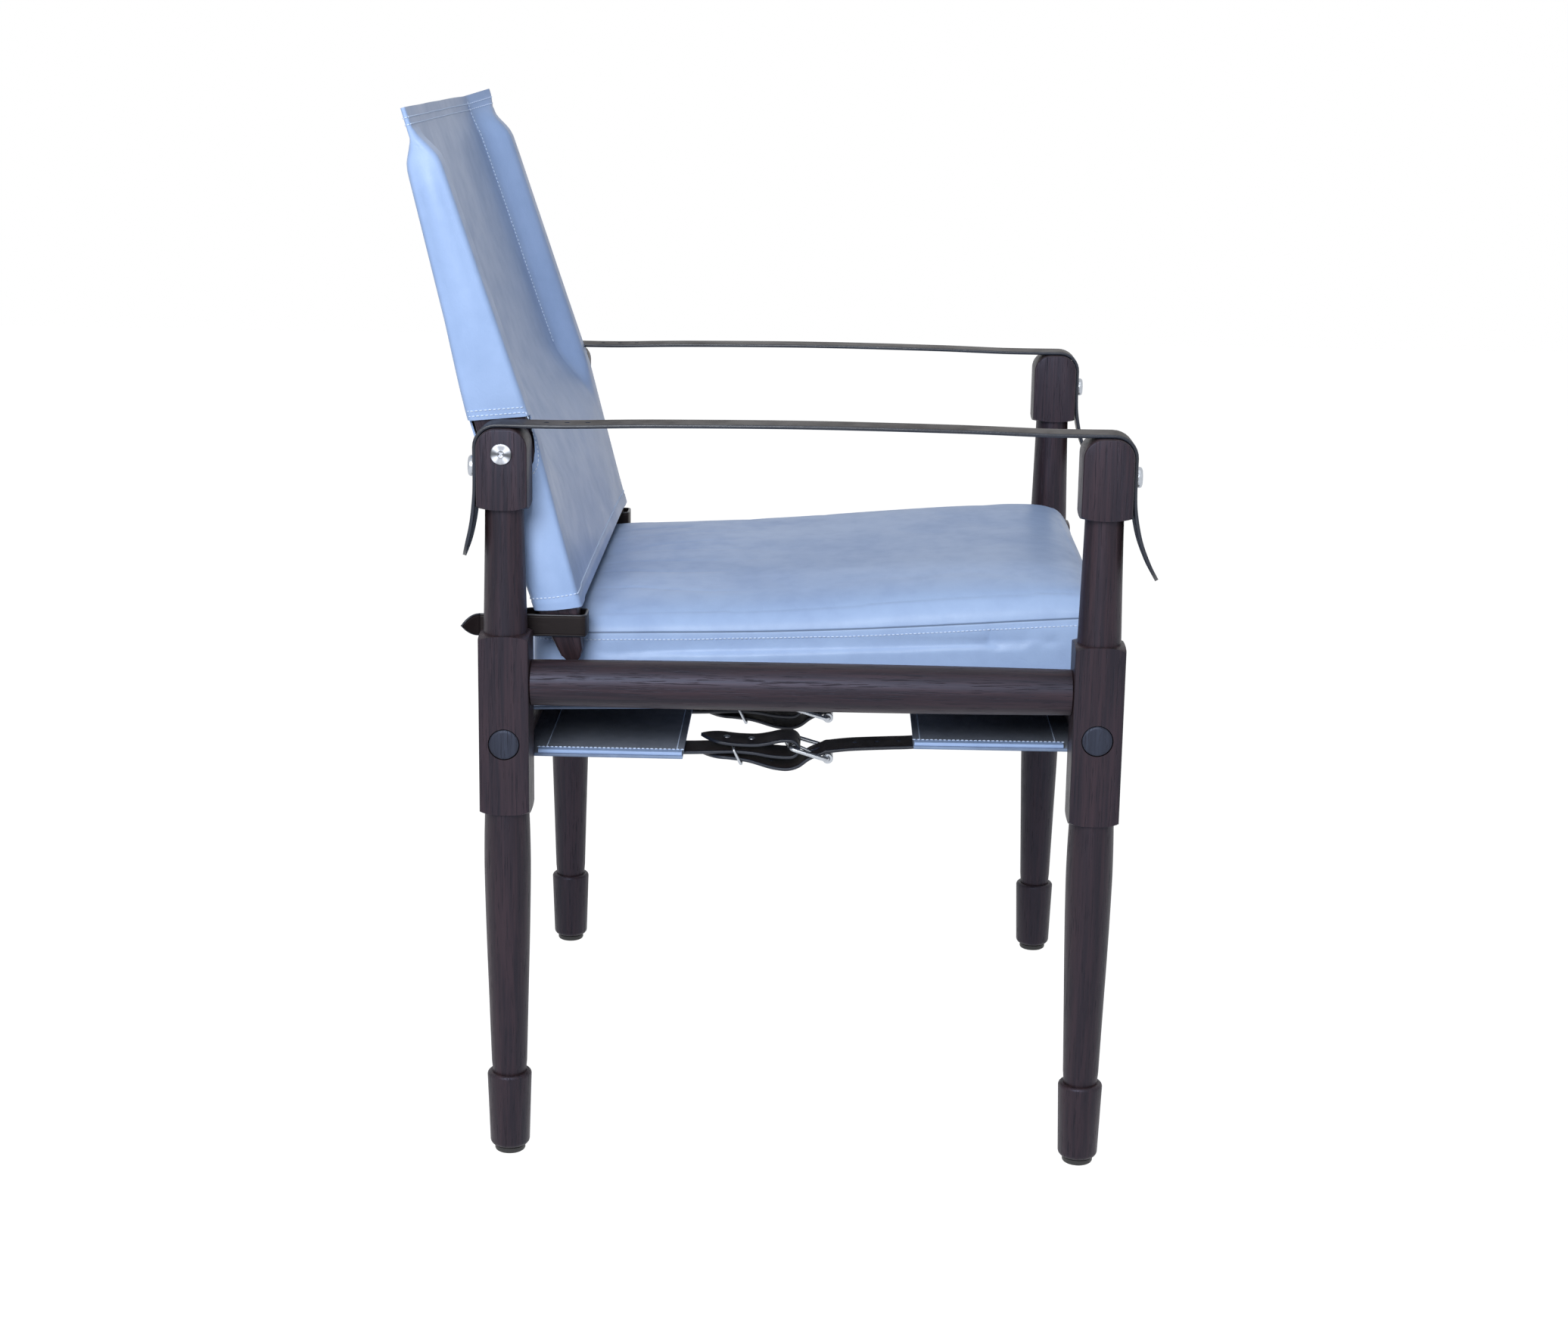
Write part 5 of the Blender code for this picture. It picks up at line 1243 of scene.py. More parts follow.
for side, side_name in SIDES:
    line = finer_ends(arm_line(side), TAIL_TIP)
    widths = tip_widths(line, ARM_STRAP_WIDTH / 2, TAIL_TIP, TAIL_TIP)
    strap = object_of("dressed_arm_strap_" + side_name,
                      strap_mesh(line, widths, ARM_STRAP_THICKNESS, (1, 0, 0)), STRAP_FACES)
    hole_places = [PIVOT_Y - ARM_HOLE_START - ARM_HOLE_SPACING * k for k in range(3)]
    cut(strap, [hole_tool((side * HALF_X, y, line_height(line, y)), (0, 0, 1), ARM_HOLE_RADIUS, 0.006)
                for y in hole_places])
    hand_over(strap, "frame", "strap_leather", "arm_strap_" + side_name)
    print(strap.name, len(strap.data.polygons), "faces")

# %% Studs
STUD_HEIGHT = 0.005
STUD_SHANK = 0.0025
STUD_DEPTH = 0.014


def stud_profile(radius, height, shank, depth):
    profile = [(0, height), (radius * 0.55, height * 0.985), (radius * 0.8, height * 0.94)]
    profile += [(radius * 0.9, height * 0.86), (radius * 0.965, height * 0.72), (radius, height * 0.5)]
    profile += [(radius, height * 0.12), (radius * 0.985, 0.0), (shank, 0.0), (shank, -depth), (0, -depth)]
    return profile


for end, end_name in ENDS:
    for side, side_name in SIDES:
        y = CENTRE_Y + end * (HALF_Y + HALF_SQUARE + 2 * GAP + ARM_STRAP_THICKNESS)
        matrix = axis_matrix((side * HALF_X, y, ARM_HEIGHT - ARM_STUD_DROP), (0, end, 0))
        mesh = turn_mesh(stud_profile(ARM_STUD_RADIUS, STUD_HEIGHT, STUD_SHANK, STUD_DEPTH), 48, matrix)
        dress("arm_stud_%s_%s" % (end_name, side_name), mesh, [nickel], "frame", "steel")
print("studs %.4f m across" % (2 * ARM_STUD_RADIUS))

# %% [markdown]
# ## The swinging back
# Two flat stiles hang on pivot screws in the rear heads, so the back finds the sitter's angle.
# They are sawn boards with eased edges. The screw's round head was faced on a lathe, which
# leaves fine rings that throw a bright star. That star is a painted highlight: an attribute on the
# head's points holds how bright each direction is, and the finish paints it into the head's colour,
# because rings that fine would need far too many faces.

# %% Stiles
STILE_X = 0.25
STILE_THICKNESS = 0.024
STILE_OUTER_X = 0.262
STILE_INNER_X = 0.238
STILE_TOP = 0.256
STILE_BOTTOM = 0.197
SLEEVE_TOP = 0.2935
SLEEVE_BOTTOM = 0.1475
BACK_MATRIX = Matrix.Translation((0, PIVOT_Y, PIVOT_HEIGHT)) @ Matrix.Rotation(-RECLINE, 4, "X")
STILE_EDGE = 0.002
STILE_TOP_RADIUS = 0.0114
STILE_TIP_RADIUS = 0.008
STILE_BORE = 0.0054
REAR_TRIM = 0.0042
STILE_DEPTHS = ((-STILE_BOTTOM, 0.016), (-SLEEVE_BOTTOM, 0.034), (0.0, 0.045), (STILE_TOP / 2, 0.036),
                (STILE_TOP, 0.027))


def stile_half_depth(height):
    for (low, low_depth), (high, high_depth) in zip(STILE_DEPTHS, STILE_DEPTHS[1:]):
        if height <= high:
            return mix(low_depth, high_depth, (height - low) / (high - low)) / 2
    return STILE_DEPTHS[-1][1] / 2


def rear_trim(height):
    """How much nearer the rear edge runs to the stile's centre line towards the top."""
    return REAR_TRIM * min(1.0, max(0.0, (height - 0.06) / 0.1825))


def stile_outline():
    low, high = STILE_TIP_RADIUS - STILE_BOTTOM, STILE_TOP - STILE_TOP_RADIUS
    heights = (low, -SLEEVE_BOTTOM, -0.07, 0.0, 0.06, STILE_TOP / 2, high)
    rear = [(stile_half_depth(height) - rear_trim(height), height) for height in heights]
    front = [(-stile_half_depth(height), height) for height in heights[::-1]]
    top = arc(-REAR_TRIM / 2, high, STILE_TOP_RADIUS, 0, 180, 14)
    tip = arc(0, low, STILE_TIP_RADIUS, 180, 360, 14)
    return rear + top[1:-1] + front + tip[1:-1]


def add_stile(side, side_name):
    stile = object_of("dressed_back_stile_" + side_name,
                      prism(stile_outline(), STILE_THICKNESS, side * STILE_X, BACK_MATRIX), [wood_stile])
    ease_edges(stile, STILE_EDGE, 60)
    cut(stile, [hole_tool((side * STILE_X, PIVOT_Y, PIVOT_HEIGHT), (1, 0, 0), STILE_BORE, 0.02, 32)])
    stile.data.set_sharp_from_angle(angle=math.radians(32))
    hand_over(stile, "back", "wood", "back_stile_" + side_name)


print("stile length %.4f m" % (STILE_TOP + STILE_BOTTOM))

# %% Pivot screws beside the stiles
SOCKET_EDGE = (0.0022, 0.0032)
# The ring round the socket gets little of the painted star, so it is painted dark, as shade.
SOCKET_PAINTED_SHADE = 0.1
SCREW_HEAD = [(0, 0.0009), (0.0017, 0.0009), (0.002, 0.0021), (0.0026, 0.0024), (0.0036, 0.0022),
              (0.0045, 0.0022), (0.0055, 0.0022), (0.0065, 0.0022), (0.0075, 0.0022), (0.0083, 0.0021),
              (0.0089, 0.0015), (0.009, 0.0009), (0.009, 0.0003)]
SCREW_SHANK = [(0.003, 0.0003), (0.003, -0.07), (0, -0.07)]


def star_shine(angle):
    """Painted highlight and shade: bright wedges with dark ones between them, as light falls on rings left by
    a lathe.
    """
    turned = angle - 0.1
    lobes = math.sin(2 * turned) ** 2
    return min(1.0, 0.04 + lobes ** 1.5 * 0.95 + 0.4 * abs(math.sin(turned)) ** 14)


def add_pivot_screw(side, side_name):
    matrix = axis_matrix((side * (HALF_X + HALF_SQUARE), PIVOT_Y, PIVOT_HEIGHT), (side, 0, 0))
    head = object_of("dressed_pivot_screw_" + side_name, turn_mesh(SCREW_HEAD + SCREW_SHANK, 96, matrix),
                     [turned_steel_painted_star], 40)
    # Painted highlight: the star's brightness is written on each point, and the ring round the socket is
    # painted dark as shade.
    values = []
    for vert in head.data.vertices:
        up, along = vert.co.z - PIVOT_HEIGHT, vert.co.y - PIVOT_Y
        on_edge = SOCKET_EDGE[0] < math.hypot(up, along) < SOCKET_EDGE[1]
        values.append(SOCKET_PAINTED_SHADE if on_edge else star_shine(math.atan2(up, along)))
    head.data.attributes.new("star_shine", "FLOAT", "POINT").data.foreach_set("value", values)
    hand_over(head, "frame", "steel", "pivot_screw_" + side_name)


for side, side_name in SIDES:
    add_stile(side, side_name)
    add_pivot_screw(side, side_name)
print("screw heads %.4f m across" % (2 * SCREW_HEAD[-1][0]))

# %% Keeper straps round the stiles' feet
KEEPER_HEIGHT = 0.47655
KEEPER_THICKNESS = 0.0024
KEEPER_HALF_WIDTH = 0.00975
KEEPER_TIP = 0.016
KEEPER_STUD_GRIP = 0.009


def keeper_line(side):
    half = KEEPER_THICKNESS / 2
    reach = (PIVOT_HEIGHT - KEEPER_HEIGHT) / math.cos(RECLINE)
    outer = STILE_OUTER_X + GAP + half
    inner = STILE_INNER_X - GAP - half
    depth = stile_half_depth(-reach) / math.cos(RECLINE) + KEEPER_HALF_WIDTH * math.tan(RECLINE)
    front = -reach * math.sin(RECLINE) - depth - GAP - half
    corner = 0.002 + half
    joined = outer - KEEPER_THICKNESS - GAP
    seat = (KEEPER_STUD_GRIP + KEEPER_THICKNESS) / 2
    plan = [(outer + 0.009, 0.040), (outer + 0.00495, 0.034), (outer + 0.0011, 0.026), (outer, 0.016),
            (outer, front + corner), (outer - corner * 0.3, front + corner * 0.3), (outer - corner, front),
            (inner + corner, front), (inner + corner * 0.3, front + corner * 0.3), (inner, front + corner),
            (inner, -0.016), (joined, -seat), (joined, seat + KEEPER_THICKNESS)]
    return smooth_line([(side * x, PIVOT_Y + y, KEEPER_HEIGHT) for x, y in plan], 0.0025)


for side, side_name in SIDES:
    line = finer_ends(keeper_line(side), KEEPER_TIP, True, False)
    widths = tip_widths(line, KEEPER_HALF_WIDTH, KEEPER_TIP, 0.0)
    keeper = dress("keeper_strap_" + side_name, strap_mesh(line, widths, KEEPER_THICKNESS, (0, 0, side)),
                   STRAP_FACES, "frame", "strap_leather")
    low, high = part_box("keeper_stud_" + side_name)
    print(keeper.name, "stud from x %.4f to %.4f" % (low.x, high.x))

# %% [markdown]
# ## The leather back sleeve
# The back is one folded hide, sewn into a pocket at each side and closed by a flat double seam
# on top. The pockets slip over the stiles, and the middle panel is sewn flat between them. The
# sleeve is built as a closed loop of points at each height, lofted into a skin, and given its
# real thickness inwards with Solidify, so the bottom mouths and the arm notches show true cut
# edges. Slow noise adds the slack that a hide has, and a few named drops and drifts pull the
# panel to where the photograph shows it.

# %% Sleeve sections
LEATHER = 0.0016
PANEL_HALF = 0.0019
POCKET_TAPER = 0.022
SEAM_X = 0.2125
HEM_SLOPE = 0.2
SLEEVE_OUTER = STILE_OUTER_X + GAP + LEATHER + 0.0008
CORNER_RADIUS = 0.0058
SIDE_STEPS = 7
PINCH_HEIGHT = 0.054
FLAP_HEIGHT = 0.034
TOP_SEAM_HEIGHT = 0.018
SIDE_PUFF = 0.0032
FAR_LEAN = 0.0052
PANEL_DRIFT = 0.046
TOP_DRIFT = 0.0055
PANEL_SLACK = 0.006
STITCH_SINK = 0.0003
POCKET_EASE = 0.0012
ARM_LEVEL_SLACK = 0.0022
TOP_WAVE = 0.0013


def ease(share):
    share = max(0.0, min(1.0, share))
    return share * share * (3 - 2 * share)


def sleeve_half_depth(x, height):
    """Half the gap between the front and rear skins: wide round a stile, thin where sewn."""
    full = stile_half_depth(max(min(height, STILE_TOP), -STILE_BOTTOM)) + GAP + LEATHER
    pinch_start = SLEEVE_TOP - PINCH_HEIGHT
    seam_start = SLEEVE_TOP - TOP_SEAM_HEIGHT
    if height > seam_start:
        full = PANEL_HALF * 1.1
    elif height > pinch_start:
        share = (height - pinch_start) / (seam_start - pinch_start)
        full = mix(full, PANEL_HALF * 1.6, ease(share) ** 1.3)
    start = STILE_INNER_X - GAP - LEATHER - POCKET_TAPER
    middle = 1 - min(1.0, abs(x) / SEAM_X) ** 2
    unsewn = ease((mix(0.036, 0.075, middle) - height) / mix(0.08, 0.16, middle))
    return mix(mix(PANEL_HALF, full, unsewn), full, ease((abs(x) - start) / POCKET_TAPER))


def sleeve_columns():
    inner = STILE_INNER_X - GAP - LEATHER
    columns = [inner * k / 46 for k in range(47)]
    columns += [mix(inner, SLEEVE_OUTER - CORNER_RADIUS, k / 8) for k in range(1, 9)]
    columns += [SLEEVE_OUTER - CORNER_RADIUS * (1 - math.sin(math.radians(a))) for a in (20, 40, 58, 74, 88)]
    return columns


def edge_round(x, half):
    """Pulls the front and rear skins together as they turn round the outer edge."""
    radius = min(CORNER_RADIUS, half * 0.9)
    inside = SLEEVE_OUTER - radius
    if abs(x) <= inside:
        return half
    across = min(1.0, (abs(x) - inside) / radius)
    return half - radius + radius * math.sqrt(max(0.0, 1 - across ** 2))


def flap_share(height):
    """0 below the flat flap at the top, 1 at its upper edge."""
    return ease((height - SLEEVE_TOP + FLAP_HEIGHT) / FLAP_HEIGHT)


def panel_drift(x, height):
    """How far the sewn panel lies behind the stiles' centre: most at the top of the far side."""
    drift = PANEL_DRIFT * max(0.0, height - 0.01) + TOP_DRIFT * ease((height - 0.25) / 0.04)
    end = mix(STILE_INNER_X - GAP - LEATHER, SLEEVE_OUTER, flap_share(height))
    if x > SEAM_X:
        return drift * max(0.0, (end - x) / (end - SEAM_X))
    return drift * max(0.0, (x + SEAM_X) / (2 * SEAM_X))


def drape(height):
    """Slope of the bottom hem and slack of the middle panel at a height."""
    above = height + SLEEVE_BOTTOM
    span = SLEEVE_TOP + SLEEVE_BOTTOM
    slack = PANEL_SLACK * max(0.0, 1 - (2 * (above / span - 0.5)) ** 2)
    return HEM_SLOPE * max(0.0, 1 - above / 0.06), slack


def sleeve_ring(height):
    """Points round the sleeve at one height: front skin, far side, rear skin, near side."""
    slope, slack = drape(height)
    columns = sleeve_columns()
    columns = [-x for x in columns[:0:-1]] + columns
    start = STILE_INNER_X - POCKET_TAPER
    free = ease((abs(height) - 0.05) / 0.05) * ease((SLEEVE_TOP - 0.03 - height) / 0.05)
    flap = flap_share(height)
    ring = []
    for sign, line in ((-1, columns), (1, columns[::-1])):
        for x in line:
            pocket = ease((abs(x) - start) / POCKET_TAPER)
            depth = sleeve_half_depth(x, height) + POCKET_EASE * pocket * (1 - flap)
            if sign > 0:
                loose = ARM_LEVEL_SLACK * max(0.0, 1 - abs(height - 0.035) / 0.08)
                depth = max(min(depth, PANEL_HALF * 1.1), depth + pocket * (loose - rear_trim(height)))
            half = edge_round(x, depth)
            sag = slack * max(0.0, 1 - (x / start) ** 2) + panel_drift(x, height)
            seam = math.exp(-((abs(x) - SEAM_X) / 0.0016) ** 2) * STITCH_SINK
            ring.append([x, sign * (half - seam) + sag, height + slope * sign * half])
    front, rear = ring[:len(columns)], ring[len(columns):]
    sides = []
    for begin, end in ((front[-1], rear[0]), (rear[-1], front[0])):
        side = []
        for k in range(1, SIDE_STEPS):
            share = k / SIDE_STEPS
            puff = SIDE_PUFF * free * 4 * share * (1 - share)
            side.append([begin[0] + math.copysign(puff, begin[0]), mix(begin[1], end[1], share),
                         mix(begin[2], end[2], share)])
        sides.append(side)
    ring = front + sides[0] + rear + sides[1]
    for point in ring:
        lean = FAR_LEAN * flap * ease(point[0] / SLEEVE_OUTER) if point[0] > 0 else 0.0
        point[1] -= lean
        point[2] += TOP_WAVE * flap * noise.noise(Vector((point[0] * 8, 2.0, 5.0)))
    return ring


print("points round the sleeve:", len(sleeve_ring(0.0)))

# %% Loft and thicken the sleeve
HEM_SWELL = 0.0005
SLOW_WAVE, FINE_WAVE = 0.0012, 0.00045


def sleeve_heights():
    low = -SLEEVE_BOTTOM
    top = SLEEVE_TOP
    heights = [low, low + 0.0008, low + 0.002, low + 0.005, low + 0.0082, low + 0.0094]
    heights += [mix(low + 0.0094, top - 0.045, k / 70) for k in range(1, 71)]
    heights += [mix(top - 0.045, top - 0.014, k / 16) for k in range(1, 17)]
    heights += [top - 0.012, top - 0.0095, top - 0.0085, top - 0.005, top - 0.0025, top - 0.0008, top]
    return heights


def build_sleeve_mesh():
    bm = bmesh.new()
    uv = bm.loops.layers.uv.new("UVMap")
    rings = []
    for height in sleeve_heights():
        above = height + SLEEVE_BOTTOM
        hem = HEM_SWELL * (1 - ease((above - 0.0082) / 0.0012))
        ring = []
        for x, y, z in sleeve_ring(height):
            far = min(1.0, max(0.0, (SLEEVE_TOP - 0.02 - height) / 0.05), max(0.0, above / 0.03))
            slow = noise.noise(Vector((x * 9, y * 9, z * 7))) * SLOW_WAVE
            fine = noise.noise(Vector((x * 30, y * 30, z * 16))) * FINE_WAVE
            edge = mix(1.0, 0.3, ease((abs(x) - 0.2) / 0.03))
            swell = hem * min(1.0, abs(y) / 0.0015)
            point = Vector((x, y + (slow + fine) * far * edge + math.copysign(swell, y), z))
            if abs(x) > SLEEVE_OUTER - 0.0002:
                point.x += math.copysign(hem * 0.6, x)
            ring.append(bm.verts.new(BACK_MATRIX @ point))
        rings.append((ring, height))
    for (low, low_height), (high, high_height) in zip(rings, rings[1:]):
        for k in range(len(low)):
            after = (k + 1) % len(low)
            face = bm.faces.new((low[k], low[after], high[after], high[k]))
            for loop, (u, v) in zip(face.loops, ((k, low_height), (k + 1, low_height), (k + 1, high_height),
                                                 (k, high_height))):
                loop[uv].uv = (u * 0.008, v)
    return mesh_of(bm)


sleeve = object_of("dressed_back_sleeve", build_sleeve_mesh(), SHEET_FACES)
solid = sleeve.modifiers.new("Leather", "SOLIDIFY")
solid.thickness = LEATHER
solid.offset = -1
solid.use_even_offset = False
solid.material_offset = 1
solid.material_offset_rim = 2
applied(sleeve)
print("sleeve skin:", len(sleeve.data.polygons), "faces")

# %% Cut the arm notches
NOTCH_TOP = 0.0245
NOTCH_REAR = 0.045
NOTCH_BOTTOM = -0.030
NOTCH_WIDTH = 0.017
NOTCH_PAST_STILE = 0.006
notch_front = [(-0.0255, NOTCH_TOP - HEM_SLOPE * 0.0255), (-0.0245, 0.008), (-0.0235, -0.002),
               (-0.0215, -0.0105), (-0.018, -0.0185), (-0.0125, -0.025), (-0.004, -0.0292)]
notch_outline = [(NOTCH_REAR, NOTCH_BOTTOM), (NOTCH_REAR, NOTCH_TOP + HEM_SLOPE * NOTCH_REAR)] + notch_front
notch_x = STILE_OUTER_X + GAP + NOTCH_PAST_STILE - NOTCH_WIDTH / 2
cut(sleeve, [prism(notch_outline, NOTCH_WIDTH, side * notch_x, BACK_MATRIX) for side, _ in SIDES])
sleeve.data.shade_smooth()
sleeve.data.set_sharp_from_angle(angle=math.radians(50))
hand_over(sleeve, "back", "leather", "back_sleeve")
print("sleeve:", len(sleeve.data.polygons), "faces")

# %% Sleeve stitches


def on_back(points):
    return [BACK_MATRIX @ Vector(point) for point in points]


def pocket_row(side, height, slope, inner):
    """A row round the outside of one pocket, from its rear face to its front face."""
    half = stile_half_depth(height) + GAP + LEATHER
    ends = [(inner, half), (SLEEVE_OUTER, half), (SLEEVE_OUTER, -half), (inner, -half)]
    points = []
    for (x0, y0), (x1, y1) in zip(ends, ends[1:]):
        points += [(mix(x0, x1, k / 12), mix(y0, y1, k / 12)) for k in range(12)]
    return on_back([(side * x, y, height + slope * y) for x, y in points])


HEM_ROW = 0.0115
TOP_ROWS = (0.0085, 0.0145)
rows = [(on_back(sleeve_ring(-SLEEVE_BOTTOM + HEM_ROW)), True)]
rows += [(on_back(sleeve_ring(SLEEVE_TOP - drop)), True) for drop in TOP_ROWS]
for side, facing in ((1, -1), (1, 1), (-1, 1)):
    x = side * SEAM_X
    heights = [mix(0.036, SLEEVE_TOP - 0.004, k / 60) for k in range(61)]
    row = [(x, facing * 0.006 + panel_drift(x, height), height) for height in heights]
    rows.append((on_back(row), False))
for side in (-1, 1):
    for height in (NOTCH_TOP + 0.0036, NOTCH_TOP + 0.0082):
        rows.append((pocket_row(side, height, HEM_SLOPE, 0.2525), False))
    edge = [(-0.0262, 0.022), (-0.0262, 0.008)] + [(y - 0.0032, z - 0.0028) for y, z in notch_front[2:]]
    edge += [(0.01, -0.0336), (0.022, -0.0336)]
    rows.append((on_back(smooth_line([(side * SLEEVE_OUTER, y, z) for y, z in edge], 0.002)), False))
sew("sleeve_stitches", sleeve, rows, "back", "leather")

# %% [markdown]
# ## The seat sling
# A wide hide goes over both cross rails and its ends turn back underneath, flesh side inwards,
# where four straps pull them together. It takes the strap sweep again with a hide's width: the
# grain face is blue and the inner face is dark. A folded hem runs along each side.

# %% Sling
SLING_WIDTH = 0.524
SLING_THICKNESS = 0.003
WRAP_RADIUS = 0.0208
REAR_FLAP_Y = CENTRE_Y + 0.103
FRONT_FLAP_Y = CENTRE_Y - 0.099
FLAP_DROP = 0.0003
REAR_FLAP_Z = REAR_RAIL_HEIGHT - WRAP_RADIUS - FLAP_DROP
FRONT_FLAP_Z = FRONT_RAIL_HEIGHT - WRAP_RADIUS - FLAP_DROP


def sling_line():
    rear = [(REAR_FLAP_Y, REAR_FLAP_Z)]
    rear += [(mix(REAR_FLAP_Y, PIVOT_Y, k / 12), mix(REAR_FLAP_Z, REAR_RAIL_HEIGHT - WRAP_RADIUS, k / 12))
             for k in range(1, 12)]
    rear += arc(PIVOT_Y, REAR_RAIL_HEIGHT, WRAP_RADIUS, -90, 90, 20)
    front_y = CENTRE_Y - HALF_Y
    front = arc(front_y, FRONT_RAIL_HEIGHT, WRAP_RADIUS, 90, 270, 20)
    middle = [(mix(PIVOT_Y, front_y, k / 30), mix(rear[-1][1], front[0][1], k / 30)) for k in range(1, 30)]
    front += [(mix(front_y, FRONT_FLAP_Y, k / 14), mix(FRONT_RAIL_HEIGHT - WRAP_RADIUS, FRONT_FLAP_Z, k / 14))
              for k in range(1, 15)]
    return [Vector((0, y, z)) for y, z in rear + middle + front]


line = sling_line()
hide = strap_mesh(line, [SLING_WIDTH / 2] * len(line), SLING_THICKNESS, (1, 0, 0), 48)
sling = dress("seat_sling", hide, SHEET_FACES, "frame", "leather")

# %% Sling hems
HEM_WIDTH = 0.011
HEM_THICKNESS = 0.0034
RAIL_CLEARANCE = 0.0245
HEM_INSET = 0.0006
FLAPS = {"rear": (REAR_FLAP_Y, PIVOT_Y, REAR_FLAP_Z, REAR_RAIL_HEIGHT),
         "front": (FRONT_FLAP_Y, CENTRE_Y - HALF_Y, FRONT_FLAP_Z, FRONT_RAIL_HEIGHT)}


def flap_top(flap, y):
    """Height of a flap's inner face at a place between its end and its rail."""
    flap_y, rail_y, flap_z, rail_z = FLAPS[flap]
    return mix(flap_z, rail_z - WRAP_RADIUS, (y - flap_y) / (rail_y - flap_y)) + SLING_THICKNESS / 2


def hem_line(side, flap, to_rail):
    x = side * (SLING_WIDTH / 2 - HEM_WIDTH / 2)
    start = FLAPS[flap][0] + to_rail * HEM_INSET
    end = FLAPS[flap][1] - to_rail * RAIL_CLEARANCE
    places = [mix(start, end, k / 40) for k in range(41)]
    return [Vector((x, y, flap_top(flap, y) + HEM_THICKNESS / 2)) for y in places]


lines = [hem_line(side, flap, to_rail) for side in (-1, 1) for flap, to_rail in (("rear", 1), ("front", -1))]
hem_parts = bmesh.new()
for line in lines:
    part = strap_mesh(line, [HEM_WIDTH / 2] * len(line), HEM_THICKNESS, (1, 0, 0), 6)
    for poly in part.polygons:
        poly.material_index = 0
    hem_parts.from_mesh(part)
    bpy.data.meshes.remove(part)
hems = object_of("sling_hems", mesh_of(hem_parts), [blue_hide])
hand_over(hems, "frame", "leather")
print("hems:", len(lines))

# %% Sling stitches
ROW_HALF = 0.249
PROBE = 0.004


def row_across(y, z):
    return [Vector((mix(-ROW_HALF, ROW_HALF, k / 60), y, z)) for k in range(61)]


rows = []
for line in lines:
    inward = -math.copysign(HEM_WIDTH / 2 - 0.002, line[0].x)
    rows.append(([point + Vector((inward, 0, PROBE)) for point in line], False))
sew("sling_hem_stitches", hems, rows, "frame", "leather")
rows = []
for y, z in ((REAR_FLAP_Y + 0.006, REAR_FLAP_Z), (FRONT_FLAP_Y - 0.006, FRONT_FLAP_Z)):
    rows += [(row_across(y, z + lift), False) for lift in (PROBE, -PROBE)]
for y, z in ((PIVOT_Y - 0.03, REAR_RAIL_HEIGHT), (CENTRE_Y - HALF_Y + 0.03, FRONT_RAIL_HEIGHT)):
    heights = (z - WRAP_RADIUS - PROBE, z - WRAP_RADIUS + PROBE, z + WRAP_RADIUS + PROBE)
    rows += [(row_across(y, height), False) for height in heights]
sew("sling_stitches", sling, rows, "frame", "leather")

# %% [markdown]
# ## Buckled straps
# Each of the four straps has two halves. The rear half is folded round the buckle's heel bar
# and its pointed end lies on top. The front half goes over the roller, takes the prong and
# bellies down before it tucks in behind. A wire loop keeps the layers together. The metal parts
# are drawn wire, so they are round sections swept along their centre lines.

# %% Paths of the two strap halves
STRAP_PLACES = (-0.215, -0.07168, 0.07168, 0.215)
STRAP_HALF_WIDTH = 0.019
STRAP_THICKNESS = 0.003
HEEL_Y = CENTRE_Y + 0.0094
HEEL_Z = REAR_FLAP_Z + 0.0036
BUCKLE_TILT = math.radians(16.5)
BUCKLE_LENGTH = 0.035
ROLLER_Y = HEEL_Y - BUCKLE_LENGTH * math.cos(BUCKLE_TILT)
ROLLER_Z = HEEL_Z - BUCKLE_LENGTH * math.sin(BUCKLE_TILT)
FOLD_Z = HEEL_Z - 0.002
FOLD_RADIUS = 0.0076
LOWER_RUN_LENGTH = 0.0656
RETURN_LENGTH = 0.0796
RETURN_SAG = 0.0046
BELLY_DROP = 0.0205
HANG = 0.0042
ROLLER_RADIUS = 0.00475
LOWER_RUN_SHARES = ((1.0, -0.37), (0.726, -0.59), (0.466, -0.11), (0.299, 0.59), (0.116, 1.0))
RETURN_SHARES = ((0.102, 0.07), (0.253, 0.67), (0.378, 1.0), (0.535, 1.0), (0.636, 0.89), (0.786, 0.57),
                 (1.0, 0.0))
FRONT_RUN_SHARES = ((0.256, 0.365), (0.512, 0.594), (0.768, 0.771))
BELLY_SHARES = ((-0.219, 0.502), (-0.093, 0.863), (0.02, 1.0), (0.133, 0.98), (0.24, 0.898),
                (0.46, 0.654), (0.673, 0.541), (0.799, 0.522), (1.0, 0.517))
print("heel bar at y %.4f z %.4f, roller at y %.4f z %.4f" % (HEEL_Y, HEEL_Z, ROLLER_Y, ROLLER_Z))


def rear_strap_points():
    under = REAR_FLAP_Z - SLING_THICKNESS / 2 - GAP - STRAP_THICKNESS / 2
    run = [(REAR_FLAP_Y + 0.060, under), (REAR_FLAP_Y + 0.03, under), (REAR_FLAP_Y, under)]
    run += [(HEEL_Y + LOWER_RUN_LENGTH * along, mix(under, FOLD_Z - FOLD_RADIUS, drop))
            for along, drop in LOWER_RUN_SHARES]
    back = [(HEEL_Y + RETURN_LENGTH * along, FOLD_Z + FOLD_RADIUS - RETURN_SAG * sag)
            for along, sag in RETURN_SHARES]
    return run + arc(HEEL_Y, FOLD_Z, FOLD_RADIUS, 270, 90, 12) + back


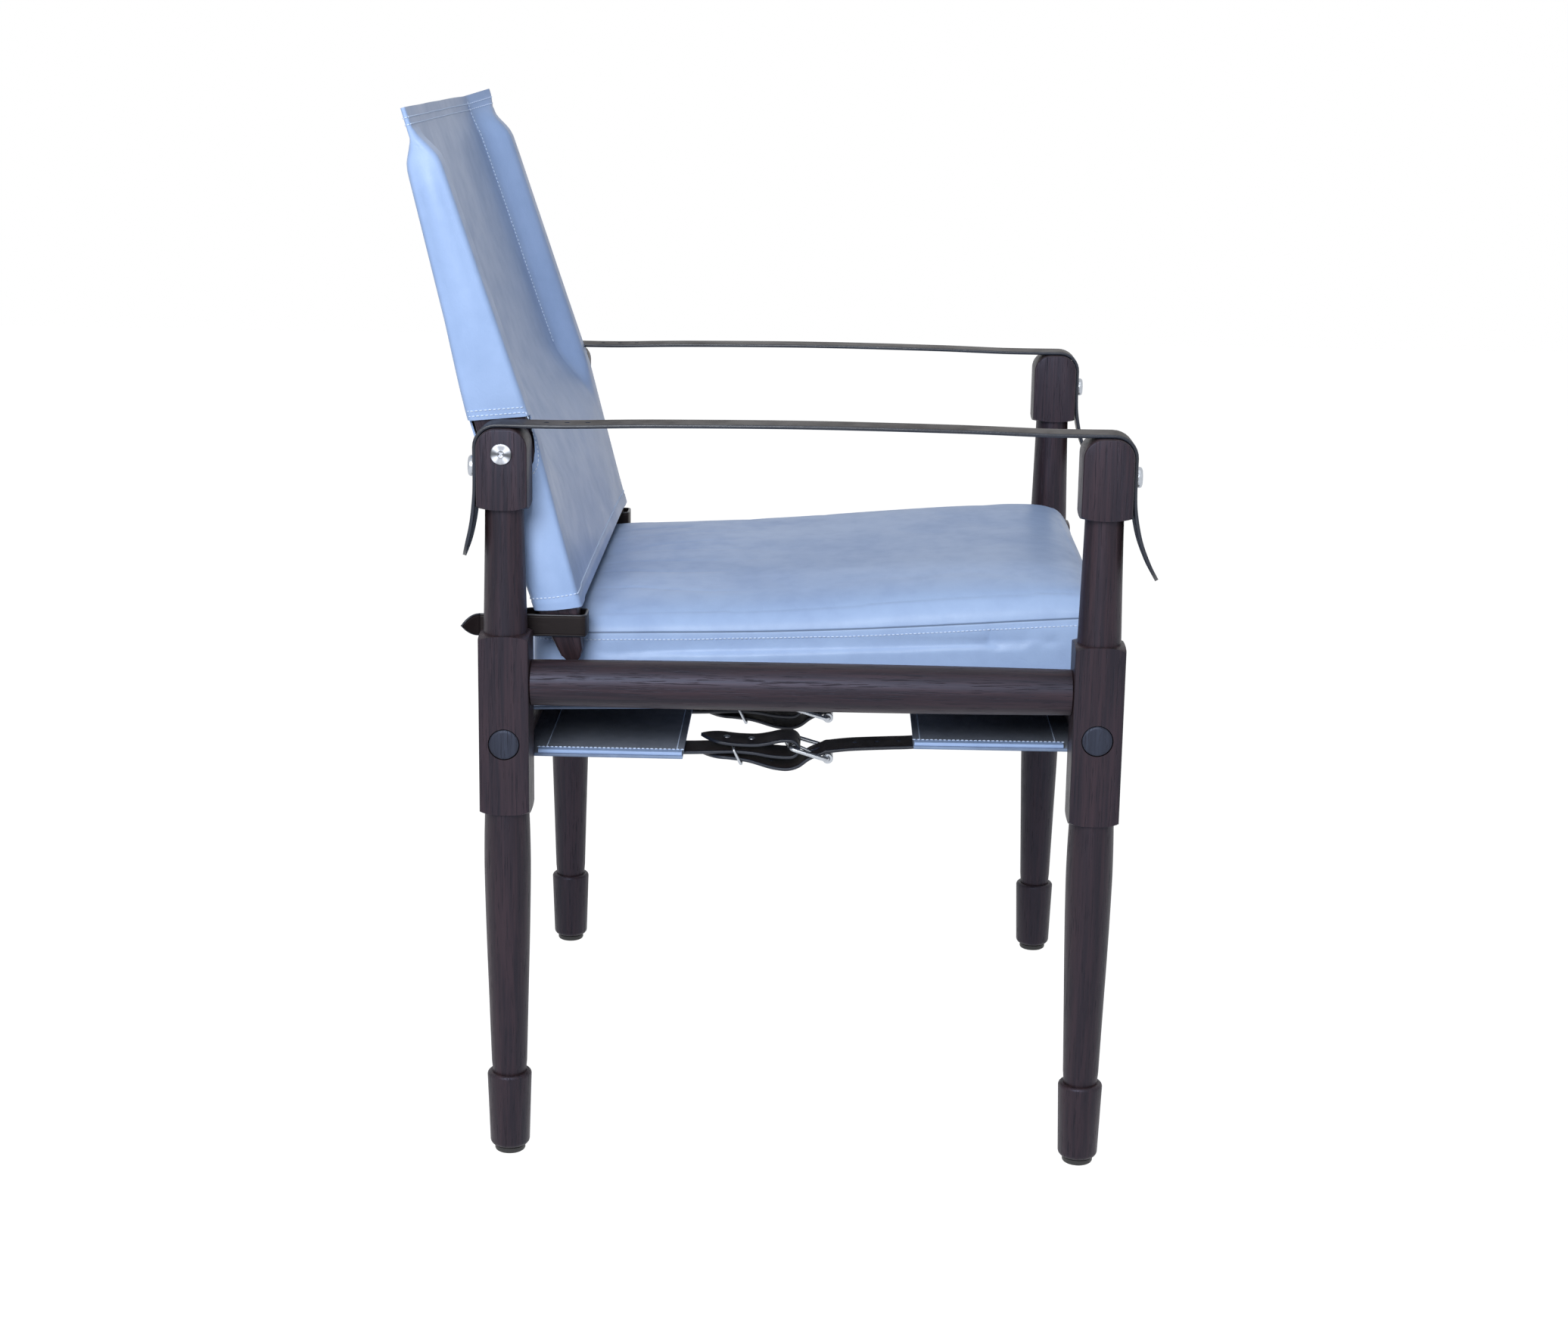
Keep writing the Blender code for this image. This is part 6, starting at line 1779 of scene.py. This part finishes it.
def front_strap_points():
    under = FRONT_FLAP_Z - SLING_THICKNESS / 2 - GAP - STRAP_THICKNESS / 2
    over = arc(ROLLER_Y, ROLLER_Z, ROLLER_RADIUS + GAP + STRAP_THICKNESS / 2, 95, 50, 4)
    run = [(FRONT_FLAP_Y - 0.060, under), (FRONT_FLAP_Y - 0.03, under - 0.0008), (FRONT_FLAP_Y, under - HANG)]
    run += [(mix(FRONT_FLAP_Y, over[0][0], along), mix(under, over[0][1], drop) - HANG * (1 - along) ** 3)
            for along, drop in FRONT_RUN_SHARES]
    return run + over + [(HEEL_Y + RETURN_LENGTH * along, HEEL_Z - BELLY_DROP * drop)
                         for along, drop in BELLY_SHARES]


# %% Slots, holes and pointed halves
STRAP_TIP = 0.022
STRAP_HOLE_PLACES = (-0.087, -0.068, -0.048, 0.026)
STRAP_HOLE_RADIUS = 0.0022
RIVET_DISTANCES = (0.023, 0.045)
REAR_SLOT = (0.0025, 0.0045, 0.0022)
FRONT_SLOT = (0.0025, 0.0065, 0.0024)


def rounded_rectangle(half_x, half_y, corner, steps=6):
    points = []
    for sign_x, sign_y, start in ((1, 1, 0), (-1, 1, 90), (-1, -1, 180), (1, -1, 270)):
        for step in range(steps + 1):
            angle = math.radians(start + 90 * step / steps)
            points.append((sign_x * (half_x - corner) + corner * math.cos(angle),
                           sign_y * (half_y - corner) + corner * math.sin(angle)))
    return points


def upright_prism(outline, low, high):
    """Extrude an outline of (x, y) points from one height to another."""
    return extruded(*([(x, y, height) for x, y in outline] for height in (low, high)))


def prong_slot(size, x, y, z, reach):
    """Tool for the slot that the prong passes through; size is half width, half length, corner."""
    return upright_prism([(x + a, y + b) for a, b in rounded_rectangle(*size)], z - reach, z + reach)


def strap_half(name, points, x):
    """Sweep one half of a strap, pointed at its free end. Returns it with its centre line."""
    line = finer_ends(smooth_line([(x, y, z) for y, z in points], 0.0025), STRAP_TIP, False, True)
    widths = tip_widths(line, STRAP_HALF_WIDTH, 0, STRAP_TIP)
    return object_of(name, strap_mesh(line, widths, STRAP_THICKNESS, (1, 0, 0)), STRAP_FACES), line


def add_rear_strap(number, x):
    """The half folded round the heel bar. Returns the places of its rivets."""
    strap, line = strap_half("dressed_sling_rear_strap_%d" % number, rear_strap_points(), x)
    cut(strap, [prong_slot(REAR_SLOT, x, HEEL_Y - 0.0064, FOLD_Z, 0.0055)])
    hand_over(strap, "frame", "strap_leather", "sling_rear_strap_%d" % number)
    top = [point for point in line if point.z > FOLD_Z + 0.001]
    places = [HEEL_Y + RETURN_LENGTH - distance for distance in RIVET_DISTANCES]
    return [Vector((x, y, line_height(top, y) + STRAP_THICKNESS / 2)) for y in places]


def add_front_strap(number, x):
    """The half that goes over the roller, with its punched holes."""
    strap, line = strap_half("dressed_sling_front_strap_%d" % number, front_strap_points(), x)
    tools = []
    for y in STRAP_HOLE_PLACES:
        place = (x, CENTRE_Y + y, line_height(line, CENTRE_Y + y))
        tools.append(hole_tool(place, (0, 0.1, 1), STRAP_HOLE_RADIUS, 0.0035))
    slot_y = mix(ROLLER_Y, HEEL_Y, 0.41)
    tools.append(prong_slot(FRONT_SLOT, x, slot_y, line_height(line, slot_y), 0.0085))
    cut(strap, tools)
    hand_over(strap, "frame", "strap_leather", "sling_front_strap_%d" % number)


print("prong slots %.4f m wide" % (2 * REAR_SLOT[0]))

# %% Buckles, rollers and keeper loops
BUCKLE_HALF_WIDTH = 0.023
BUCKLE_CORNER = 0.005
BUCKLE_WIRE = 0.002
PRONG_WIRE = 0.0015
PRONG_END = (0.0014, 0.0012, 0.0008)
PRONG_LOOP = 0.0033
PRONG_LENGTH = 0.039
PRONG_LIFT = 0.00655
PRONG_BOW = 0.0012
ROLLER_HALF = 0.018
ROLLER_BORE = 0.0024
LOOP_WIRE = 0.0013
LOOP_LOW_END, LOOP_HIGH_END = 0.0431, 0.0501


def tube_mesh(line, radius, closed=True, facets=16):
    """Sweep a round section along a line of points; radius is a number or one number a point."""
    bm = bmesh.new()
    count = len(line)
    radii = radius if isinstance(radius, list) else [radius] * count
    rings = []
    side = None
    for index, centre in enumerate(line):
        before = line[(index - 1) % count] if closed else line[max(index - 1, 0)]
        after = line[(index + 1) % count] if closed else line[min(index + 1, count - 1)]
        along = (after - before).normalized()
        if side is None:
            side = along.orthogonal()
        side = (side - along * side.dot(along)).normalized()
        up = along.cross(side)
        rings.append([bm.verts.new(centre + (side * math.cos(math.tau * k / facets)
                                             + up * math.sin(math.tau * k / facets)) * radii[index])
                      for k in range(facets)])
    pairs = list(zip(rings, rings[1:]))
    if closed:
        first = min(range(facets), key=lambda k: (rings[0][k].co - rings[-1][0].co).length)
        pairs.append((rings[-1], rings[0][first:] + rings[0][:first]))
    for ring0, ring1 in pairs:
        for k in range(facets):
            after = (k + 1) % facets
            bm.faces.new((ring0[k], ring0[after], ring1[after], ring1[k]))
    if not closed:
        bm.faces.new(rings[0][::-1])
        bm.faces.new(rings[-1])
    bmesh.ops.recalc_face_normals(bm, faces=bm.faces)
    return mesh_of(bm)


def add_buckle(number, x):
    centre = Vector((x, (HEEL_Y + ROLLER_Y) / 2, (HEEL_Z + ROLLER_Z) / 2))
    along = Vector((0, math.cos(BUCKLE_TILT), math.sin(BUCKLE_TILT)))
    outline = rounded_rectangle(BUCKLE_HALF_WIDTH, BUCKLE_LENGTH / 2, BUCKLE_CORNER)
    wire = [centre + Vector((a, 0, 0)) + along * b for a, b in outline]
    dress("buckle_frame_%d" % number, tube_mesh(wire, BUCKLE_WIRE), [nickel], "frame", "steel", 60)


def add_prong(number, x):
    """A rod bent round the heel bar and laid on the strap over the roller, thinner at its end."""
    drop = BUCKLE_TILT + math.asin(PRONG_LIFT / BUCKLE_LENGTH)
    down = Vector((0, -math.cos(drop), -math.sin(drop)))
    heel = Vector((x, HEEL_Y, HEEL_Z))
    around = down.cross(Vector((1, 0, 0)))
    loop = [heel + (down * math.cos(math.radians(a)) + around * math.sin(math.radians(a))) * PRONG_LOOP
            for a in range(-200, -20, 20)]
    rod = loop + [heel + down * d + around * (PRONG_BOW * math.sin(d / PRONG_LENGTH * math.pi) - 0.0008)
                  for d in (0.005, 0.009, 0.014, 0.02, 0.026, 0.032, 0.036, 0.038, PRONG_LENGTH)]
    radii = [PRONG_WIRE] * (len(rod) - len(PRONG_END)) + list(PRONG_END)
    prong = object_of("buckle_prong_%d" % number, tube_mesh(rod, radii, False, 14), [nickel], 60)
    hand_over(prong, "frame", "steel")


def add_roller(number, x):
    half, chamfer = ROLLER_HALF, 0.0006
    profile = [(ROLLER_BORE, half), (0.0042, half), (ROLLER_RADIUS, half - chamfer),
               (ROLLER_RADIUS, -half + chamfer), (0.0042, -half), (ROLLER_BORE, -half), (ROLLER_BORE, half)]
    mesh = turn_mesh(profile, 40, axis_matrix((x, ROLLER_Y, ROLLER_Z), (1, 0, 0)))
    dress("buckle_roller_%d" % number, mesh, [nickel], "roller_%d" % number, "steel")


def add_keeper_loop(number, x):
    """A wire loop round all the layers, as large as the CAD's box and leaning back at its top."""
    low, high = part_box("keeper_loop_%d" % number)
    half_z = (high.z - low.z) / 2 - LOOP_WIRE
    points = []
    for a, b in rounded_rectangle((high.x - low.x) / 2 - LOOP_WIRE, half_z, 2 * LOOP_WIRE):
        y = HEEL_Y + mix(LOOP_LOW_END, LOOP_HIGH_END, (b + half_z) / (2 * half_z))
        points.append(Vector((x + a, y, (low.z + high.z) / 2 + b)))
    dress("keeper_loop_%d" % number, tube_mesh(points, LOOP_WIRE), [nickel], "frame", "steel", 60)


rivet_places = []
for number, x in enumerate(STRAP_PLACES, 1):
    rivet_places += add_rear_strap(number, x)
    for add_piece in (add_front_strap, add_buckle, add_prong, add_roller, add_keeper_loop):
        add_piece(number, x)
print("strap sets:", len(STRAP_PLACES))

# %% Rivets on the folded ends
RIVET_SIZE = {"Diameter": 0.0066, "Height": 0.0032}
upward = [Vector((0, 0, 1))] * len(rivet_places)
rivets = repeat_along("strap_rivets", RIVET_TREE, rivet_places, upward, [], nickel, RIVET_SIZE)
hand_over(rivets, "frame", "steel")
print("rivets:", len(rivet_places))

# %% [markdown]
# ## The seat cushion
# The cushion is a box of hide filled with foam: a top and a bottom panel sewn to a band. Foam
# presses the leather out, so the top crowns and the sides pull in between the corners. Cloth
# with pressure gives that shape: the plain cushion is remeshed evenly, its underside is held on
# the sling, and it is blown up for twenty frames. How far a point moves is capped, so that it
# keeps its size. The seam is pressed in afterwards, because remeshing would wipe it out.

# %% Blow up the cushion
CUSHION_HALF_X = 0.233
CUSHION_HALF_Y = 0.2535
CUSHION_CORNER = 0.024
BAND_FRONT = 0.0697
BAND_REAR = 0.0615
DRAWN_IN = 0.99
DRAWN_DOWN = 0.985
VOXEL = 0.005
PRESSURE = 4.0
CUSHION_CAP = 0.008
SEAM_SAG = ((-0.2535, 0.0), (-0.215, 0.0004), (-0.055, 0.005), (0.051, 0.0058), (0.194, 0.0034),
            (0.2535, 0.002))
SLOPE = math.atan((FRONT_RAIL_HEIGHT - REAR_RAIL_HEIGHT) / (2 * HALF_Y))
CUSHION_MATRIX = Matrix.Translation((0, CENTRE_Y - 0.0165, 0.410383)) @ Matrix.Rotation(-SLOPE, 4, "X")


def band_height(y):
    return mix(BAND_FRONT, BAND_REAR, (y + CUSHION_HALF_Y) / (2 * CUSHION_HALF_Y))


def seam_height(y):
    return band_height(y) * DRAWN_DOWN - table(SEAM_SAG, y)


def even_cushion():
    """The plain cushion, merged, drawn in a little and remeshed evenly, in its own space.

    The band is lower at the rear, so it is first drawn out to one height: its seam then follows
    a row of the even mesh. The fit takes that back.
    """
    bm = bmesh.new()
    bm.from_mesh(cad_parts["seat_cushion"].data)
    bmesh.ops.remove_doubles(bm, verts=bm.verts, dist=1e-5)
    bmesh.ops.transform(bm, matrix=CUSHION_MATRIX.inverted(), verts=bm.verts)
    for vert in bm.verts:
        level = BAND_FRONT / band_height(vert.co.y)
        vert.co = Vector((vert.co.x * DRAWN_IN, vert.co.y * DRAWN_IN, vert.co.z * DRAWN_DOWN * level))
    obj = object_of("dressed_seat_cushion", mesh_of(bm), [cushion_hide], 180)
    remesh = obj.modifiers.new("Even", "REMESH")
    remesh.mode = "VOXEL"
    remesh.voxel_size = VOXEL
    return applied(obj)


def blow_up(obj, pressure, cap):
    """Let the air press the skin out for twenty frames, and move no point further than a cap."""
    start = [vert.co.copy() for vert in obj.data.vertices]
    held = obj.vertex_groups.new(name="underside")
    held.add([k for k, point in enumerate(start) if point.z < 0.006], 1.0, "REPLACE")
    cloth = obj.modifiers.new("Blow up", "CLOTH")
    cloth.settings.use_pressure = True
    cloth.settings.uniform_pressure_force = pressure
    cloth.settings.effector_weights.gravity = 0
    cloth.settings.vertex_group_mass = "underside"
    for number in range(1, 21):
        scene.frame_set(number)
    applied(obj)
    scene.frame_set(1)
    for vert, before in zip(obj.data.vertices, start):
        move = vert.co - before
        if move.length > cap:
            vert.co = before + move.normalized() * cap
    obj.vertex_groups.clear()


cushion = even_cushion()
print("even cushion:", len(cushion.data.vertices), "points")
blow_up(cushion, PRESSURE, CUSHION_CAP)
finer = cushion.modifiers.new("Finer", "SUBSURF")
finer.levels = 1
finer.render_levels = 1
applied(cushion)
print("cushion height %.4f" % max(vert.co.z for vert in cushion.data.vertices))

# %% Press in the seam and crease the hide
EDGE_ZONE = 0.016
ROLL_REAR, ROLL_FRONT = 0.0195, 0.029
SLOW_CROWN = 0.004
BAND_PUFF = 0.0016
BAND_INSET = 0.0012
REAR_CREASE, TOP_CREASE = 0.0009, 0.0005
TOP_WAVES = 0.0011
GROOVE_DEPTH = 0.0013
GROOVE_WIDTH = 0.0024


def ridge(x, y, z):
    """Long thin ridges, where slow noise goes through zero."""
    return 1 - min(1.0, abs(noise.noise(Vector((x, y, z)))) * 3.2)


def plan_distance(x, y):
    """Signed distance to the cushion's rounded outline, negative inside, and the way out of it."""
    qx = abs(x) - CUSHION_HALF_X + CUSHION_CORNER
    qy = abs(y) - CUSHION_HALF_Y + CUSHION_CORNER
    if qx > 0 and qy > 0:
        length = math.hypot(qx, qy)
        return length - CUSHION_CORNER, Vector((math.copysign(qx, x), math.copysign(qy, y), 0)) / length
    if qx > qy:
        return qx - CUSHION_CORNER, Vector((math.copysign(1, x), 0, 0))
    return qy - CUSHION_CORNER, Vector((0, math.copysign(1, y), 0))


def crown_height(x, y):
    """How far the top panel stands above the seam: a full roll at the edge, then a slow crown."""
    gap_x = max(1e-5, CUSHION_HALF_X - abs(x))
    gap_y = max(1e-5, CUSHION_HALF_Y - abs(y))
    inside = min(max(0.0, -plan_distance(x, y)[0]), (gap_x ** -2 + gap_y ** -2) ** -0.5)
    front = ease((0.1 - y) / 0.3)
    roll = mix(ROLL_REAR, ROLL_FRONT, front) * (1 - math.exp(-inside / mix(0.015, 0.0125, front)))
    slow = SLOW_CROWN * (1 - (x / CUSHION_HALF_X) ** 2) * (1 - (y / CUSHION_HALF_Y) ** 2)
    return roll + max(0.0, slow) + table(SEAM_SAG, y) * (1 - math.exp(-inside / 0.03))


def wall_puff(x, y, height, seam):
    """How far the band stands out of the outline: fullest half-way up, drawn in at its seams."""
    puff = BAND_PUFF * (1 - (2 * min(1.0, height / seam) - 1) ** 2) - BAND_INSET
    puff += 0.0007 * noise.noise(Vector((x * 11, y * 11, height * 9)))
    return puff - 0.004 * max(0.0, 1 - height / 0.006) ** 2


def edge_point(place, out, inset, height, seam):
    """Follow a ray from inside the edge, at this point's angle, out to the seam and roll."""
    across, up = EDGE_ZONE - inset, height - (seam - EDGE_ZONE)
    length = math.hypot(across, up)
    near, far = 0.0, 0.06
    for _ in range(14):
        middle = (near + far) / 2
        r = EDGE_ZONE - across / length * middle
        z = seam - EDGE_ZONE + up / length * middle
        x, y = place.x + out.x * (inset - r), place.y + out.y * (inset - r)
        within = r > -wall_puff(x, y, z, seam) if z < seam else r > 0 and z < seam + crown_height(x, y)
        near, far = (middle, far) if within else (near, middle)
    return Vector((x, y, z))


def fit_cushion(mesh):
    """Fit the blown-up cushion to its seam line and round the roll above it."""
    for vert in mesh.vertices:
        x, y, z = vert.co
        z *= band_height(y) / BAND_FRONT
        old_seam = band_height(y) * DRAWN_DOWN
        seam = seam_height(y)
        reach, out = plan_distance(x, y)
        height = z * seam / old_seam if z < old_seam else seam + z - old_seam
        if -reach > EDGE_ZONE and z > old_seam * 0.6:
            vert.co = Vector((x, y, mix(height, seam + crown_height(x, y), 0.94)))
        elif -reach < EDGE_ZONE and height > seam - EDGE_ZONE:
            vert.co = edge_point(vert.co, out, -reach, height, seam)
        elif -reach < EDGE_ZONE:
            side = ease((reach + EDGE_ZONE) / 0.006)
            vert.co = Vector((x, y, max(0.0, height))) + out * (wall_puff(x, y, height, seam) - reach) * side


def crease_cushion(mesh):
    """Press in the seam, crease the hide and mark how far each point lies from the seam."""
    layer = mesh.attributes.new("seam_distance", "FLOAT", "POINT")
    distances = []
    for vert in mesh.vertices:
        x, y, z = vert.co
        reach, out = plan_distance(x, y)
        above = z - seam_height(y)
        quiet = ease((-reach - 0.004) / 0.03) if above > 0 else 0.0
        rear = ease((y + 0.02) / 0.2)
        crease = ridge(x * 26, y * 6 + 3.0, 1.7) ** 3 * REAR_CREASE * rear
        crease += ridge(x * 6, y * 10, 8.1) ** 3 * TOP_CREASE
        waves = noise.noise(Vector((x * 7, y * 6, 4.0))) * TOP_WAVES
        groove = -GROOVE_DEPTH * math.exp(-(above / GROOVE_WIDTH) ** 2) * ease((reach + 0.012) / 0.008)
        vert.co = Vector((x, y, z + (waves - crease) * quiet)) + out * groove
        distances.append(above if reach > -0.012 else 1.0)
    layer.data.foreach_set("value", distances)


fit_cushion(cushion.data)
smooth = cushion.modifiers.new("Smooth", "SMOOTH")
smooth.factor = 0.5
smooth.iterations = 3
applied(cushion)
crease_cushion(cushion.data)
cushion.data.shade_smooth()
cushion.data.transform(CUSHION_MATRIX)
hand_over(cushion, "cushion", "leather", "seat_cushion")
low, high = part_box("seat_cushion")
print("CAD cushion top %.4f, dressed top %.4f" % (high.z, max(vert.co.z for vert in cushion.data.vertices)))
print("cushion:", len(cushion.data.polygons), "faces")

# %% Cushion stitches
BOTTOM_SEAM = 0.007
ROW_FROM_SEAM = 0.006


def band_row(from_seam, low=False):
    """A row round the band, below the top seam or above the bottom one."""
    outline = rounded_rectangle(CUSHION_HALF_X, CUSHION_HALF_Y, CUSHION_CORNER, 8)
    row = []
    for (x0, y0), (x1, y1) in zip(outline, outline[1:] + outline[:1]):
        count = max(1, round(math.hypot(x1 - x0, y1 - y0) / 0.01))
        for k in range(count):
            x, y = mix(x0, x1, k / count), mix(y0, y1, k / count)
            z = BOTTOM_SEAM + from_seam if low else seam_height(y) - from_seam
            row.append(CUSHION_MATRIX @ Vector((x, y, z)))
    return row


rows = [(band_row(ROW_FROM_SEAM), True), (band_row(ROW_FROM_SEAM, True), True)]
sew("cushion_stitches", cushion, rows, "cushion", "leather")

# %% [markdown]
# ## Metal that stays as the CAD made it
# The bolts, bushings and keeper studs are small round metal pieces whose solids already have the
# right shape, so they keep their meshes and only take the nickel finish.

# %% Finish the kept pieces
kept = ["rail_bolt_%s_%s" % (end_name, side_name) for _, end_name in ENDS for _, side_name in SIDES]
kept += ["%s_%s" % (piece, side_name) for piece in ("pivot_bushing", "keeper_stud") for _, side_name in SIDES]
for name in kept:
    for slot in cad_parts[name].material_slots:
        slot.material = nickel
print("kept pieces:", len(kept))
